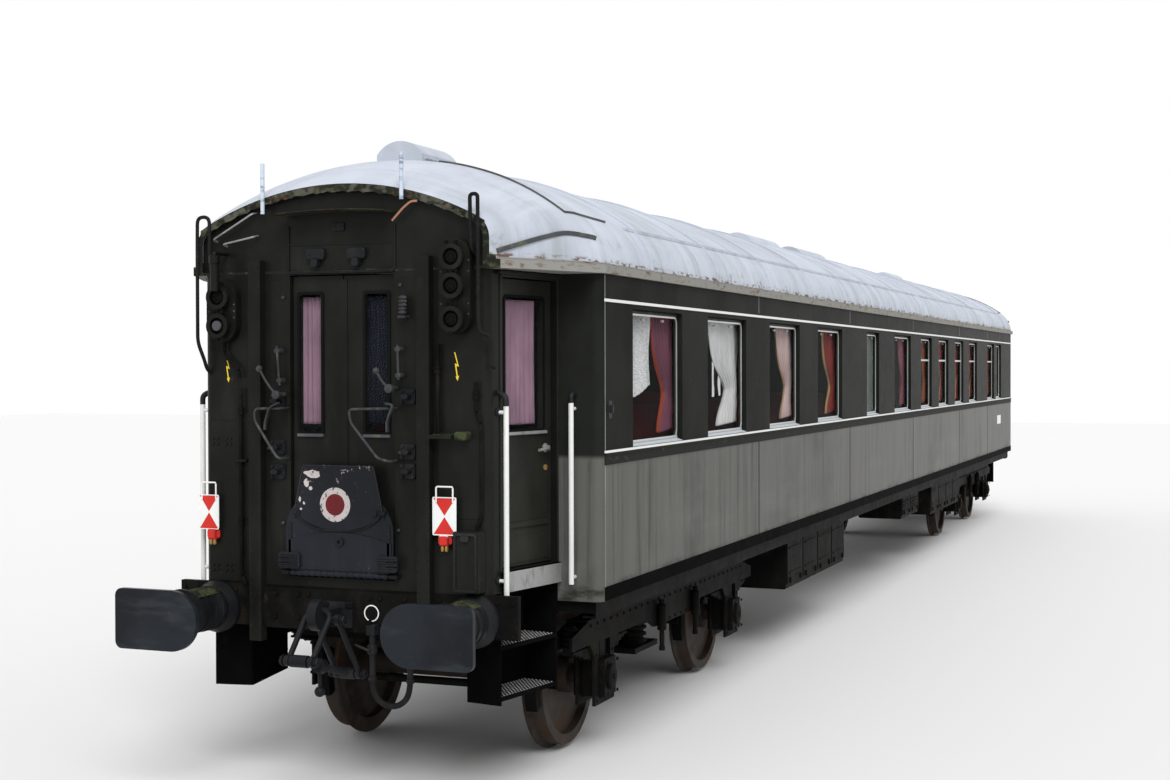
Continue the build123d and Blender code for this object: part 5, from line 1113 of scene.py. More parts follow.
@dataclass
class CurtainSet:
    """Curtains inside the windows, each a pleated cloth gathered on its rod and tied back.

    A point is (x, y) = (edge + gathered width * u, wall depth + pleats), with
    pleats = depth * sin(2 pi folds u + phase) and the gathered width shrinking to the tie.
    """

    top: float = 2.93
    inside_y: float = 1.312
    folds: int = 7
    pleat: float = 0.018
    shift: float = 0.12

    def one(self, x0: float, side: int, opens: int, width: float, drop: float, tie: float,
            seed: int, rise: float = 0.0) -> Shape:
        """One curtain at a window's edge.

        Args:
            x0: the window's edge where it hangs, along the coach.
            side: which side wall, -1 or 1.
            opens: 1 if it spreads toward +X, -1 toward -X.
            width: gathered width at the rod.
            drop: length from the rod to the foot.
            tie: share of the width left at the tie.
            seed: makes each pleat row differ.
            rise: share of the drop by which the foot climbs to the inner edge.

        Returns:
            A grid of cloth with u across and v down.
        """
        rng = np.random.default_rng(seed)
        u = np.linspace(0.0, 1.0, 85)[None, :]
        v = np.linspace(0.0, 1.0, 60)[:, None]
        pinch = np.exp(-((v - 0.66) / 0.2) ** 2)
        sweep_in = 1.0 - (1.0 - tie) * (0.55 * np.clip(v / 0.66, 0, 1) ** 1.6 + 0.45 * pinch)
        span = width * sweep_in
        wave = sum(np.sin(TAU * self.folds * k * u + rng.uniform(0, TAU) + 0.9 * v * k) / k for k in (1, 2))
        sag = 0.02 * np.sin(TAU * 1.3 * u + rng.uniform(0, TAU)) * v
        depth = self.pleat * wave * (0.65 + 0.35 * v) + 0.006 * pinch
        x = x0 + opens * (span * u + 0.25 * sag)
        y = side * (self.inside_y - 0.014 - np.abs(depth) * 1.1)
        z = self.top - drop * v * (1.0 - rise * u ** 2) - 0.03 * (1 - tie) * u * v
        points = np.stack([x + 0 * v, y + 0 * v, z + 0 * u], axis=-1)
        uv = np.stack([u + 0 * v, v + 0 * u], axis=-1)
        return grid(points, uv=uv)

    def hang(self, name: str, shape: Shape, finish: Finish) -> None:
        cloth = piece(shape, name, finish, smooth=True, solid=0.0012)

    def build(self) -> None:
        """Curtains of both sides, coloured window by window."""
        dress_of = [
            (LACE, 0.54, MAUVE, 0.46), (None, 0.0, WHITE_CLOTH, 0.80),
            (WHITE_CLOTH, 0.16, ROSE, 0.56), (None, 0.0, CRIMSON, 0.50), None,
            (MAUVE, 0.36, MAUVE, 0.36), (CRIMSON, 0.26, ORANGE, 0.30), (ORANGE, 0.26, CRIMSON, 0.3),
            (CRIMSON, 0.26, CRIMSON, 0.3), (ORANGE, 0.26, CRIMSON, 0.3), (CRIMSON, 0.26, ORANGE, 0.3), None,
        ]
        windows = WindowDress()
        for side, tag in SIDES:
            rods = []
            for number, (mid, width, choice) in enumerate(zip(windows.mids, windows.widths, dress_of)):
                if choice is None:
                    continue
                first, first_width, second, second_width = choice
                edge = width / 2 - 0.045
                for opens, finish, gathered, label in ((1, first, first_width, "a"),
                                                       (-1, second, second_width, "b")):
                    if finish is None:
                        continue
                    drop, tie, rise = (0.58, 0.92, 0.16) if finish is LACE else (0.80, 0.42, 0.0)
                    start = mid - opens * edge + (self.shift if opens < 0 else 0.04)
                    shape = self.one(start, side, opens, gathered, drop, tie, 31 * number + opens + side + 5,
                                     rise)
                    self.hang(f"curtain_{tag}_{number + 1}{label}", shape, finish)
                rods.append(pipe([(mid - edge, side * (self.inside_y - 0.012), self.top + 0.004),
                                  (mid + edge + self.shift, side * (self.inside_y - 0.012),
                                   self.top + 0.004)],
                                 0.005, 0.0, 10))
            piece(join(rods), f"curtain_rods_{tag}", ALUMINIUM, smooth=True)


def seen(shape: Shape) -> Shape:
    """A shape drawn with the near end's own y and |x|, taken to the far end's place before turning."""
    return shape.mirrored(1, -1)


def end_face(x: float) -> Face:
    """The plane |x| at an end: u along Y, v up, w away from the coach."""
    return Face((x, 0.0, 0.0), AXIS_Y)


def hex_nut(radius: float = 0.014, height: float = 0.012) -> Shape:
    """A six-sided nut with a bevelled top."""
    return plate(circle(radius, 6), height, 0.002)


@dataclass
class Leaf:
    """One door leaf that carries its dress: pieces are drawn on its face and move with its body."""

    kind: str
    corner: Corner
    face: Face

    @property
    def body(self) -> str:
        """Name of the leaf's body."""
        return f"{self.kind}_{self.corner.value[2]}"

    def put(self, shape: Shape, name: str, finish: Finish, slot: str | None = None,
            smooth: bool = False, solid: float = 0.0) -> bpy.types.Object:
        """One piece in the leaf's corner."""
        sx, sy, letter = self.corner.value
        return piece(self.face.lift(shape).mirrored(sx, sy), f"{name}_{letter}", finish, self.body,
                     smooth, solid)

    def curtain(self, name: str, finish: Finish, points: np.ndarray, uv: np.ndarray) -> None:
        """A gathered curtain over a grid of points; it also hangs the dark sheets of painted shade behind two
        gangway panes.
        """
        made = self.put(grid(points, uv=uv), name, finish, None, True, 0.001)


@dataclass
class Gangway:
    """End doorway dress: glazing, laps, curtains and dark shade sheets of the leaves, and the hood's edge."""

    leaf_x: float = 10.634
    mid: float = 0.226
    window: Triple = (0.150, 0.830, 2.175)
    hood_half: float = 0.37
    hood_crown: float = 3.496

    def leaf(self, corner: Corner) -> None:
        """Bead, sill, pane, lap strip and curtain of one leaf; two leaves get a dark navy sheet in place of a
        curtain, painted shade of the unlit space behind their glass.
        """
        leaf = Leaf("gangway_door", corner, end_face(self.leaf_x))
        put = leaf.put
        wide, high, low = self.window
        middle = low + high / 2
        outer = rounded_rect(wide + 0.034, high + 0.034, 0.02, 6) + (self.mid, middle)
        inner = rounded_rect(wide - 0.004, high - 0.004, 0.014, 6) + (self.mid, middle)
        put(ring_band(outer, inner, 0.009), "end_door_bead", SEAL)
        put(bar(wide + 0.03, 0.018, 0.018, (self.mid, low - 0.02, 0.0)), "end_door_sill", STRIP_GREY,
            "rail_white")
        put(bar(wide + 0.006, high + 0.006, 0.005, (self.mid, middle, -0.019), 0.001), "end_door_glass", PANE,
            "window_glass")
        put(bar(0.03, 1.77, 0.006, (0.013, 2.21, 0.0), 0.002), "end_door_lap", END_PAINT, "body_paint")
        across = np.linspace(-wide * 0.6, wide * 0.6, 60)[None, :]
        v = np.linspace(0, 1, 40)[:, None]
        wave = 0.006 * np.sin(across * 190) + 0.003 * np.sin(across * 77 + 3 * v)
        pts = np.stack([across + self.mid + 0 * v, low + high * 0.985 - high * 0.93 * v + 0 * across,
                        -0.046 + wave + 0 * v], axis=-1)
        uv = np.stack([(across + 0.09) / 0.22 + 0 * v, v + 0 * across], axis=-1)
        sx, sy, _ = corner.value
        # Leaves a and d get the dark navy sheet, painted shade of the space behind their glass; leaves b and
        # c get a pink curtain.
        leaf.curtain("end_curtain", NAVY if sx * sy > 0 else PINK, pts, uv)

    def build(self) -> None:
        """Leaves, and the rolled edge and rivets of the hoods."""
        for corner in Corner:
            self.leaf(corner)
        t = np.linspace(-1, 1, 41)
        edge = np.column_stack([np.full(41, 10.806), (self.hood_half - 0.004) * t,
                                self.hood_crown - 0.015 * t ** 2])
        lip = carried(rounded_rect(0.006, 0.022, 0.002, 3), edge, AXIS_X)
        y = row(-0.34, 0.34, 13)
        spots = np.column_stack([np.full(13, 10.72), y,
                                 self.hood_crown + 0.003 - 0.015 * (y / self.hood_half) ** 2])
        dome = turned([(0.007, 0.0), (0.006, 0.002), (0.004, 0.004), (0.0, 0.005)], 8)
        at_ends((("hood_edge", lip, HOOD_PAINT, "body_paint", False),
                 ("hood_rivets", repeated(dome, spots), HOOD_PAINT, "body_paint", True)))


@dataclass
class DoorGear:
    """Clamp levers, grab loops, rods, brackets and rivets round the end doorways."""

    wall: float = 10.66
    out: float = 10.755
    post_x: float = 10.722

    def loops(self) -> Shape:
        """Two grab loops hinged at the jambs, hanging in front of the leaves."""
        wall, x = self.wall, self.out
        left = [(wall, 0.372, 2.318), (x, 0.372, 2.318), (x, 0.548, 2.315), (x, 0.55, 2.245), (x, 0.40, 2.03),
                (x, 0.372, 2.015), (wall, 0.372, 2.015)]
        right = [(wall, -0.372, 2.322), (x, -0.372, 2.322), (x, -0.10, 2.316), (x, -0.112, 2.237),
                 (x, -0.293, 2.028), (x, -0.372, 2.010), (wall, -0.372, 2.010)]
        return join([pipe(p, 0.0085, 0.03, 10, (0.13, 0.41, 0.9)) for p in (left, right)])

    def levers(self) -> Shape:
        """Curved clamp arms and the ball-ended levers on their pivots."""
        x = self.out + 0.012
        arms = [[(x, 0.372, 2.352), (x, 0.436, 2.325), (x, 0.465, 2.235), (x, 0.468, 2.19)],
                [(x, -0.353, 2.352), (x, -0.405, 2.345), (x, -0.376, 2.285), (x, -0.36, 2.225),
                 (x, -0.365, 2.185)]]
        shapes = [carried(rounded_rect(0.012, 0.026, 0.004, 3), rounded_path(p, 0.05), AXIS_X) for p in arms]
        ball = turned([(0.0, -0.021), (0.012, -0.017), (0.019, -0.007), (0.021, 0.0), (0.019, 0.007),
                       (0.012, 0.017), (0.0, 0.021)], 16)
        pivot = turned([(0.0, -0.10), (0.014, -0.10), (0.014, -0.012), (0.026, -0.01), (0.026, 0.01),
                        (0.016, 0.014), (0.0, 0.016)], 16)
        for (y0, z0), (y1, z1) in (((0.39, 2.40), (0.508, 2.558)), ((-0.375, 2.44), (-0.29, 2.543))):
            shapes += [pipe([(x, y0, z0), (x + 0.004, (y0 + y1) / 2, (z0 + z1) / 2 - 0.012), (x, y1, z1)],
                            0.0075, 0.05, 10, (1.0, 0.2, 0.1)),
                       end_face(x).lift(ball.moved(y1, z1)), end_face(x).lift(pivot.moved(y0, z0))]
        return join(shapes)

    def rods(self) -> Shape:
        """Upright control rods with guides above the pivots."""
        x = self.wall + 0.045
        shapes = []
        for (y1, z1), (y0, z0) in (((0.423, 2.695), (0.404, 2.457)), ((-0.40, 2.695), (-0.405, 2.491))):
            shapes.append(pipe([(x, y1, z1), (x, y0, z0)], 0.0075, 0.0, 10))
            shapes += [end_face(self.wall).lift(bar(0.038, 0.03, 0.055,
                                                    (y0 + (y1 - y0) * k, z0 + (z1 - z0) * k, 0.0), 0.006))
                       for k in (0.12, 0.88)]
        return join(shapes)

    def brackets(self) -> Shape:
        """Bolted hinge brackets between jamb and post."""
        shapes = []
        for y, levels in ((-0.448, (2.39, 2.065, 1.95)), (0.44, (2.36, 2.08, 1.93))):
            for z in levels:
                shapes += [bar(0.10, 0.092, 0.014, (y, z, 0.0), 0.005),
                           bar(0.05, 0.03, 0.05, (y, z, 0.014), 0.006),
                           repeated(hex_nut(0.012, 0.010), np.array([(y + a * 0.036, z + b * 0.032, 0.014)
                                                                     for a in (-1, 1) for b in (-1, 1)]))]
        return end_face(self.wall).lift(join(shapes))

    def bright_bolts(self) -> Shape:
        """Bolt pairs beside the jambs."""
        spots = np.array([(y, z, 0.0) for y, z in ((0.505, 2.074), (0.475, 2.074), (-0.395, 2.06),
                                                   (-0.425, 2.06),
                                                   (0.405, 1.62), (-0.385, 1.60), (0.40, 2.99),
                                                   (-0.40, 3.05))])
        return end_face(self.wall).lift(repeated(hex_nut(0.011, 0.014), spots))

    def post_rivets(self) -> Shape:
        """Rivet columns on both posts."""
        columns = [(s * y, z) for s in (-1, 1) for y in (0.541, 0.603) for z in np.arange(0.94, 3.19, 0.062)]
        return end_face(self.post_x).lift(rivets(np.array(columns), 0.0062))

    def build(self) -> None:
        """All of it at both ends."""
        at_seen_ends((
                ("gangway_loops", self.loops(), LEVER, "dark_steel", True),
                ("gangway_levers", self.levers(), LEVER, "dark_steel", True),
                ("gangway_rods", self.rods(), LEVER, "dark_steel", True),
                ("gangway_brackets", self.brackets(), CAST, "dark_steel", False),
                ("bright_bolts", self.bright_bolts(), LEVER, "window_metal", False),
                ("post_rivets", self.post_rivets(), END_PAINT, "body_paint", True)))


@dataclass
class BridgeDress:
    """Bridge plate detail of one end, on the plate's body: roundel, rivets, ribs, latch and hinge."""

    sheet_x: float = 10.702
    front_x: float = 10.710
    block_x: float = 10.728
    hinge_x: float = 10.697
    hinge_z: float = 1.325

    def roundel(self) -> tuple[Shape, Shape]:
        """Chipped white ring and its dark red core."""
        spot = (0.02, 1.744)
        ring = ring_band(circle(0.103, 48), circle(0.065, 48), 0.0016).moved(*spot)
        core = plate(circle(0.065, 48), 0.0018).moved(*spot)
        return end_face(self.front_x).lift(ring), end_face(self.front_x).lift(core)

    def heads(self) -> Shape:
        """Rivets along the flap's edges, the main sheet and the tread sheet."""
        t = row(0, 1, 7)
        flap = [(s * (0.235 + 0.055 * k), 1.955 - 0.25 * k) for s in (-1, 1) for k in t]
        top = [(y, 1.962) for y in row(-0.2, 0.2, 7)]
        tread = [(y, 1.365) for y in row(-0.33, 0.33, 12)]
        sides = [(s * 0.35, z) for s in (-1, 1) for z in row(1.47, 1.60, 4)]
        front = end_face(self.front_x).lift(rivets(np.array(flap + top + tread), 0.006))
        return join([front, end_face(self.sheet_x).lift(rivets(np.array(sides), 0.006))])

    def ironwork(self) -> Shape:
        """Eye boss, latch, pivot bolt, the ribs of both tread blocks and the fold line."""
        front = end_face(self.front_x)
        boss = ring_band(circle(0.028, 28), circle(0.012, 28), 0.012).moved(-0.01, 1.522)
        latch = join([bar(0.075, 0.022, 0.014, (-0.285, 1.700, 0.0), 0.004),
                      hex_nut(0.015, 0.014).moved(-0.262, 1.700, 0.014)])
        pivot = join([turned([(0.0, 0.0), (0.026, 0.0), (0.026, 0.008), (0.0, 0.01)], 24),
                      hex_nut(0.014, 0.018)])
        ribs = [bar(0.12, 0.008, 0.006, (s * 0.33, z, 0.0), 0.002) for s in (-1, 1) for z in row(1.366, 1.438,
                                                                                                 6)]
        y = np.linspace(-0.30, 0.30, 41)
        lip = np.column_stack([np.full(41, self.front_x + 0.003), y, 1.588 + 0.105 * np.abs(y / 0.30) ** 3])
        fold = carried(rounded_rect(0.006, 0.009, 0.002, 3), lip, AXIS_X)
        stays = [bar(0.022, 0.20, 0.008, (s * 0.335, 1.53, 0.0), 0.003) for s in (-1, 1)]
        return join([front.lift(boss), front.lift(latch), front.lift(pivot.moved(0.285, 1.695)), fold,
                     end_face(self.block_x).lift(join(ribs)), end_face(self.sheet_x).lift(join(stays))])

    def edge(self) -> Shape:
        """Worn light edge of the flap's upper outline."""
        points = [(0.304, 1.66), (0.302, 1.692), (0.240, 1.976), (-0.240, 1.976), (-0.302, 1.692),
                  (-0.304, 1.66)]
        path = rounded_path([(self.front_x + 0.001, y, z) for y, z in points], 0.02)
        return carried(rounded_rect(0.003, 0.006, 0.001, 3), path, AXIS_X)

    def chips(self) -> Shape:
        """Worn patches at the flap's corner: closed outlines whose radius varies round the middle."""
        rng = np.random.default_rng(11)
        shapes = []
        for y, z, wide, high in ((0.178, 1.922, 0.052, 0.026), (0.215, 1.872, 0.02, 0.022),
                                 (0.190, 1.838, 0.012, 0.012),
                                 (0.262, 1.772, 0.008, 0.014), (0.235, 1.748, 0.007, 0.009),
                                 (0.255, 1.712, 0.008, 0.006)):
            wobble = 1.0 + 0.28 * rng.standard_normal(30)
            smooth = (wobble + np.roll(wobble, 1) + np.roll(wobble, 2)) / 3
            shapes.append(plate(circle(1.0, 30) * (wide, high) * smooth[:, None] + (y, z), 0.0007))
        return end_face(self.front_x).lift(join(shapes))

    def knuckles(self) -> Shape:
        """Hinge knuckles turned as one stepped profile along the hinge line."""
        rings = [(r, y) for y0 in row(-0.31, 0.31, 15) for r, y in
                 ((0.0162, y0 - 0.012), (0.0195, y0 - 0.010), (0.0195, y0 + 0.010), (0.0162, y0 + 0.012))]
        return Face((self.hinge_x, 0.0, self.hinge_z), AXIS_Z, AXIS_X).lift(turned(rings, 20))

    def build(self) -> None:
        """Both ends."""
        ring, core = self.roundel()
        at_seen_ends((
                ("roundel_ring", ring, CHIPPED, "stripe_white", False),
                ("roundel_core", core, DARK_RED, None, False),
                ("bridge_rivets", self.heads(), BRIDGE, "chassis_black", True),
                ("bridge_iron", self.ironwork(), CAST, "chassis_black", False),
                ("bridge_edge", self.edge(), LEVER, "chassis_black", False),
                ("bridge_chips", self.chips(), CHIPPED, None, False),
                ("bridge_knuckles", self.knuckles(), BRIDGE, "chassis_black", False)), "bridge_plate_{}")


@dataclass
class TailBoards:
    """Tail boards of the near end: white face, two red triangles point to point, handle and lamp socket."""

    x: float = 10.706
    boards: tuple[tuple[float, float, float, float], ...] = (
        (0.912, 0.140, 1.570, 0.210), (-0.704, 0.150, 1.586, 0.220))

    def build(self) -> None:
        """Both boards, in the near end's own coordinates."""
        face = end_face(self.x)
        for number, (y, width, low, height) in enumerate(self.boards):
            top, mid = low + height, low + height / 2
            w = width / 2 - 0.005

            def put(shape: Shape, name: str, finish: Finish, slot: str | None = None,
                    smooth: bool = False) -> None:
                piece(seen(shape).turned(End.NEAR), f"{name}_{number}", finish, smooth=smooth)

            upper = np.array([(y - w, top - 0.005), (y, mid + 0.004), (y + w, top - 0.005)])
            lower = np.array([(y - w, low + 0.005), (y + w, low + 0.005), (y, mid - 0.004)])
            put(face.lift(join([plate(upper, 0.0012), plate(lower, 0.0012)])), "tail_triangles", RED)
            side, rise = width * 0.36, (1.857 if y > 0 else 1.868) - top
            grip = pipe([(self.x, y - side, top - 0.03), (self.x, y - side, top + rise),
                         (self.x, y + side, top + rise),
                         (self.x, y + side, top - 0.03)], 0.0052, 0.012, 10)
            put(grip, "tail_handle", STRIPE, "rail_white", True)
            put(face.lift(ring_band(rounded_rect(width + 0.004, height + 0.004, 0.008, 4) + (y, mid),
                                    rounded_rect(width - 0.006, height - 0.006, 0.004, 4) + (y, mid),
                                    0.0025)),
                "tail_rim", STRIPE, "board_white")
            hold = end_face(10.716)
            u = y - 0.024 if y > 0 else y + 0.002
            ears = [bar(0.020, 0.05, 0.012, (u + s * 0.034, low - 0.03, -0.03), 0.004) for s in (-1, 1)]
            put(hold.lift(join([bar(0.046, 0.052, 0.006, (u, low - 0.031, 0.0), 0.003)] + ears)),
                "tail_socket", RED)
            tip = turned([(0.0, -0.002), (0.0105, -0.002), (0.0105, 0.024), (0.007, 0.030), (0.0, 0.031)], 12)
            down = Face((10.70, u, low - 0.066), AXIS_X, (0.0, -1.0, 0.0))
            put(join([down.lift(tip.moved(0.0, s * 0.013)) for s in (-1, 1)]), "tail_tips", BRASS, None, True)


@dataclass
class EndWallDress:
    """Small pieces of the end walls, drawn with the near end's own y."""

    wall: float = 10.66

    def bar_on(self, y: float, z: float, width: float, height: float, depth: float,
               bevel: float = 0.004) -> Shape:
        """A bevelled block on the wall."""
        return end_face(self.wall).lift(bar(width, height, depth, (y, z, 0.0), bevel))

    def marks(self) -> Shape:
        """Lightning marks: a thin zigzag with an arrow tip, one on each side."""
        bolt = np.array([(0.010, 0.082), (-0.013, -0.004), (0.003, 0.002), (-0.006, -0.058), (-0.014, -0.056),
                         (-0.005, -0.086), (0.008, -0.062), (0.001, -0.060), (0.013, 0.016), (-0.003, 0.010),
                         (0.017, 0.080)])
        return join([end_face(self.wall).lift(plate(bolt + (y, z), 0.0012)) for y,
                     z in ((0.80, 2.56), (-0.765, 2.57))])

    def sockets(self) -> Shape:
        """Cable socket inserts, hinge ears and latches in the round boxes."""
        drum = turned([(0.0, 0.0), (0.0475, 0.0), (0.0475, 0.006), (0.036, 0.012), (0.034, 0.020),
                       (0.012, 0.022), (0.0, 0.022)], 28).moved(0.0, 0.0, -0.029)
        pins = rivets(np.column_stack([circle(0.022, 7), np.full(7, -0.007)]), 0.004, 0.008)
        ears = join([bar(0.020, 0.026, 0.018, (s * 0.03, 0.082, -0.020)) for s in (-1, 1)])
        latch = bar(0.028, 0.020, 0.022, (0.0, -0.082, -0.016), 0.004)
        spots = np.array([(-0.780, 3.201, 0.0), (-0.780, 3.034, 0.0), (-0.780, 2.841, 0.0),
                          (0.805, 2.996, 0.0), (0.805, 2.820, 0.0)])
        return end_face(10.775).lift(repeated(join([drum, pins, ears, latch]), spots))

    def box_edges(self) -> Shape:
        """Bolts round the jumper plates' rims."""
        face = end_face(10.72)
        spots = [(-0.780 + a * 0.088, z) for a in (-1, 1) for z in (2.87, 2.93, 3.117, 3.18)]
        spots += [(0.805 + a * 0.088, z) for a in (-1, 1) for z in (2.87, 2.91, 2.95)]
        return face.lift(rivets(np.array(spots), 0.007))

    def catches(self) -> Shape:
        """Bolt plate and two catches on the head of the doorway, with a guide strip."""
        shapes = [self.bar_on(y, 3.245, 0.124, 0.068, 0.034, 0.008) for y in (0.163, -0.115)]
        shapes += [self.bar_on(y, 3.19, 0.045, 0.05, 0.05, 0.006) for y in (0.163, -0.115)]
        shapes += [self.bar_on(0.013, 3.406, 0.077, 0.050, 0.014), self.bar_on(0.0, 3.137, 0.72, 0.016, 0.02),
                   self.bar_on(0.012, 3.305, 0.685, 0.006, 0.006, 0.001),
                   self.bar_on(0.362, 3.28, 0.012, 0.28, 0.01),
                   self.bar_on(-0.362, 3.28, 0.012, 0.28, 0.01)]
        heads = [(y + a, 3.245, 0.034) for y in (0.163, -0.115) for a in (-0.04, 0.04)]
        heads += [(0.013 + a, 3.406, 0.014) for a in (-0.022, 0.022)]
        return join(shapes + [end_face(self.wall).lift(rivets(np.array(heads), 0.008))])

    def frame_rivets(self) -> Shape:
        """Rivet rows of the corner panels and along the doorway head."""
        top = [(y, 3.10) for y in row(-0.50, 0.50, 30) if abs(y) > 0.37]
        sides = [(s * 0.925, z) for s in (-1, 1) for z in np.arange(1.28, 3.08, 0.07)]
        panel = [(-y, z) for y in (0.66, 0.915) for z in np.arange(1.70, 2.16, 0.058)]
        head = [(s * 0.352, z) for s in (-1, 1) for z in np.arange(3.16, 3.42, 0.05)]
        return end_face(self.wall).lift(rivets(np.array(top + sides + panel + head), 0.0055))

    def panels(self) -> Shape:
        """Raised lower panels beside the posts."""
        outline = np.array([(0.628, 1.25), (0.930, 1.25), (0.930, 2.234), (0.749, 2.234), (0.628, 2.311)])
        left = plate(outline, 0.012, 0.003)
        right = plate(rounded_rect(0.285, 0.50, 0.012, 4) + (-0.785, 1.93), 0.004, 0.002)
        groups = repeated(hex_nut(0.0085, 0.008), np.array([
            (y + a * 0.016, z + b * 0.016, 0.012) for y in (0.885, 0.79) for z in (2.11, 1.33) for a in (-1,
                                                                                                         1)
            for b in (-1, 1)]))
        ledge = bar(0.09, 0.016, 0.03, (0.69, 1.995, 0.012), 0.003)
        return end_face(self.wall).lift(join([left, right, groups, ledge]))

    def pipes(self) -> Shape:
        """Cable pipes beside the posts, with unions."""
        x = self.wall + 0.03
        lines = [
            [(x, 0.69, 2.44), (x, 0.69, 1.30), (x, 0.66, 1.24)],
            [(x, -0.655, 2.70), (x, -0.655, 2.30), (x, -0.66, 2.24), (x, -0.66, 2.185)],
            [(x, 0.805, 2.74), (x, 0.805, 2.64), (x, 0.70, 2.56), (x, 0.70, 2.50)],
            [(x, -0.90, 2.48), (x, -0.90, 2.30), (x, -0.935, 2.24), (x, -0.935, 1.70), (x, -0.90, 1.63)],
        ]
        tubes = [pipe(points, 0.012, 0.04, 10) for points in lines]
        union = turned([(0.0, -0.022), (0.020, -0.022), (0.020, -0.008), (0.016, -0.006), (0.016, 0.006),
                        (0.020, 0.008), (0.020, 0.022), (0.0, 0.022)], 6)
        spots = np.array([(x, 0.69, 2.30), (x, 0.69, 1.62), (x, -0.655, 2.55), (x, -0.90, 2.40)])
        return join(tubes + [repeated(UPRIGHT.lift(union), spots)])

    def hairpins(self) -> Shape:
        """Cables that rise over the roof's edge in front of it: a hairpin on each side."""
        x = 10.735
        left = [(10.66, 0.925, 2.53), (10.70, 0.927, 2.56), (x - 0.01, 0.93, 2.62), (x, 0.968, 2.72),
                (x, 0.968, 3.30), (x, 0.966, 3.49), (x, 0.88, 3.49), (x, 0.878, 3.30), (x - 0.01, 0.88, 3.16),
                (10.66, 0.885, 3.13)]
        right = [(10.66, -1.005, 2.56), (x - 0.03, -1.01, 2.57), (x - 0.02, -1.012, 2.745), (x, -0.945, 2.76),
                 (x, -0.938, 2.86), (x, -0.937, 3.40),
                 (x, -0.936, 3.56), (x, -0.887, 3.56), (x, -0.889, 3.40), (x, -0.895, 3.24),
                 (10.66, -0.90, 3.21)]
        return join([pipe(p, 0.0115, 0.045, 10, (0.9, 0.31, 0.1)) for p in (left, right)])

    def roof_rods(self) -> Shape:
        """Upright rods in front of the roof's end."""
        x = 10.722
        return join([pipe([(x, y, z0), (x, y, z1)], 0.0125, 0.0, 12) for y, z0, z1 in
                     ((0.507, 3.495, 3.80), (-0.438, 3.549, 3.826))])

    def slant_rods(self) -> Shape:
        """Two light rods that slant under the roof's edge on the left."""
        x = self.wall + 0.05
        return join([pipe([(self.wall, y0, z0 - 0.01), (x, y0, z0), (x, y1, z1), (self.wall, y1, z1 + 0.01)],
                          0.006, 0.02, 10) for y0, z0, y1, z1 in ((0.87, 3.35, 0.59, 3.50),
                                                           (0.80, 3.32, 0.58, 3.36))])

    def cable_plug(self) -> Shape:
        """Plug hanging in the upper left cable socket, with its collar and the clip that holds it."""
        x, y, side = 10.80, 0.80, (0.9, 0.31, 0.1)
        body = pipe([(x, y, 3.25), (x, y, 3.03)], 0.028, 0.0, 18, side)
        collar = pipe([(x, y, 3.245), (x, y, 3.20)], 0.034, 0.0, 18, side)
        return join([body, collar, pipe([(self.wall, y, 3.262), (x, y, 3.262), (x, y, 3.24)], 0.012, 0.02, 10,
                                        (0, 1, 0))])

    def earth_link(self) -> Shape:
        """Copper strip that rises beside the hood."""
        x = self.wall + 0.06
        path = rounded_path([(x, -0.375, 3.425), (x, -0.45, 3.50), (x, -0.50, 3.535), (x, -0.54, 3.535)],
                            0.03)
        return carried(rounded_rect(0.013, 0.004, 0.001, 3), path, AXIS_X)

    def insulators(self) -> Shape:
        """Ribbed insulator stack right of the doorway, turned from a wavy profile."""
        h = np.linspace(0.0, 0.11, 34)
        r = 0.017 + 0.010 * np.abs(np.sin(h / 0.11 * math.pi * 5))
        stack = turned([(0.0, 0.0), (0.012, 0.0)] + np.column_stack([r, h + 0.004]).tolist() + [(0.0, 0.118)],
                       20)
        upright = Face((self.wall + 0.045, -0.435, 2.87), AXIS_X, AXIS_Y)
        foot = self.bar_on(-0.435, 2.86, 0.05, 0.016, 0.07, 0.004)
        return join([upright.lift(stack), foot])

    def heater_box(self) -> Shape:
        """Lid frame, hinge and cleats on the electric heating box."""
        face = end_face(self.wall + 0.105)
        outer = rounded_rect(0.15, 0.34, 0.012, 4) + (-0.866, 1.438)
        inner = rounded_rect(0.12, 0.31, 0.010, 4) + (-0.866, 1.438)
        lid = [ring_band(outer, inner, 0.008), bar(0.05, 0.035, 0.02, (-0.866, 1.575, 0.0), 0.004)]
        heads = rivets(np.array([(y, z, 0.007) for y in (-0.80, -0.932) for z in row(1.29, 1.585, 5)]), 0.007)
        return face.lift(join(lid + [heads]))

    def moss_step(self) -> Shape:
        """Mossy block beside the step bracket, and the bracket's raised holes."""
        block = self.bar_on(-0.822, 2.165, 0.078, 0.05, 0.085, 0.008)
        ring = ring_band(circle(0.011, 14), circle(0.007, 14), 0.003)
        spots = np.array([(b, a, 0.0) for a in row(-0.05, 0.05, 4) for b in (0.03, 0.07)])
        top = Face((self.wall, -0.701, 2.172), AXIS_X, AXIS_Y)
        return join([block, top.lift(repeated(ring, spots))])

    def headstock(self) -> Shape:
        """Bolts of the headstock, nose plate and hook guide."""
        low = [(s * y, z, 0.0) for s in (-1, 1) for y in row(0.56, 1.12, 7) for z in (1.01, 1.20)]
        nose = [(s * y, z, 0.04) for s in (-1, 1) for y in (0.28, 0.21, 0.44) for z in (1.196, 1.054)]
        nuts = end_face(self.wall).lift(repeated(hex_nut(), np.array(low + nose)))
        guide = [bar(0.05, 0.03, 0.012, (y, 1.148, 0.07), 0.004) for y in (0.08, -0.085)]
        return join([nuts, end_face(self.wall).lift(join(guide))])

    def nose_ring(self) -> Shape:
        """Bare painted ring on the nose plate."""
        return end_face(10.70).lift(ring_band(circle(0.05, 36), circle(0.043, 36), 0.0012).moved(-0.218,
                                                                                                 1.105))

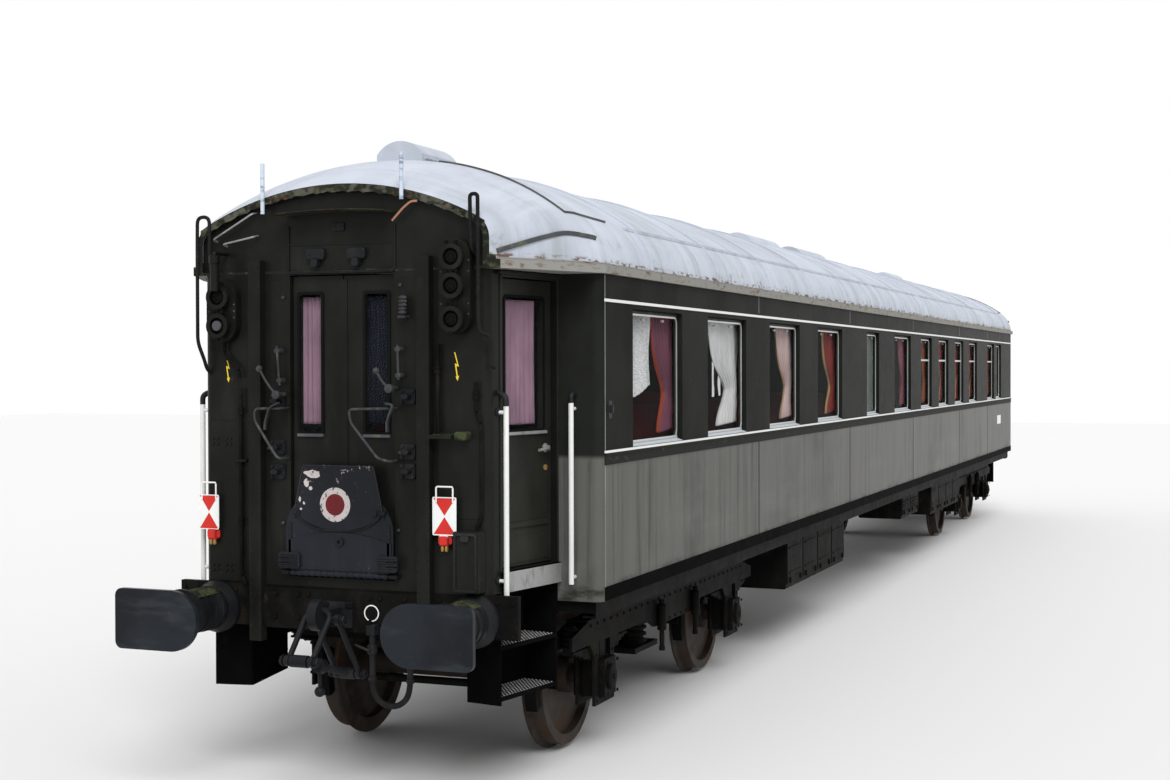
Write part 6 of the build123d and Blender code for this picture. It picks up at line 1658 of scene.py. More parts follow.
    def build(self) -> None:
        """All of it at both ends."""
        at_seen_ends([
            ("lightning_marks", self.marks(), YELLOW, None, False),
            # The socket inserts are black rubber, and their black also serves as painted shade of the
            # sockets' depth.
            ("cable_sockets", self.sockets(), SEAL, "dark_steel", True),
            ("socket_bolts", self.box_edges(), LEVER, "dark_steel", True),
            ("door_catches", self.catches(), CAST, "dark_steel", False),
            ("end_panels", self.panels(), END_PAINT, "body_paint", False),
            ("end_rivets", self.frame_rivets(), END_PAINT, "body_paint", True),
            ("end_pipes", self.pipes(), CHASSIS, "chassis_black", True),
            ("end_hairpins", self.hairpins(), RUBBER, "chassis_black", True),
            ("roof_rods", self.roof_rods(), BLUE_WHITE, None, True),
            ("slant_rods", self.slant_rods(), STAINLESS, "rail_white", True),
            ("cable_plug", self.cable_plug(), END_PAINT, None, True),
            ("socket_cap", pipe([(10.772, 0.80, 2.82), (10.786, 0.80, 2.82)], 0.03, 0.0, 20), STRIP_GREY,
             None, True),
            ("earth_link", self.earth_link(), COPPER, None, False),
            ("insulators", self.insulators(), LEVER, None, True),
            ("heater_lid", self.heater_box(), CAST, "dark_steel", False),
            ("moss_step", self.moss_step(), MOSSY, None, False),
            ("headstock_bolts", self.headstock(), CHASSIS, "chassis_black", False),
            ("nose_ring", self.nose_ring(), STRIPE, None, False),
        ])


@dataclass
class BufferDress:
    """Rings, base bolts and moss of the four buffers."""

    y: float = 0.875
    z: float = 1.09
    base_x: float = 10.66

    def build(self) -> None:
        """At both ends."""
        rings, bolts, moss = [], [], []
        for side in (-1, 1):
            face = Face((self.base_x, side * self.y, self.z), AXIS_Y)
            for w in (0.13, 0.20, 0.27):
                r = 0.130 - 0.03 * (w - 0.088)
                rings.append(face.lift(turned([(r - 0.01, w - 0.016), (r + 0.006, w - 0.014),
                                               (r + 0.006, w + 0.014), (r - 0.01, w + 0.016)], 48)))
            seat = ring_band(circle(0.152, 48), circle(0.1, 48), 0.014).moved(0, 0, 0.382)
            rings.append(face.lift(seat))
            angles = np.arange(8) / 8 * TAU + TAU / 16
            spots = np.column_stack([0.146 * np.cos(angles), 0.146 * np.sin(angles), np.full(8, 0.028)])
            bolts.append(face.lift(repeated(plate(circle(0.013, 6), 0.014, 0.002), spots)))
            arc = np.linspace(math.radians(48), math.radians(132), 30)
            w = np.linspace(0.10, 0.375, 24)[:, None]
            r = 0.1345 - 0.02 * (w - 0.1) + 0.003 * np.sin(arc * 40)[None, :] * np.sin(w * 190)
            pts = np.stack([r * np.cos(arc), r * np.sin(arc), w + 0 * arc], axis=-1)
            moss.append(face.lift(grid(pts)))
        at_ends((("buffer_rings", join(rings), CAST, "dark_steel", True),
                 ("buffer_bolts", join(bolts), CAST, "dark_steel", False)))
        for end in End:
            piece(join(moss).turned(end), f"buffer_moss_{end.name.lower()}", MOSSY, smooth=True, solid=0.003)


@dataclass
class Coupling:
    """Screw coupling detail: thread on the slanting screw, nuts and washers on its pins.

    Lengths along the screw run from its inner trunnion.
    """

    inner: tuple[float, float] = (10.60, 0.72)
    outer: tuple[float, float] = (11.15, 0.88)
    hook_pin: tuple[float, float] = (10.85, 1.08)
    pin_half: float = 0.104
    radius: float = 0.0198

    def axis(self) -> tuple[Face, float]:
        """A plane whose outward direction follows the screw, and the screw's length."""
        dx, dz = self.outer[0] - self.inner[0], self.outer[1] - self.inner[1]
        length = math.hypot(dx, dz)
        return Face((self.inner[0], 0.0, self.inner[1]), AXIS_Y, (-dz / length, 0.0, dx / length)), length

    def thread(self, start: float, end: float) -> Shape:
        """Thread between two places of the screw: r(t, h) = r0 + 2.4 mm * wave(h / pitch - t)."""
        h = np.linspace(start, end, int((end - start) / 0.0012))[:, None]
        t = np.linspace(0, TAU, 16, endpoint=False)[None, :]
        r = self.radius + 0.0006 + 0.0024 * np.abs(((h / 0.010 - t / TAU) % 1.0) * 2 - 1)
        pts = np.stack([r * np.cos(t), r * np.sin(t), h + 0 * t], axis=-1)
        body = grid(pts[::-1], wrap=True)
        body.faces += [np.arange(16)[None, :], (len(h) - 1) * 16 + np.arange(16)[None, ::-1]]
        return body

    def nuts(self) -> Shape:
        """Washer, six-sided nut and split pin end on both ends of the three pins."""
        washer = turned([(0.0, 0.0), (0.034, 0.0), (0.034, 0.005), (0.0, 0.005)], 24)
        cap = join([washer, plate(circle(0.029, 6), 0.016, 0.003, 0.005),
                    turned([(0.0, 0.02), (0.012, 0.02), (0.012, 0.027), (0.0, 0.028)], 12)])
        shapes = []
        for x, z in (self.inner, self.outer, self.hook_pin):
            side = Face((x, self.pin_half, z), (-1.0, 0.0, 0.0)).lift(cap)
            shapes.append(side.both_sides())
        return join(shapes)

    def build(self) -> None:
        """Both ends."""
        face, length = self.axis()
        threads = face.lift(join([self.thread(0.045, 0.6 * length - 0.036),
                                  self.thread(0.6 * length + 0.036, length - 0.045)]))
        at_ends((("coupling_screw", threads, CAST, "dark_steel", True),
                 ("coupling_nuts", self.nuts(), CAST, "dark_steel", False)))


@dataclass
class HoseFittings:
    """Brake pipe cock and hose clips of each end."""

    x: float = 10.74

    def build(self) -> None:
        """Both ends."""
        clip = UPRIGHT.lift(turned([(0.0185, -0.012), (0.0225, -0.011), (0.0225, 0.011), (0.0185, 0.012)],
                                   24))
        clips = repeated(clip, np.array([(self.x, 0.245, 0.725), (self.x, 0.495, 0.725)]))
        cock = join([UPRIGHT.lift(turned([(0.0, -0.03), (0.026, -0.03), (0.03, -0.012), (0.03, 0.012),
                                          (0.026, 0.03), (0.0, 0.03)], 20)).moved(self.x, 0.245, 0.90),
                     pipe([(self.x + 0.02, 0.245, 0.90), (self.x + 0.05, 0.245, 0.90),
                           (self.x + 0.055, 0.16, 0.93)], 0.008, 0.02, 10)])
        at_ends((("hose_clips", clips, CAST, "dark_steel", True), ("brake_cock", cock, CAST, None, True)))


@dataclass
class BogieDress:
    """Bogie detail made about its pivot: coil turns, leaf clips, bolts, cap screws, dampers, pipes."""

    axles: tuple[float, float] = (-1.5, 1.5)
    side_y: float = 1.0

    def coils(self) -> Shape:
        """Spring turns round the coil cores: a helix of radius 46 mm, four turns."""
        shapes = []
        t = np.linspace(0.0, 1.0, 110)
        for axle in self.axles:
            for s in (-0.458, 0.458):
                angle = t * TAU * 4.5
                path = np.column_stack([axle + s + 0.047 * np.cos(angle), self.side_y + 0.047 * np.sin(angle),
                                        0.742 + 0.145 * t])
                shapes.append(carried(circle(0.011, 8), path, (0.02, 0.01, 1.0)))
        for y in (0.5, 0.73):
            angle = t * TAU * 4
            path = np.column_stack([0.089 * np.cos(angle), y + 0.089 * np.sin(angle), 0.485 + 0.2 * t])
            shapes.append(carried(circle(0.017, 8), path, (0.02, 0.01, 1.0)))
        return join([s.mirrored(1, sy) for s in shapes for sy in (-1, 1)])

    def clips(self) -> Shape:
        """Buckles round the leaf stacks and their pins."""
        face = Face((0.0, self.side_y + 0.045, 0.0), (-1.0, 0.0, 0.0))
        buckles = [bar(0.11, 0.13, 0.014, (-a, 0.679, -0.004), 0.004) for a in self.axles]
        edges = [bar(0.03, 0.055, 0.006, (-a + s * 0.30, 0.688, -0.002),
                     0.002) for a in self.axles for s in (-1, 1)]
        both = face.lift(join(buckles + edges))
        return both.both_sides()

    def bolts(self) -> Shape:
        """Bolt rows on the outer side plates and pedestal legs."""
        face = Face((0.0, 1.07, 0.0), (-1.0, 0.0, 0.0))
        top = [(x, 0.872) for x in row(-1.75, 1.75, 29)]
        legs = [(a + s * 0.145, z) for a in self.axles for s in (-1, 1) for z in (0.36, 0.44, 0.52, 0.60,
                                                                                  0.66)]
        mid = [(x, 0.70) for x in row(-0.4, 0.4, 7)]
        heads = face.lift(rivets(np.array(top + legs + mid), 0.012, 0.009, 8))
        return heads.both_sides()

    def caps(self) -> Shape:
        """Axle box covers: lid rim, four screws and a centre boss."""
        shapes = []
        for axle in self.axles:
            face = Face((axle, 1.135, 0.505), (-1.0, 0.0, 0.0))
            lid = turned([(0.0, -0.011), (0.078, -0.011), (0.078, -0.004), (0.05, 0.004), (0.02, 0.006),
                          (0.02, 0.012), (0.0, 0.013)], 32)
            spots = np.array([(sx * 0.085, sy * 0.105, -0.011) for sx in (-1, 1) for sy in (-1, 1)])
            shapes.append(face.lift(join([lid, repeated(plate(circle(0.012, 6), 0.011, 0.002), spots)])))
        return join(shapes).both_sides()

    def dampers(self) -> Shape:
        """Upright dampers beside the bolster, turned from a stepped profile."""
        body = turned([(0.0, 0.0), (0.022, 0.0), (0.022, 0.03), (0.018, 0.035), (0.018, 0.15), (0.034, 0.15),
                       (0.034, 0.33), (0.022, 0.34), (0.022, 0.37), (0.0, 0.37)], 20)
        upright = UPRIGHT.lift(body)
        spots = np.array([(s * 0.40, y, 0.50) for s in (-1, 1) for y in (-1.10, 1.10)])
        return repeated(upright, spots)

    def pipes(self) -> Shape:
        """Brake pipes along the bogie frame."""
        line = pipe([(-1.9, 0.90, 0.84), (-0.5, 0.90, 0.84), (-0.45, 0.90, 0.78), (0.45, 0.90, 0.78),
                     (0.5, 0.90, 0.84), (1.9, 0.90, 0.84)], 0.012, 0.05, 8)
        return line.both_sides()

    def build(self) -> None:
        """Both bogies."""
        made = [("coils", self.coils(), True), ("leaf_clips", self.clips(), False),
                ("frame_bolts", self.bolts(), True),
                ("box_caps", self.caps(), False), ("dampers", self.dampers(), True),
                ("pipes", self.pipes(), True)]
        for tag, x in (("near", -7.55), ("far", 7.55)):
            for name, shape, smooth in made:
                piece(shape.moved(x), f"bogie_{name}_{tag}", CHASSIS, f"bogie_{tag}", smooth)


@dataclass
class UnderfloorDress:
    """Lids, louvres, hinges and latches on the underfloor boxes; tank bands and drain cocks."""

    boxes: tuple[tuple[float, float, int, float, float], ...] = (
        (-4.85, -2.51, 1, 1.225, 0.56), (-4.85, -2.51, -1, 1.225, 0.56), (0.7, 1.8, -1, 1.225, 0.72),
        (2.75, 5.15, -1, 1.225, 0.60), (2.9, 4.9, 1, 1.225, 0.70))
    top: float = 1.045

    def box(self, x0: float, x1: float, side: int, y: float, low: float, louvred: bool) -> list[Shape]:
        """Lid panels with ribs or louvres, latches and hinges of one box."""
        face = Face(((x0 + x1) / 2, side * y, 0.0), (-float(side), 0.0, 0.0))
        count = max(2, round((x1 - x0) / 0.6))
        width, height = (x1 - x0) / count, self.top - low
        middle = low + height / 2 + 0.01
        shapes = []
        for mid in (np.arange(count) - (count - 1) / 2) * width:
            shapes.append(bar(width - 0.03, height - 0.07, 0.012, (mid, middle, 0.0), 0.004))
            if louvred:
                shapes += [bar(width - 0.14, 0.014, 0.012, (mid, z, 0.012), 0.005)
                           for z in np.arange(low + 0.10, self.top - 0.09, 0.035)]
            else:
                shapes += [bar(width - 0.16, 0.02, 0.006, (mid, z, 0.012), 0.002)
                           for z in (low + 0.14, self.top - 0.12)]
            shapes += [bar(0.03, 0.05, 0.016, (mid + s * width * 0.32, low + 0.075, 0.012),
                           0.003) for s in (-1, 1)]
            shapes += [bar(0.05, 0.03, 0.012, (mid + s * width * 0.28, self.top - 0.045, 0.012), 0.003)
                       for s in (-1, 1)]
        return [face.lift(s) for s in shapes]

    def build(self) -> None:
        """All boxes and tanks."""
        for number, box in enumerate(self.boxes):
            piece(join(self.box(*box, louvred=number in (2, 4))), f"box_lids_{number}", CHASSIS)
        across = Face(ORIGIN, AXIS_Y)
        bands = []
        for x0, x1, y, radius in ((-1.7, 0.15, 0.52, 0.165), (-1.7, 0.15, -0.52, 0.165),
                                  (0.7, 1.8, 0.9, 0.2)):
            z = self.top - 0.04 - radius
            for x in row(x0 + 0.25, x1 - 0.25, 4):
                ring = turned([(radius, -0.02), (radius + 0.005, -0.02), (radius + 0.005, 0.02),
                               (radius, 0.02)], 40)
                bands.append(Face((float(x), y, z), AXIS_Y).lift(ring))
            bands.append(Face((x0 + 0.12, y, z), AXIS_Y).lift(across.lift(turned(
                [(0.0, 0.0), (0.012, 0.0), (0.012, 0.03), (0.0, 0.03)], 10)).moved(0, 0, -radius - 0.01)))
        piece(join(bands), "tank_bands", CHASSIS, smooth=True)


@dataclass
class RoofDress:
    """Sheet seams across the roof, rivets of its end edge, rain strips and ventilator louvres."""

    crown: float = 3.883
    crown_radius: float = 2.1
    shoulder: float = 0.405
    half: float = 1.39

    def arc(self, lift: float, count: int = 61, share: float = 1.0) -> np.ndarray:
        """Points over the roof: the crown arc joined to two shoulder arcs.

        The crown centre lies below its top by its radius; each shoulder centre is inside the eaves by
        the shoulder radius, on the line that makes both arcs meet.
        """
        big, small = self.crown_radius, self.shoulder
        cy = self.half - small
        cz = self.crown - big + math.sqrt((big - small) ** 2 - cy ** 2)
        meet = math.atan2(cy, cz - self.crown + big)
        t = np.linspace(-1, 1, count) * share
        total = big * meet + small * (math.pi / 2 - meet)
        s = np.abs(t) * total
        a = np.minimum(s / big, meet)
        b = np.maximum(s - big * meet, 0.0) / small + meet
        on_crown = s <= big * meet
        y = np.where(on_crown, (big + lift) * np.sin(a), cy + (small + lift) * np.sin(b))
        z = np.where(on_crown, self.crown - big + (big + lift) * np.cos(a), cz + (small + lift) * np.cos(b))
        return np.column_stack([np.sign(t) * y, z])

    def seams(self) -> Shape:
        """A low standing seam at each sheet joint."""
        line = self.arc(0.0)
        shapes = []
        for x in np.arange(-9.0, 9.1, 1.5):
            path = np.column_stack([np.full(len(line), x), line])
            shapes.append(carried(rounded_rect(0.03, 0.006, 0.0028, 3), path, AXIS_X))
        return join(shapes)

    def rain_strips(self) -> Shape:
        """Long low strips above both eaves."""
        y, z = self.arc(0.006, 3, 0.80)[2]
        path = np.array([(-9.2, y, z), (0.0, y, z), (9.2, y, z)])
        return carried(rounded_rect(0.012, 0.022, 0.002, 3), path, AXIS_Z).both_sides()

    def edge_rivets(self) -> Shape:
        """Rivets along the end edge of the roof at both ends."""
        t = np.linspace(-0.86, 0.86, 56)
        y = 0.93 * t / 0.86
        z = 3.66 - 2.0 + np.sqrt(2.0 ** 2 - y ** 2) - 0.014
        spots = np.column_stack([np.full(56, 10.7), y, z])
        dome = Face(ORIGIN, AXIS_Y).lift(rivets(np.zeros((1, 2)), 0.006))
        return repeated(dome, spots)

    def edge_strip(self) -> Shape:
        """Mossy strip along the end section's outline, 45 mm deep."""
        y = np.linspace(-0.965, 0.965, 81)
        top = 3.66 - 2.0 + np.sqrt(2.0 ** 2 - y ** 2) - 0.002
        wavy = 0.004 * np.sin(y * 61) + 0.003 * np.sin(y * 143)
        pts = [np.column_stack([np.full(81, x), y, top - d]) for x, d in
               ((10.7002, 0.0), (10.7035, 0.001), (10.7035, 0.0), (10.7002, 0.0))]
        pts[1][:, 2], pts[2][:, 2], pts[3][:, 2] = top - 0.001, top - 0.045 + wavy, top - 0.046 + wavy
        body = grid(np.stack(pts + pts[:1], axis=1))
        ring = np.arange(4)
        body.faces += [ring[None, ::-1], (80 * 5 + ring)[None, :]]
        return body

    def laid(self, corners: Sequence[Point], lift: float, steps: int = 40) -> np.ndarray:
        """A path through corner points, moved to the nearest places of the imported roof's skin."""
        path = rounded_path(corners, 0.08)
        run = np.concatenate([[0.0], np.cumsum(np.linalg.norm(np.diff(path, axis=0), axis=1))])
        at = np.linspace(0.0, run[-1], steps)
        path = np.column_stack([np.interp(at, run, path[:, k]) for k in range(3)])
        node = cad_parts["roof"]
        tree = BVHTree.FromPolygons([node.matrix_world @ v.co for v in node.data.vertices],
                                    [tuple(f.vertices) for f in node.data.polygons])
        found = [tree.find_nearest(Vector(p)) for p in path]
        return np.array([tuple(place + normal * lift) for place, normal, _, _ in found])

    def end_strips(self) -> Shape:
        """Slanting rain strips of the ends, laid on the skin: one above each door, one higher up."""
        low = [(10.655, 1.02, 3.235), (10.20, 1.31, 3.39), (9.94, 1.40, 3.375)]
        high = [(10.05, 1.21, 3.53), (9.45, 1.26, 3.53)]
        seam = [(9.95, 0.30, 3.87), (9.97, 0.77, 3.78), (10.05, 1.21, 3.53)]
        strips = [carried(rounded_rect(0.016, 0.026, 0.003, 3), self.laid(low, 0.006), (0.0, 0.1, 1.0)),
                  carried(rounded_rect(0.010, 0.016, 0.002, 3), self.laid(high, 0.004), (0.0, 0.1, 1.0)),
                  carried(rounded_rect(0.022, 0.006, 0.002, 3), self.laid(seam, 0.001), (1.0, 0.0, 0.1))]
        one = join(strips)
        return join([one.mirrored(sx, sy) for sx in (-1, 1) for sy in (-1, 1)])

    def louvres(self) -> Shape:
        """Slats along both sides of each ventilator."""
        shapes = []
        for x, length in ((-9.2, 0.52), (-0.75, 1.3), (1.6, 1.4), (7.37, 0.9)):
            for side, y in ((-1, 0.07), (1, 0.41)):
                face = Face((x, y, 0.0), (-float(side), 0.0, 0.0))
                shapes += [face.lift(bar(length - 0.08, 0.012, 0.012, (0.0, z, 0.0), 0.005))
                           for z in (3.905, 3.935, 3.965)]
        return join(shapes)

    def build(self) -> None:
        """All roof pieces."""
        piece(self.seams(), "roof_seams", ROOF_PAINT)
        piece(self.rain_strips(), "rain_strips", ROOF_PAINT)
        piece(self.edge_rivets().both_ends(), "roof_edge_rivets", ROOF_EDGE, smooth=True)
        piece(self.edge_strip().both_ends(), "roof_edge_strips", ROOF_EDGE)
        piece(self.end_strips(), "roof_end_strips", STRIP_GREY)
        piece(self.louvres(), "ventilator_louvres", ROOF_PAINT)


@dataclass
class Entrance:
    """Entrance door dress and the fittings round it, in the flat frame of the tapered wall.

    Plane coordinates: u inward from the end corner, v up, w outward from the wall's outer face.
    """

    corner_x: float = 10.66
    corner_y: float = 0.965
    taper: float = math.atan2(0.135, 0.72)
    leaf: tuple[float, float, float, float] = (0.138, 0.718, 1.375, 3.085)
    face_w: float = -0.040
    window: Triple = (0.410, 0.790, 2.190)

    def plane(self, w: float) -> Face:
        """The far left wall's plane at a distance w outward from the wall's face."""
        c, s = math.cos(self.taper), math.sin(self.taper)
        return Face((self.corner_x + w * s, self.corner_y + w * c, 0.0), (-c, s, 0.0))

    def door(self, corner: Corner) -> None:
        """Bead, sill, pane, curtain, handle, kick rail and lock of one door on its own body."""
        door = Leaf("entrance_door", corner, self.plane(self.face_w))
        put = door.put
        wide, high, low = self.window
        u, middle = (self.leaf[0] + self.leaf[1]) / 2, low + high / 2
        outer = rounded_rect(wide + 0.03, high + 0.03, 0.035, 8) + (u, middle)
        inner = rounded_rect(wide - 0.006, high - 0.006, 0.02, 8) + (u, middle)
        put(ring_band(outer, inner, 0.006), "door_bead", SEAL, "window_metal")
        put(bar(wide + 0.05, 0.020, 0.018, (u, low - 0.022, 0.0), 0.004), "door_sill", STAINLESS,
            "window_metal")
        put(bar(wide + 0.006, high + 0.006, 0.005, (u, middle, -0.022), 0.001), "door_glass", PANE,
            "window_glass")
        rail = join([bar(0.50, 0.035, 0.012, (u, 1.62, 0.0), 0.005),
                     bar(0.50, 0.16, 0.003, (u, 1.475, 0.0), 0.001)])
        put(rail, "door_kick_rail", DOOR_PAINT, "body_paint")
        rosette = turned([(0.0, 0.0), (0.028, 0.0), (0.028, 0.006), (0.016, 0.01), (0.016, 0.03),
                          (0.0, 0.031)], 20)
        at_u = self.leaf[1] - 0.065
        lever = pipe([(at_u, 2.07, 0.028), (at_u - 0.015, 2.07, 0.038), (at_u - 0.12, 2.06, 0.038)], 0.009,
                     0.015, 10, (0.1, 0.9, 0.4))
        put(join([rosette.moved(at_u, 2.07), lever]), "door_handle", STAINLESS, "window_metal", True)
        barrel = turned([(0.0, 0.0), (0.018, 0.0), (0.018, 0.006), (0.0, 0.007)], 20).moved(at_u, 1.95)
        put(barrel, "door_lock", BRASS, None, True)
        heads = rivets(np.array([(x, z) for x in row(self.leaf[0] + 0.03, self.leaf[1] - 0.03, 9)
                                 for z in (1.405, 3.055)]), 0.0045)
        put(heads, "door_rivets", DOOR_PAINT, "body_paint", True)
        cu = np.linspace(-0.5, 0.5, 90)[None, :] * (wide - 0.03)
        v = np.linspace(0, 1, 60)[:, None]
        wave = 0.008 * np.sin(cu * 130) + 0.004 * np.sin(cu * 51 + 3 * v)
        pts = np.stack([u + cu + 0 * v, low + high * 0.985 - high * 0.95 * v + 0 * cu, -0.049 + wave + 0 * v],
                       axis=-1)
        uv = np.stack([cu / wide * 0.85 + 0.45 + 0 * v, v + 0 * cu], axis=-1)
        door.curtain("door_curtain", PINK, pts, uv)

    def fittings(self) -> None:
        """Door frame beads, sill covers, tread studs, and feet and bent tops of the handrails."""
        face = self.plane(0.0)
        u0, u1, low, high = 0.122, 0.734, 1.359, 3.101
        frame_bars = [bar(0.016, high - low, 0.008, (u0, (low + high) / 2, 0.0), 0.003),
                      bar(0.016, high - low, 0.008, (u1, (low + high) / 2, 0.0), 0.003),
                      bar(u1 - u0, 0.02, 0.01, ((u0 + u1) / 2, high, 0.0), 0.003)]
        drip = bar(u1 - u0 + 0.08, 0.022, 0.03, ((u0 + u1) / 2, high + 0.016, 0.0), 0.006)
        piece(face.lift(join(frame_bars + [drip])).corners(), "entrance_frames", DOOR_PAINT)
        plate_face = self.plane(0.030)
        ribs = [bar(0.56, 0.006, 0.003, ((u0 + u1) / 2, z, 0.0), 0.001) for z in row(1.25, 1.35, 7)]
        cover = bar(0.60, 0.118, 0.0025, ((u0 + u1) / 2, 1.302, -0.0005), 0.001)
        piece(plate_face.lift(join([cover] + ribs)).corners(), "sill_covers", STAINLESS)
        treads = []
        flat = self.plane(-0.126)
        for z in (0.625, 0.925):
            bumps = np.array([(u, w) for u in row(0.16, 0.70, 19) for w in row(-0.10, 0.10, 8)])
            stud = turned([(0.0065, 0.0), (0.0055, 0.003), (0.0, 0.004)], 6)
            turned_up = Shape(stud.verts[:, [0, 2, 1]], [f[:, ::-1] for f in stud.faces])
            treads.append(repeated(turned_up, np.column_stack([bumps[:, 0], np.full(len(bumps), z),
                                                               bumps[:, 1]])))
        piece(flat.lift(join(treads)).corners(), "tread_studs", STAINLESS, smooth=True)
        caps = [turned([(0.0, 0.0), (0.026, 0.0), (0.026, 0.006), (0.015, 0.014), (0.0, 0.015)],
                       20).moved(0.095, z)
                for z in (1.316, 2.30)]
        piece(face.lift(join(caps)).corners(), "rail_flanges", CAST, smooth=True)
        rear = pipe([(9.945, 1.215, 2.40), (10.00, 1.215, 2.40), (10.0, 1.215, 2.345)], 0.0175, 0.05, 14,
                    (0.1, 0.95, 0.2))
        front = face.lift(pipe([(0.095, 2.336, 0.060), (0.095, 2.392, 0.060), (0.095, 2.415, 0.006)], 0.0172,
                               0.06, 14, (1.0, 0.1, 0.2)))
        piece(join([rear, front]).corners(), "rail_horns", CAST, smooth=True)

    def build(self) -> None:
        """Four doors and the fittings."""
        for corner in Corner:
            self.door(corner)
        self.fittings()


@dataclass
class SeatSet:
    """Padded seats and backs in place of the plain blocks.

    A cushion is |x/a|^n + |y/b|^n + |z/c|^n = 1 with n = 5, with rows of shallow pleats.
    """

    tables: tuple[float, ...] = TABLES
    cabins: tuple[float, ...] = (2.16, 3.485, 4.812, 6.42, 7.88)

    def cushion(self, size: Point, at: Point, pleats: int, power: float = 5.0) -> Shape:
        """One cushion.

        Args:
            size: full lengths along X, Y and Z.
            at: its middle.
            pleats: channels across its width.
            power: larger is squarer.

        Returns:
            A closed surface.
        """
        a = np.linspace(-math.pi / 2, math.pi / 2, 26)[:, None]
        t = np.linspace(0, TAU, 44, endpoint=False)[None, :]

        def bent(value: np.ndarray) -> np.ndarray:
            return np.sign(value) * np.abs(value) ** (2 / power)

        x = bent(np.cos(a)) * bent(np.cos(t))
        y = bent(np.cos(a)) * bent(np.sin(t))
        z = bent(np.sin(a)) + 0 * t
        crease = 1.0 - 0.035 * np.abs(np.sin(y * math.pi * pleats / 2)) ** 0.35
        half = np.array(size) / 2
        pts = np.stack([x * crease, y, z * crease], axis=-1) * half + np.array(at)
        return grid(pts, wrap=True)

    def build(self) -> None:
        """Seats of the saloon on both sides and benches of the cabins."""
        inner, outer = 0.40, 1.305
        mid, width = (inner + outer) / 2, outer - inner
        pads, bases = [], []
        for x in self.tables:
            for sy in (-1, 1):
                for s in (-1, 1):
                    pads.append(self.cushion((0.40, width, 0.16), (x + s * 0.53, sy * mid, 1.66), 4))
                    pads.append(self.cushion((0.09, width, 0.62), (x + s * 0.76, sy * mid, 2.01), 4))
                    bases.append(Face((x + s * 0.53, sy * mid, 1.30), AXIS_X, AXIS_Y).lift(
                        plate(rounded_rect(0.36, width - 0.06, 0.02, 4), 0.29, 0.01)))
        for x in self.cabins:
            edge = x - 0.0175
            pads.append(self.cushion((0.46, 1.72, 0.16), (edge - 0.25, -0.425, 1.66), 6))
            pads.append(self.cushion((0.10, 1.72, 0.62), (edge - 0.055, -0.425, 2.01), 6))
            bases.append(Face((edge - 0.24, -0.425, 1.30), AXIS_X, AXIS_Y).lift(
                plate(rounded_rect(0.42, 1.66, 0.02, 4), 0.29, 0.01)))
        made = piece(join(pads), "seat_cushions", UPHOLSTERY, smooth=True)
        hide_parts("seats")
        base = piece(join(bases), "seat_bases", VARNISH)
        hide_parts("seats")


@dataclass
class TableCloths:
    """A cloth on each saloon table, laid flat on top and hanging at both sides with soft folds."""

    tables: tuple[float, ...] = TABLES
    top: float = 2.0515
    half: float = 0.275
    drop: float = 0.085

    def cloth(self, x: float, sy: int, seed: int) -> Shape:
        """One cloth: along s it rises, crosses and falls; folds grow with the drop."""
        rng = np.random.default_rng(seed)
        reach = self.half + self.drop
        s = np.linspace(-reach, reach, 90)[:, None]
        y = np.linspace(0.635, 1.318, 60)[None, :]
        over = np.clip(np.abs(s) - self.half, 0.0, None)
        wave = 0.012 * np.sin(y * 38 + rng.uniform(0, TAU)) + 0.008 * np.sin(y * 61 + rng.uniform(0, TAU))
        out = np.sign(s) * (np.minimum(np.abs(s),
                                       self.half) + 0.004 * (over > 0) + wave * over / self.drop * 0.6
                            + 0.01 * over / self.drop)
        z = self.top - over
        pts = np.stack([x + out + 0 * y, sy * y + 0 * s, z + 0 * y], axis=-1)
        uv = np.stack([(s / reach + 1) * 0.42 + 0 * y, y / 1.4 + 0 * s], axis=-1)
        return grid(pts, uv=uv)

    def build(self) -> None:
        """All eight cloths."""
        for number, x in enumerate(self.tables):
            for sy in (-1, 1):
                made = piece(self.cloth(x, sy, 5 * number + sy + 1),
                             f"table_cloth_{number}_{'r' if sy < 0 else 'l'}",
                             TABLE_LINEN, smooth=True, solid=0.0012)


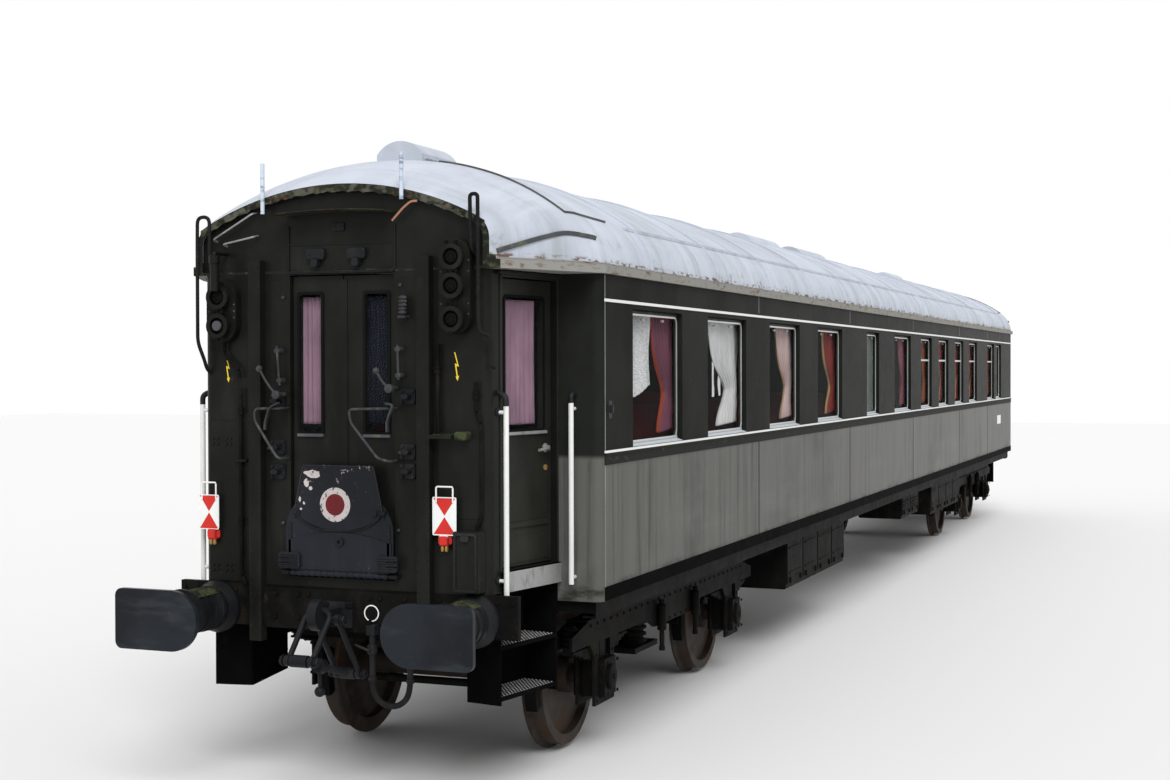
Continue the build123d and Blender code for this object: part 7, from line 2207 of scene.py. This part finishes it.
@dataclass
class Inside:
    """Lamp row and luggage racks inside the saloon."""

    def build(self) -> None:
        """All inside pieces."""
        shades = [Face((float(x), y, 3.115), AXIS_X, (0.0, -1.0, 0.0)).lift(turned(
            [(0.0, 0.0), (0.06, 0.0), (0.085, 0.02), (0.10, 0.05), (0.07, 0.07), (0.0, 0.078)], 24))
            for x in (-8.05, -6.4, -4.65, -3.2) for y in (-0.7, 0.7)]
        piece(join(shades), "ceiling_lamps", RAIL_WHITE, smooth=True)
        bars = [pipe([(-9.6, y + k, 2.985), (-2.6, y + k, 2.985)], 0.007, 0.0, 8)
                for y in (-1.22, 1.22) for k in (-0.09, -0.03, 0.03)]
        piece(join(bars), "luggage_racks", ALUMINIUM, smooth=True)


NODE_FINISHES: dict[str, Finish] = {
    "side_walls": PAINT, "end_walls": END_PAINT, "side_mouldings": MOULDING, "window_frames": FRAME,
    "window_panes": PANE, "roof": ROOF_PAINT, "roof_ventilators": ROOF_PAINT, "floor": LINO,
    "underframe": CHASSIS, "door_hinges": CAST, "entrance_steps": BAND_BLACK_AND_SHADE, "gangway_posts": END_PAINT,
    "rain_hoods": HOOD_PAINT, "bridge_plate_near": BRIDGE, "bridge_plate_far": BRIDGE,
    "buffer_barrels": CAST, "buffer_heads": BUFFER, "draw_gear": CAST, "underfloor_boxes": CHASSIS,
    "handrails": RAIL_WHITE, "jumper_boxes": END_PAINT, "tail_boards": TAIL, "partitions": DARK_WOOD,
    "tables": VARNISH,
    **{f"{name}_{end}": CHASSIS for name in ("bogie_frame", "axle_gear", "brake_gear") for end in ("near",
                                                                                                   "far")},
    **{f"{name}_{letter}": finish for letter in "abcd" for name, finish in
       (("wheelset", WHEEL), ("entrance_door", DOOR_PAINT), ("gangway_door", END_PAINT))},
}


def main() -> None:
    """Camera, hoses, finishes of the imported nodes, then every sub-assembly."""
    logging.basicConfig(level=logging.INFO, format="%(name)s %(message)s", stream=sys.stdout)
    Camera().build()
    for end in End:
        BrakeHose(end).build()
    Studio().build()
    for node, finish in NODE_FINISHES.items():
        dress(node, finish)
    for part in (SideDress(), WindowDress(), CurtainSet(), RoofDress(), Gangway(), DoorGear(), BridgeDress(),
                 TailBoards(), EndWallDress(), BufferDress(), Coupling(), HoseFittings(), BogieDress(),
                 UnderfloorDress(), Entrance(), SeatSet(), TableCloths(), Inside()):
        part.build()
        log.info("built %s", type(part).__name__)


if __name__ == "__main__":
    main()
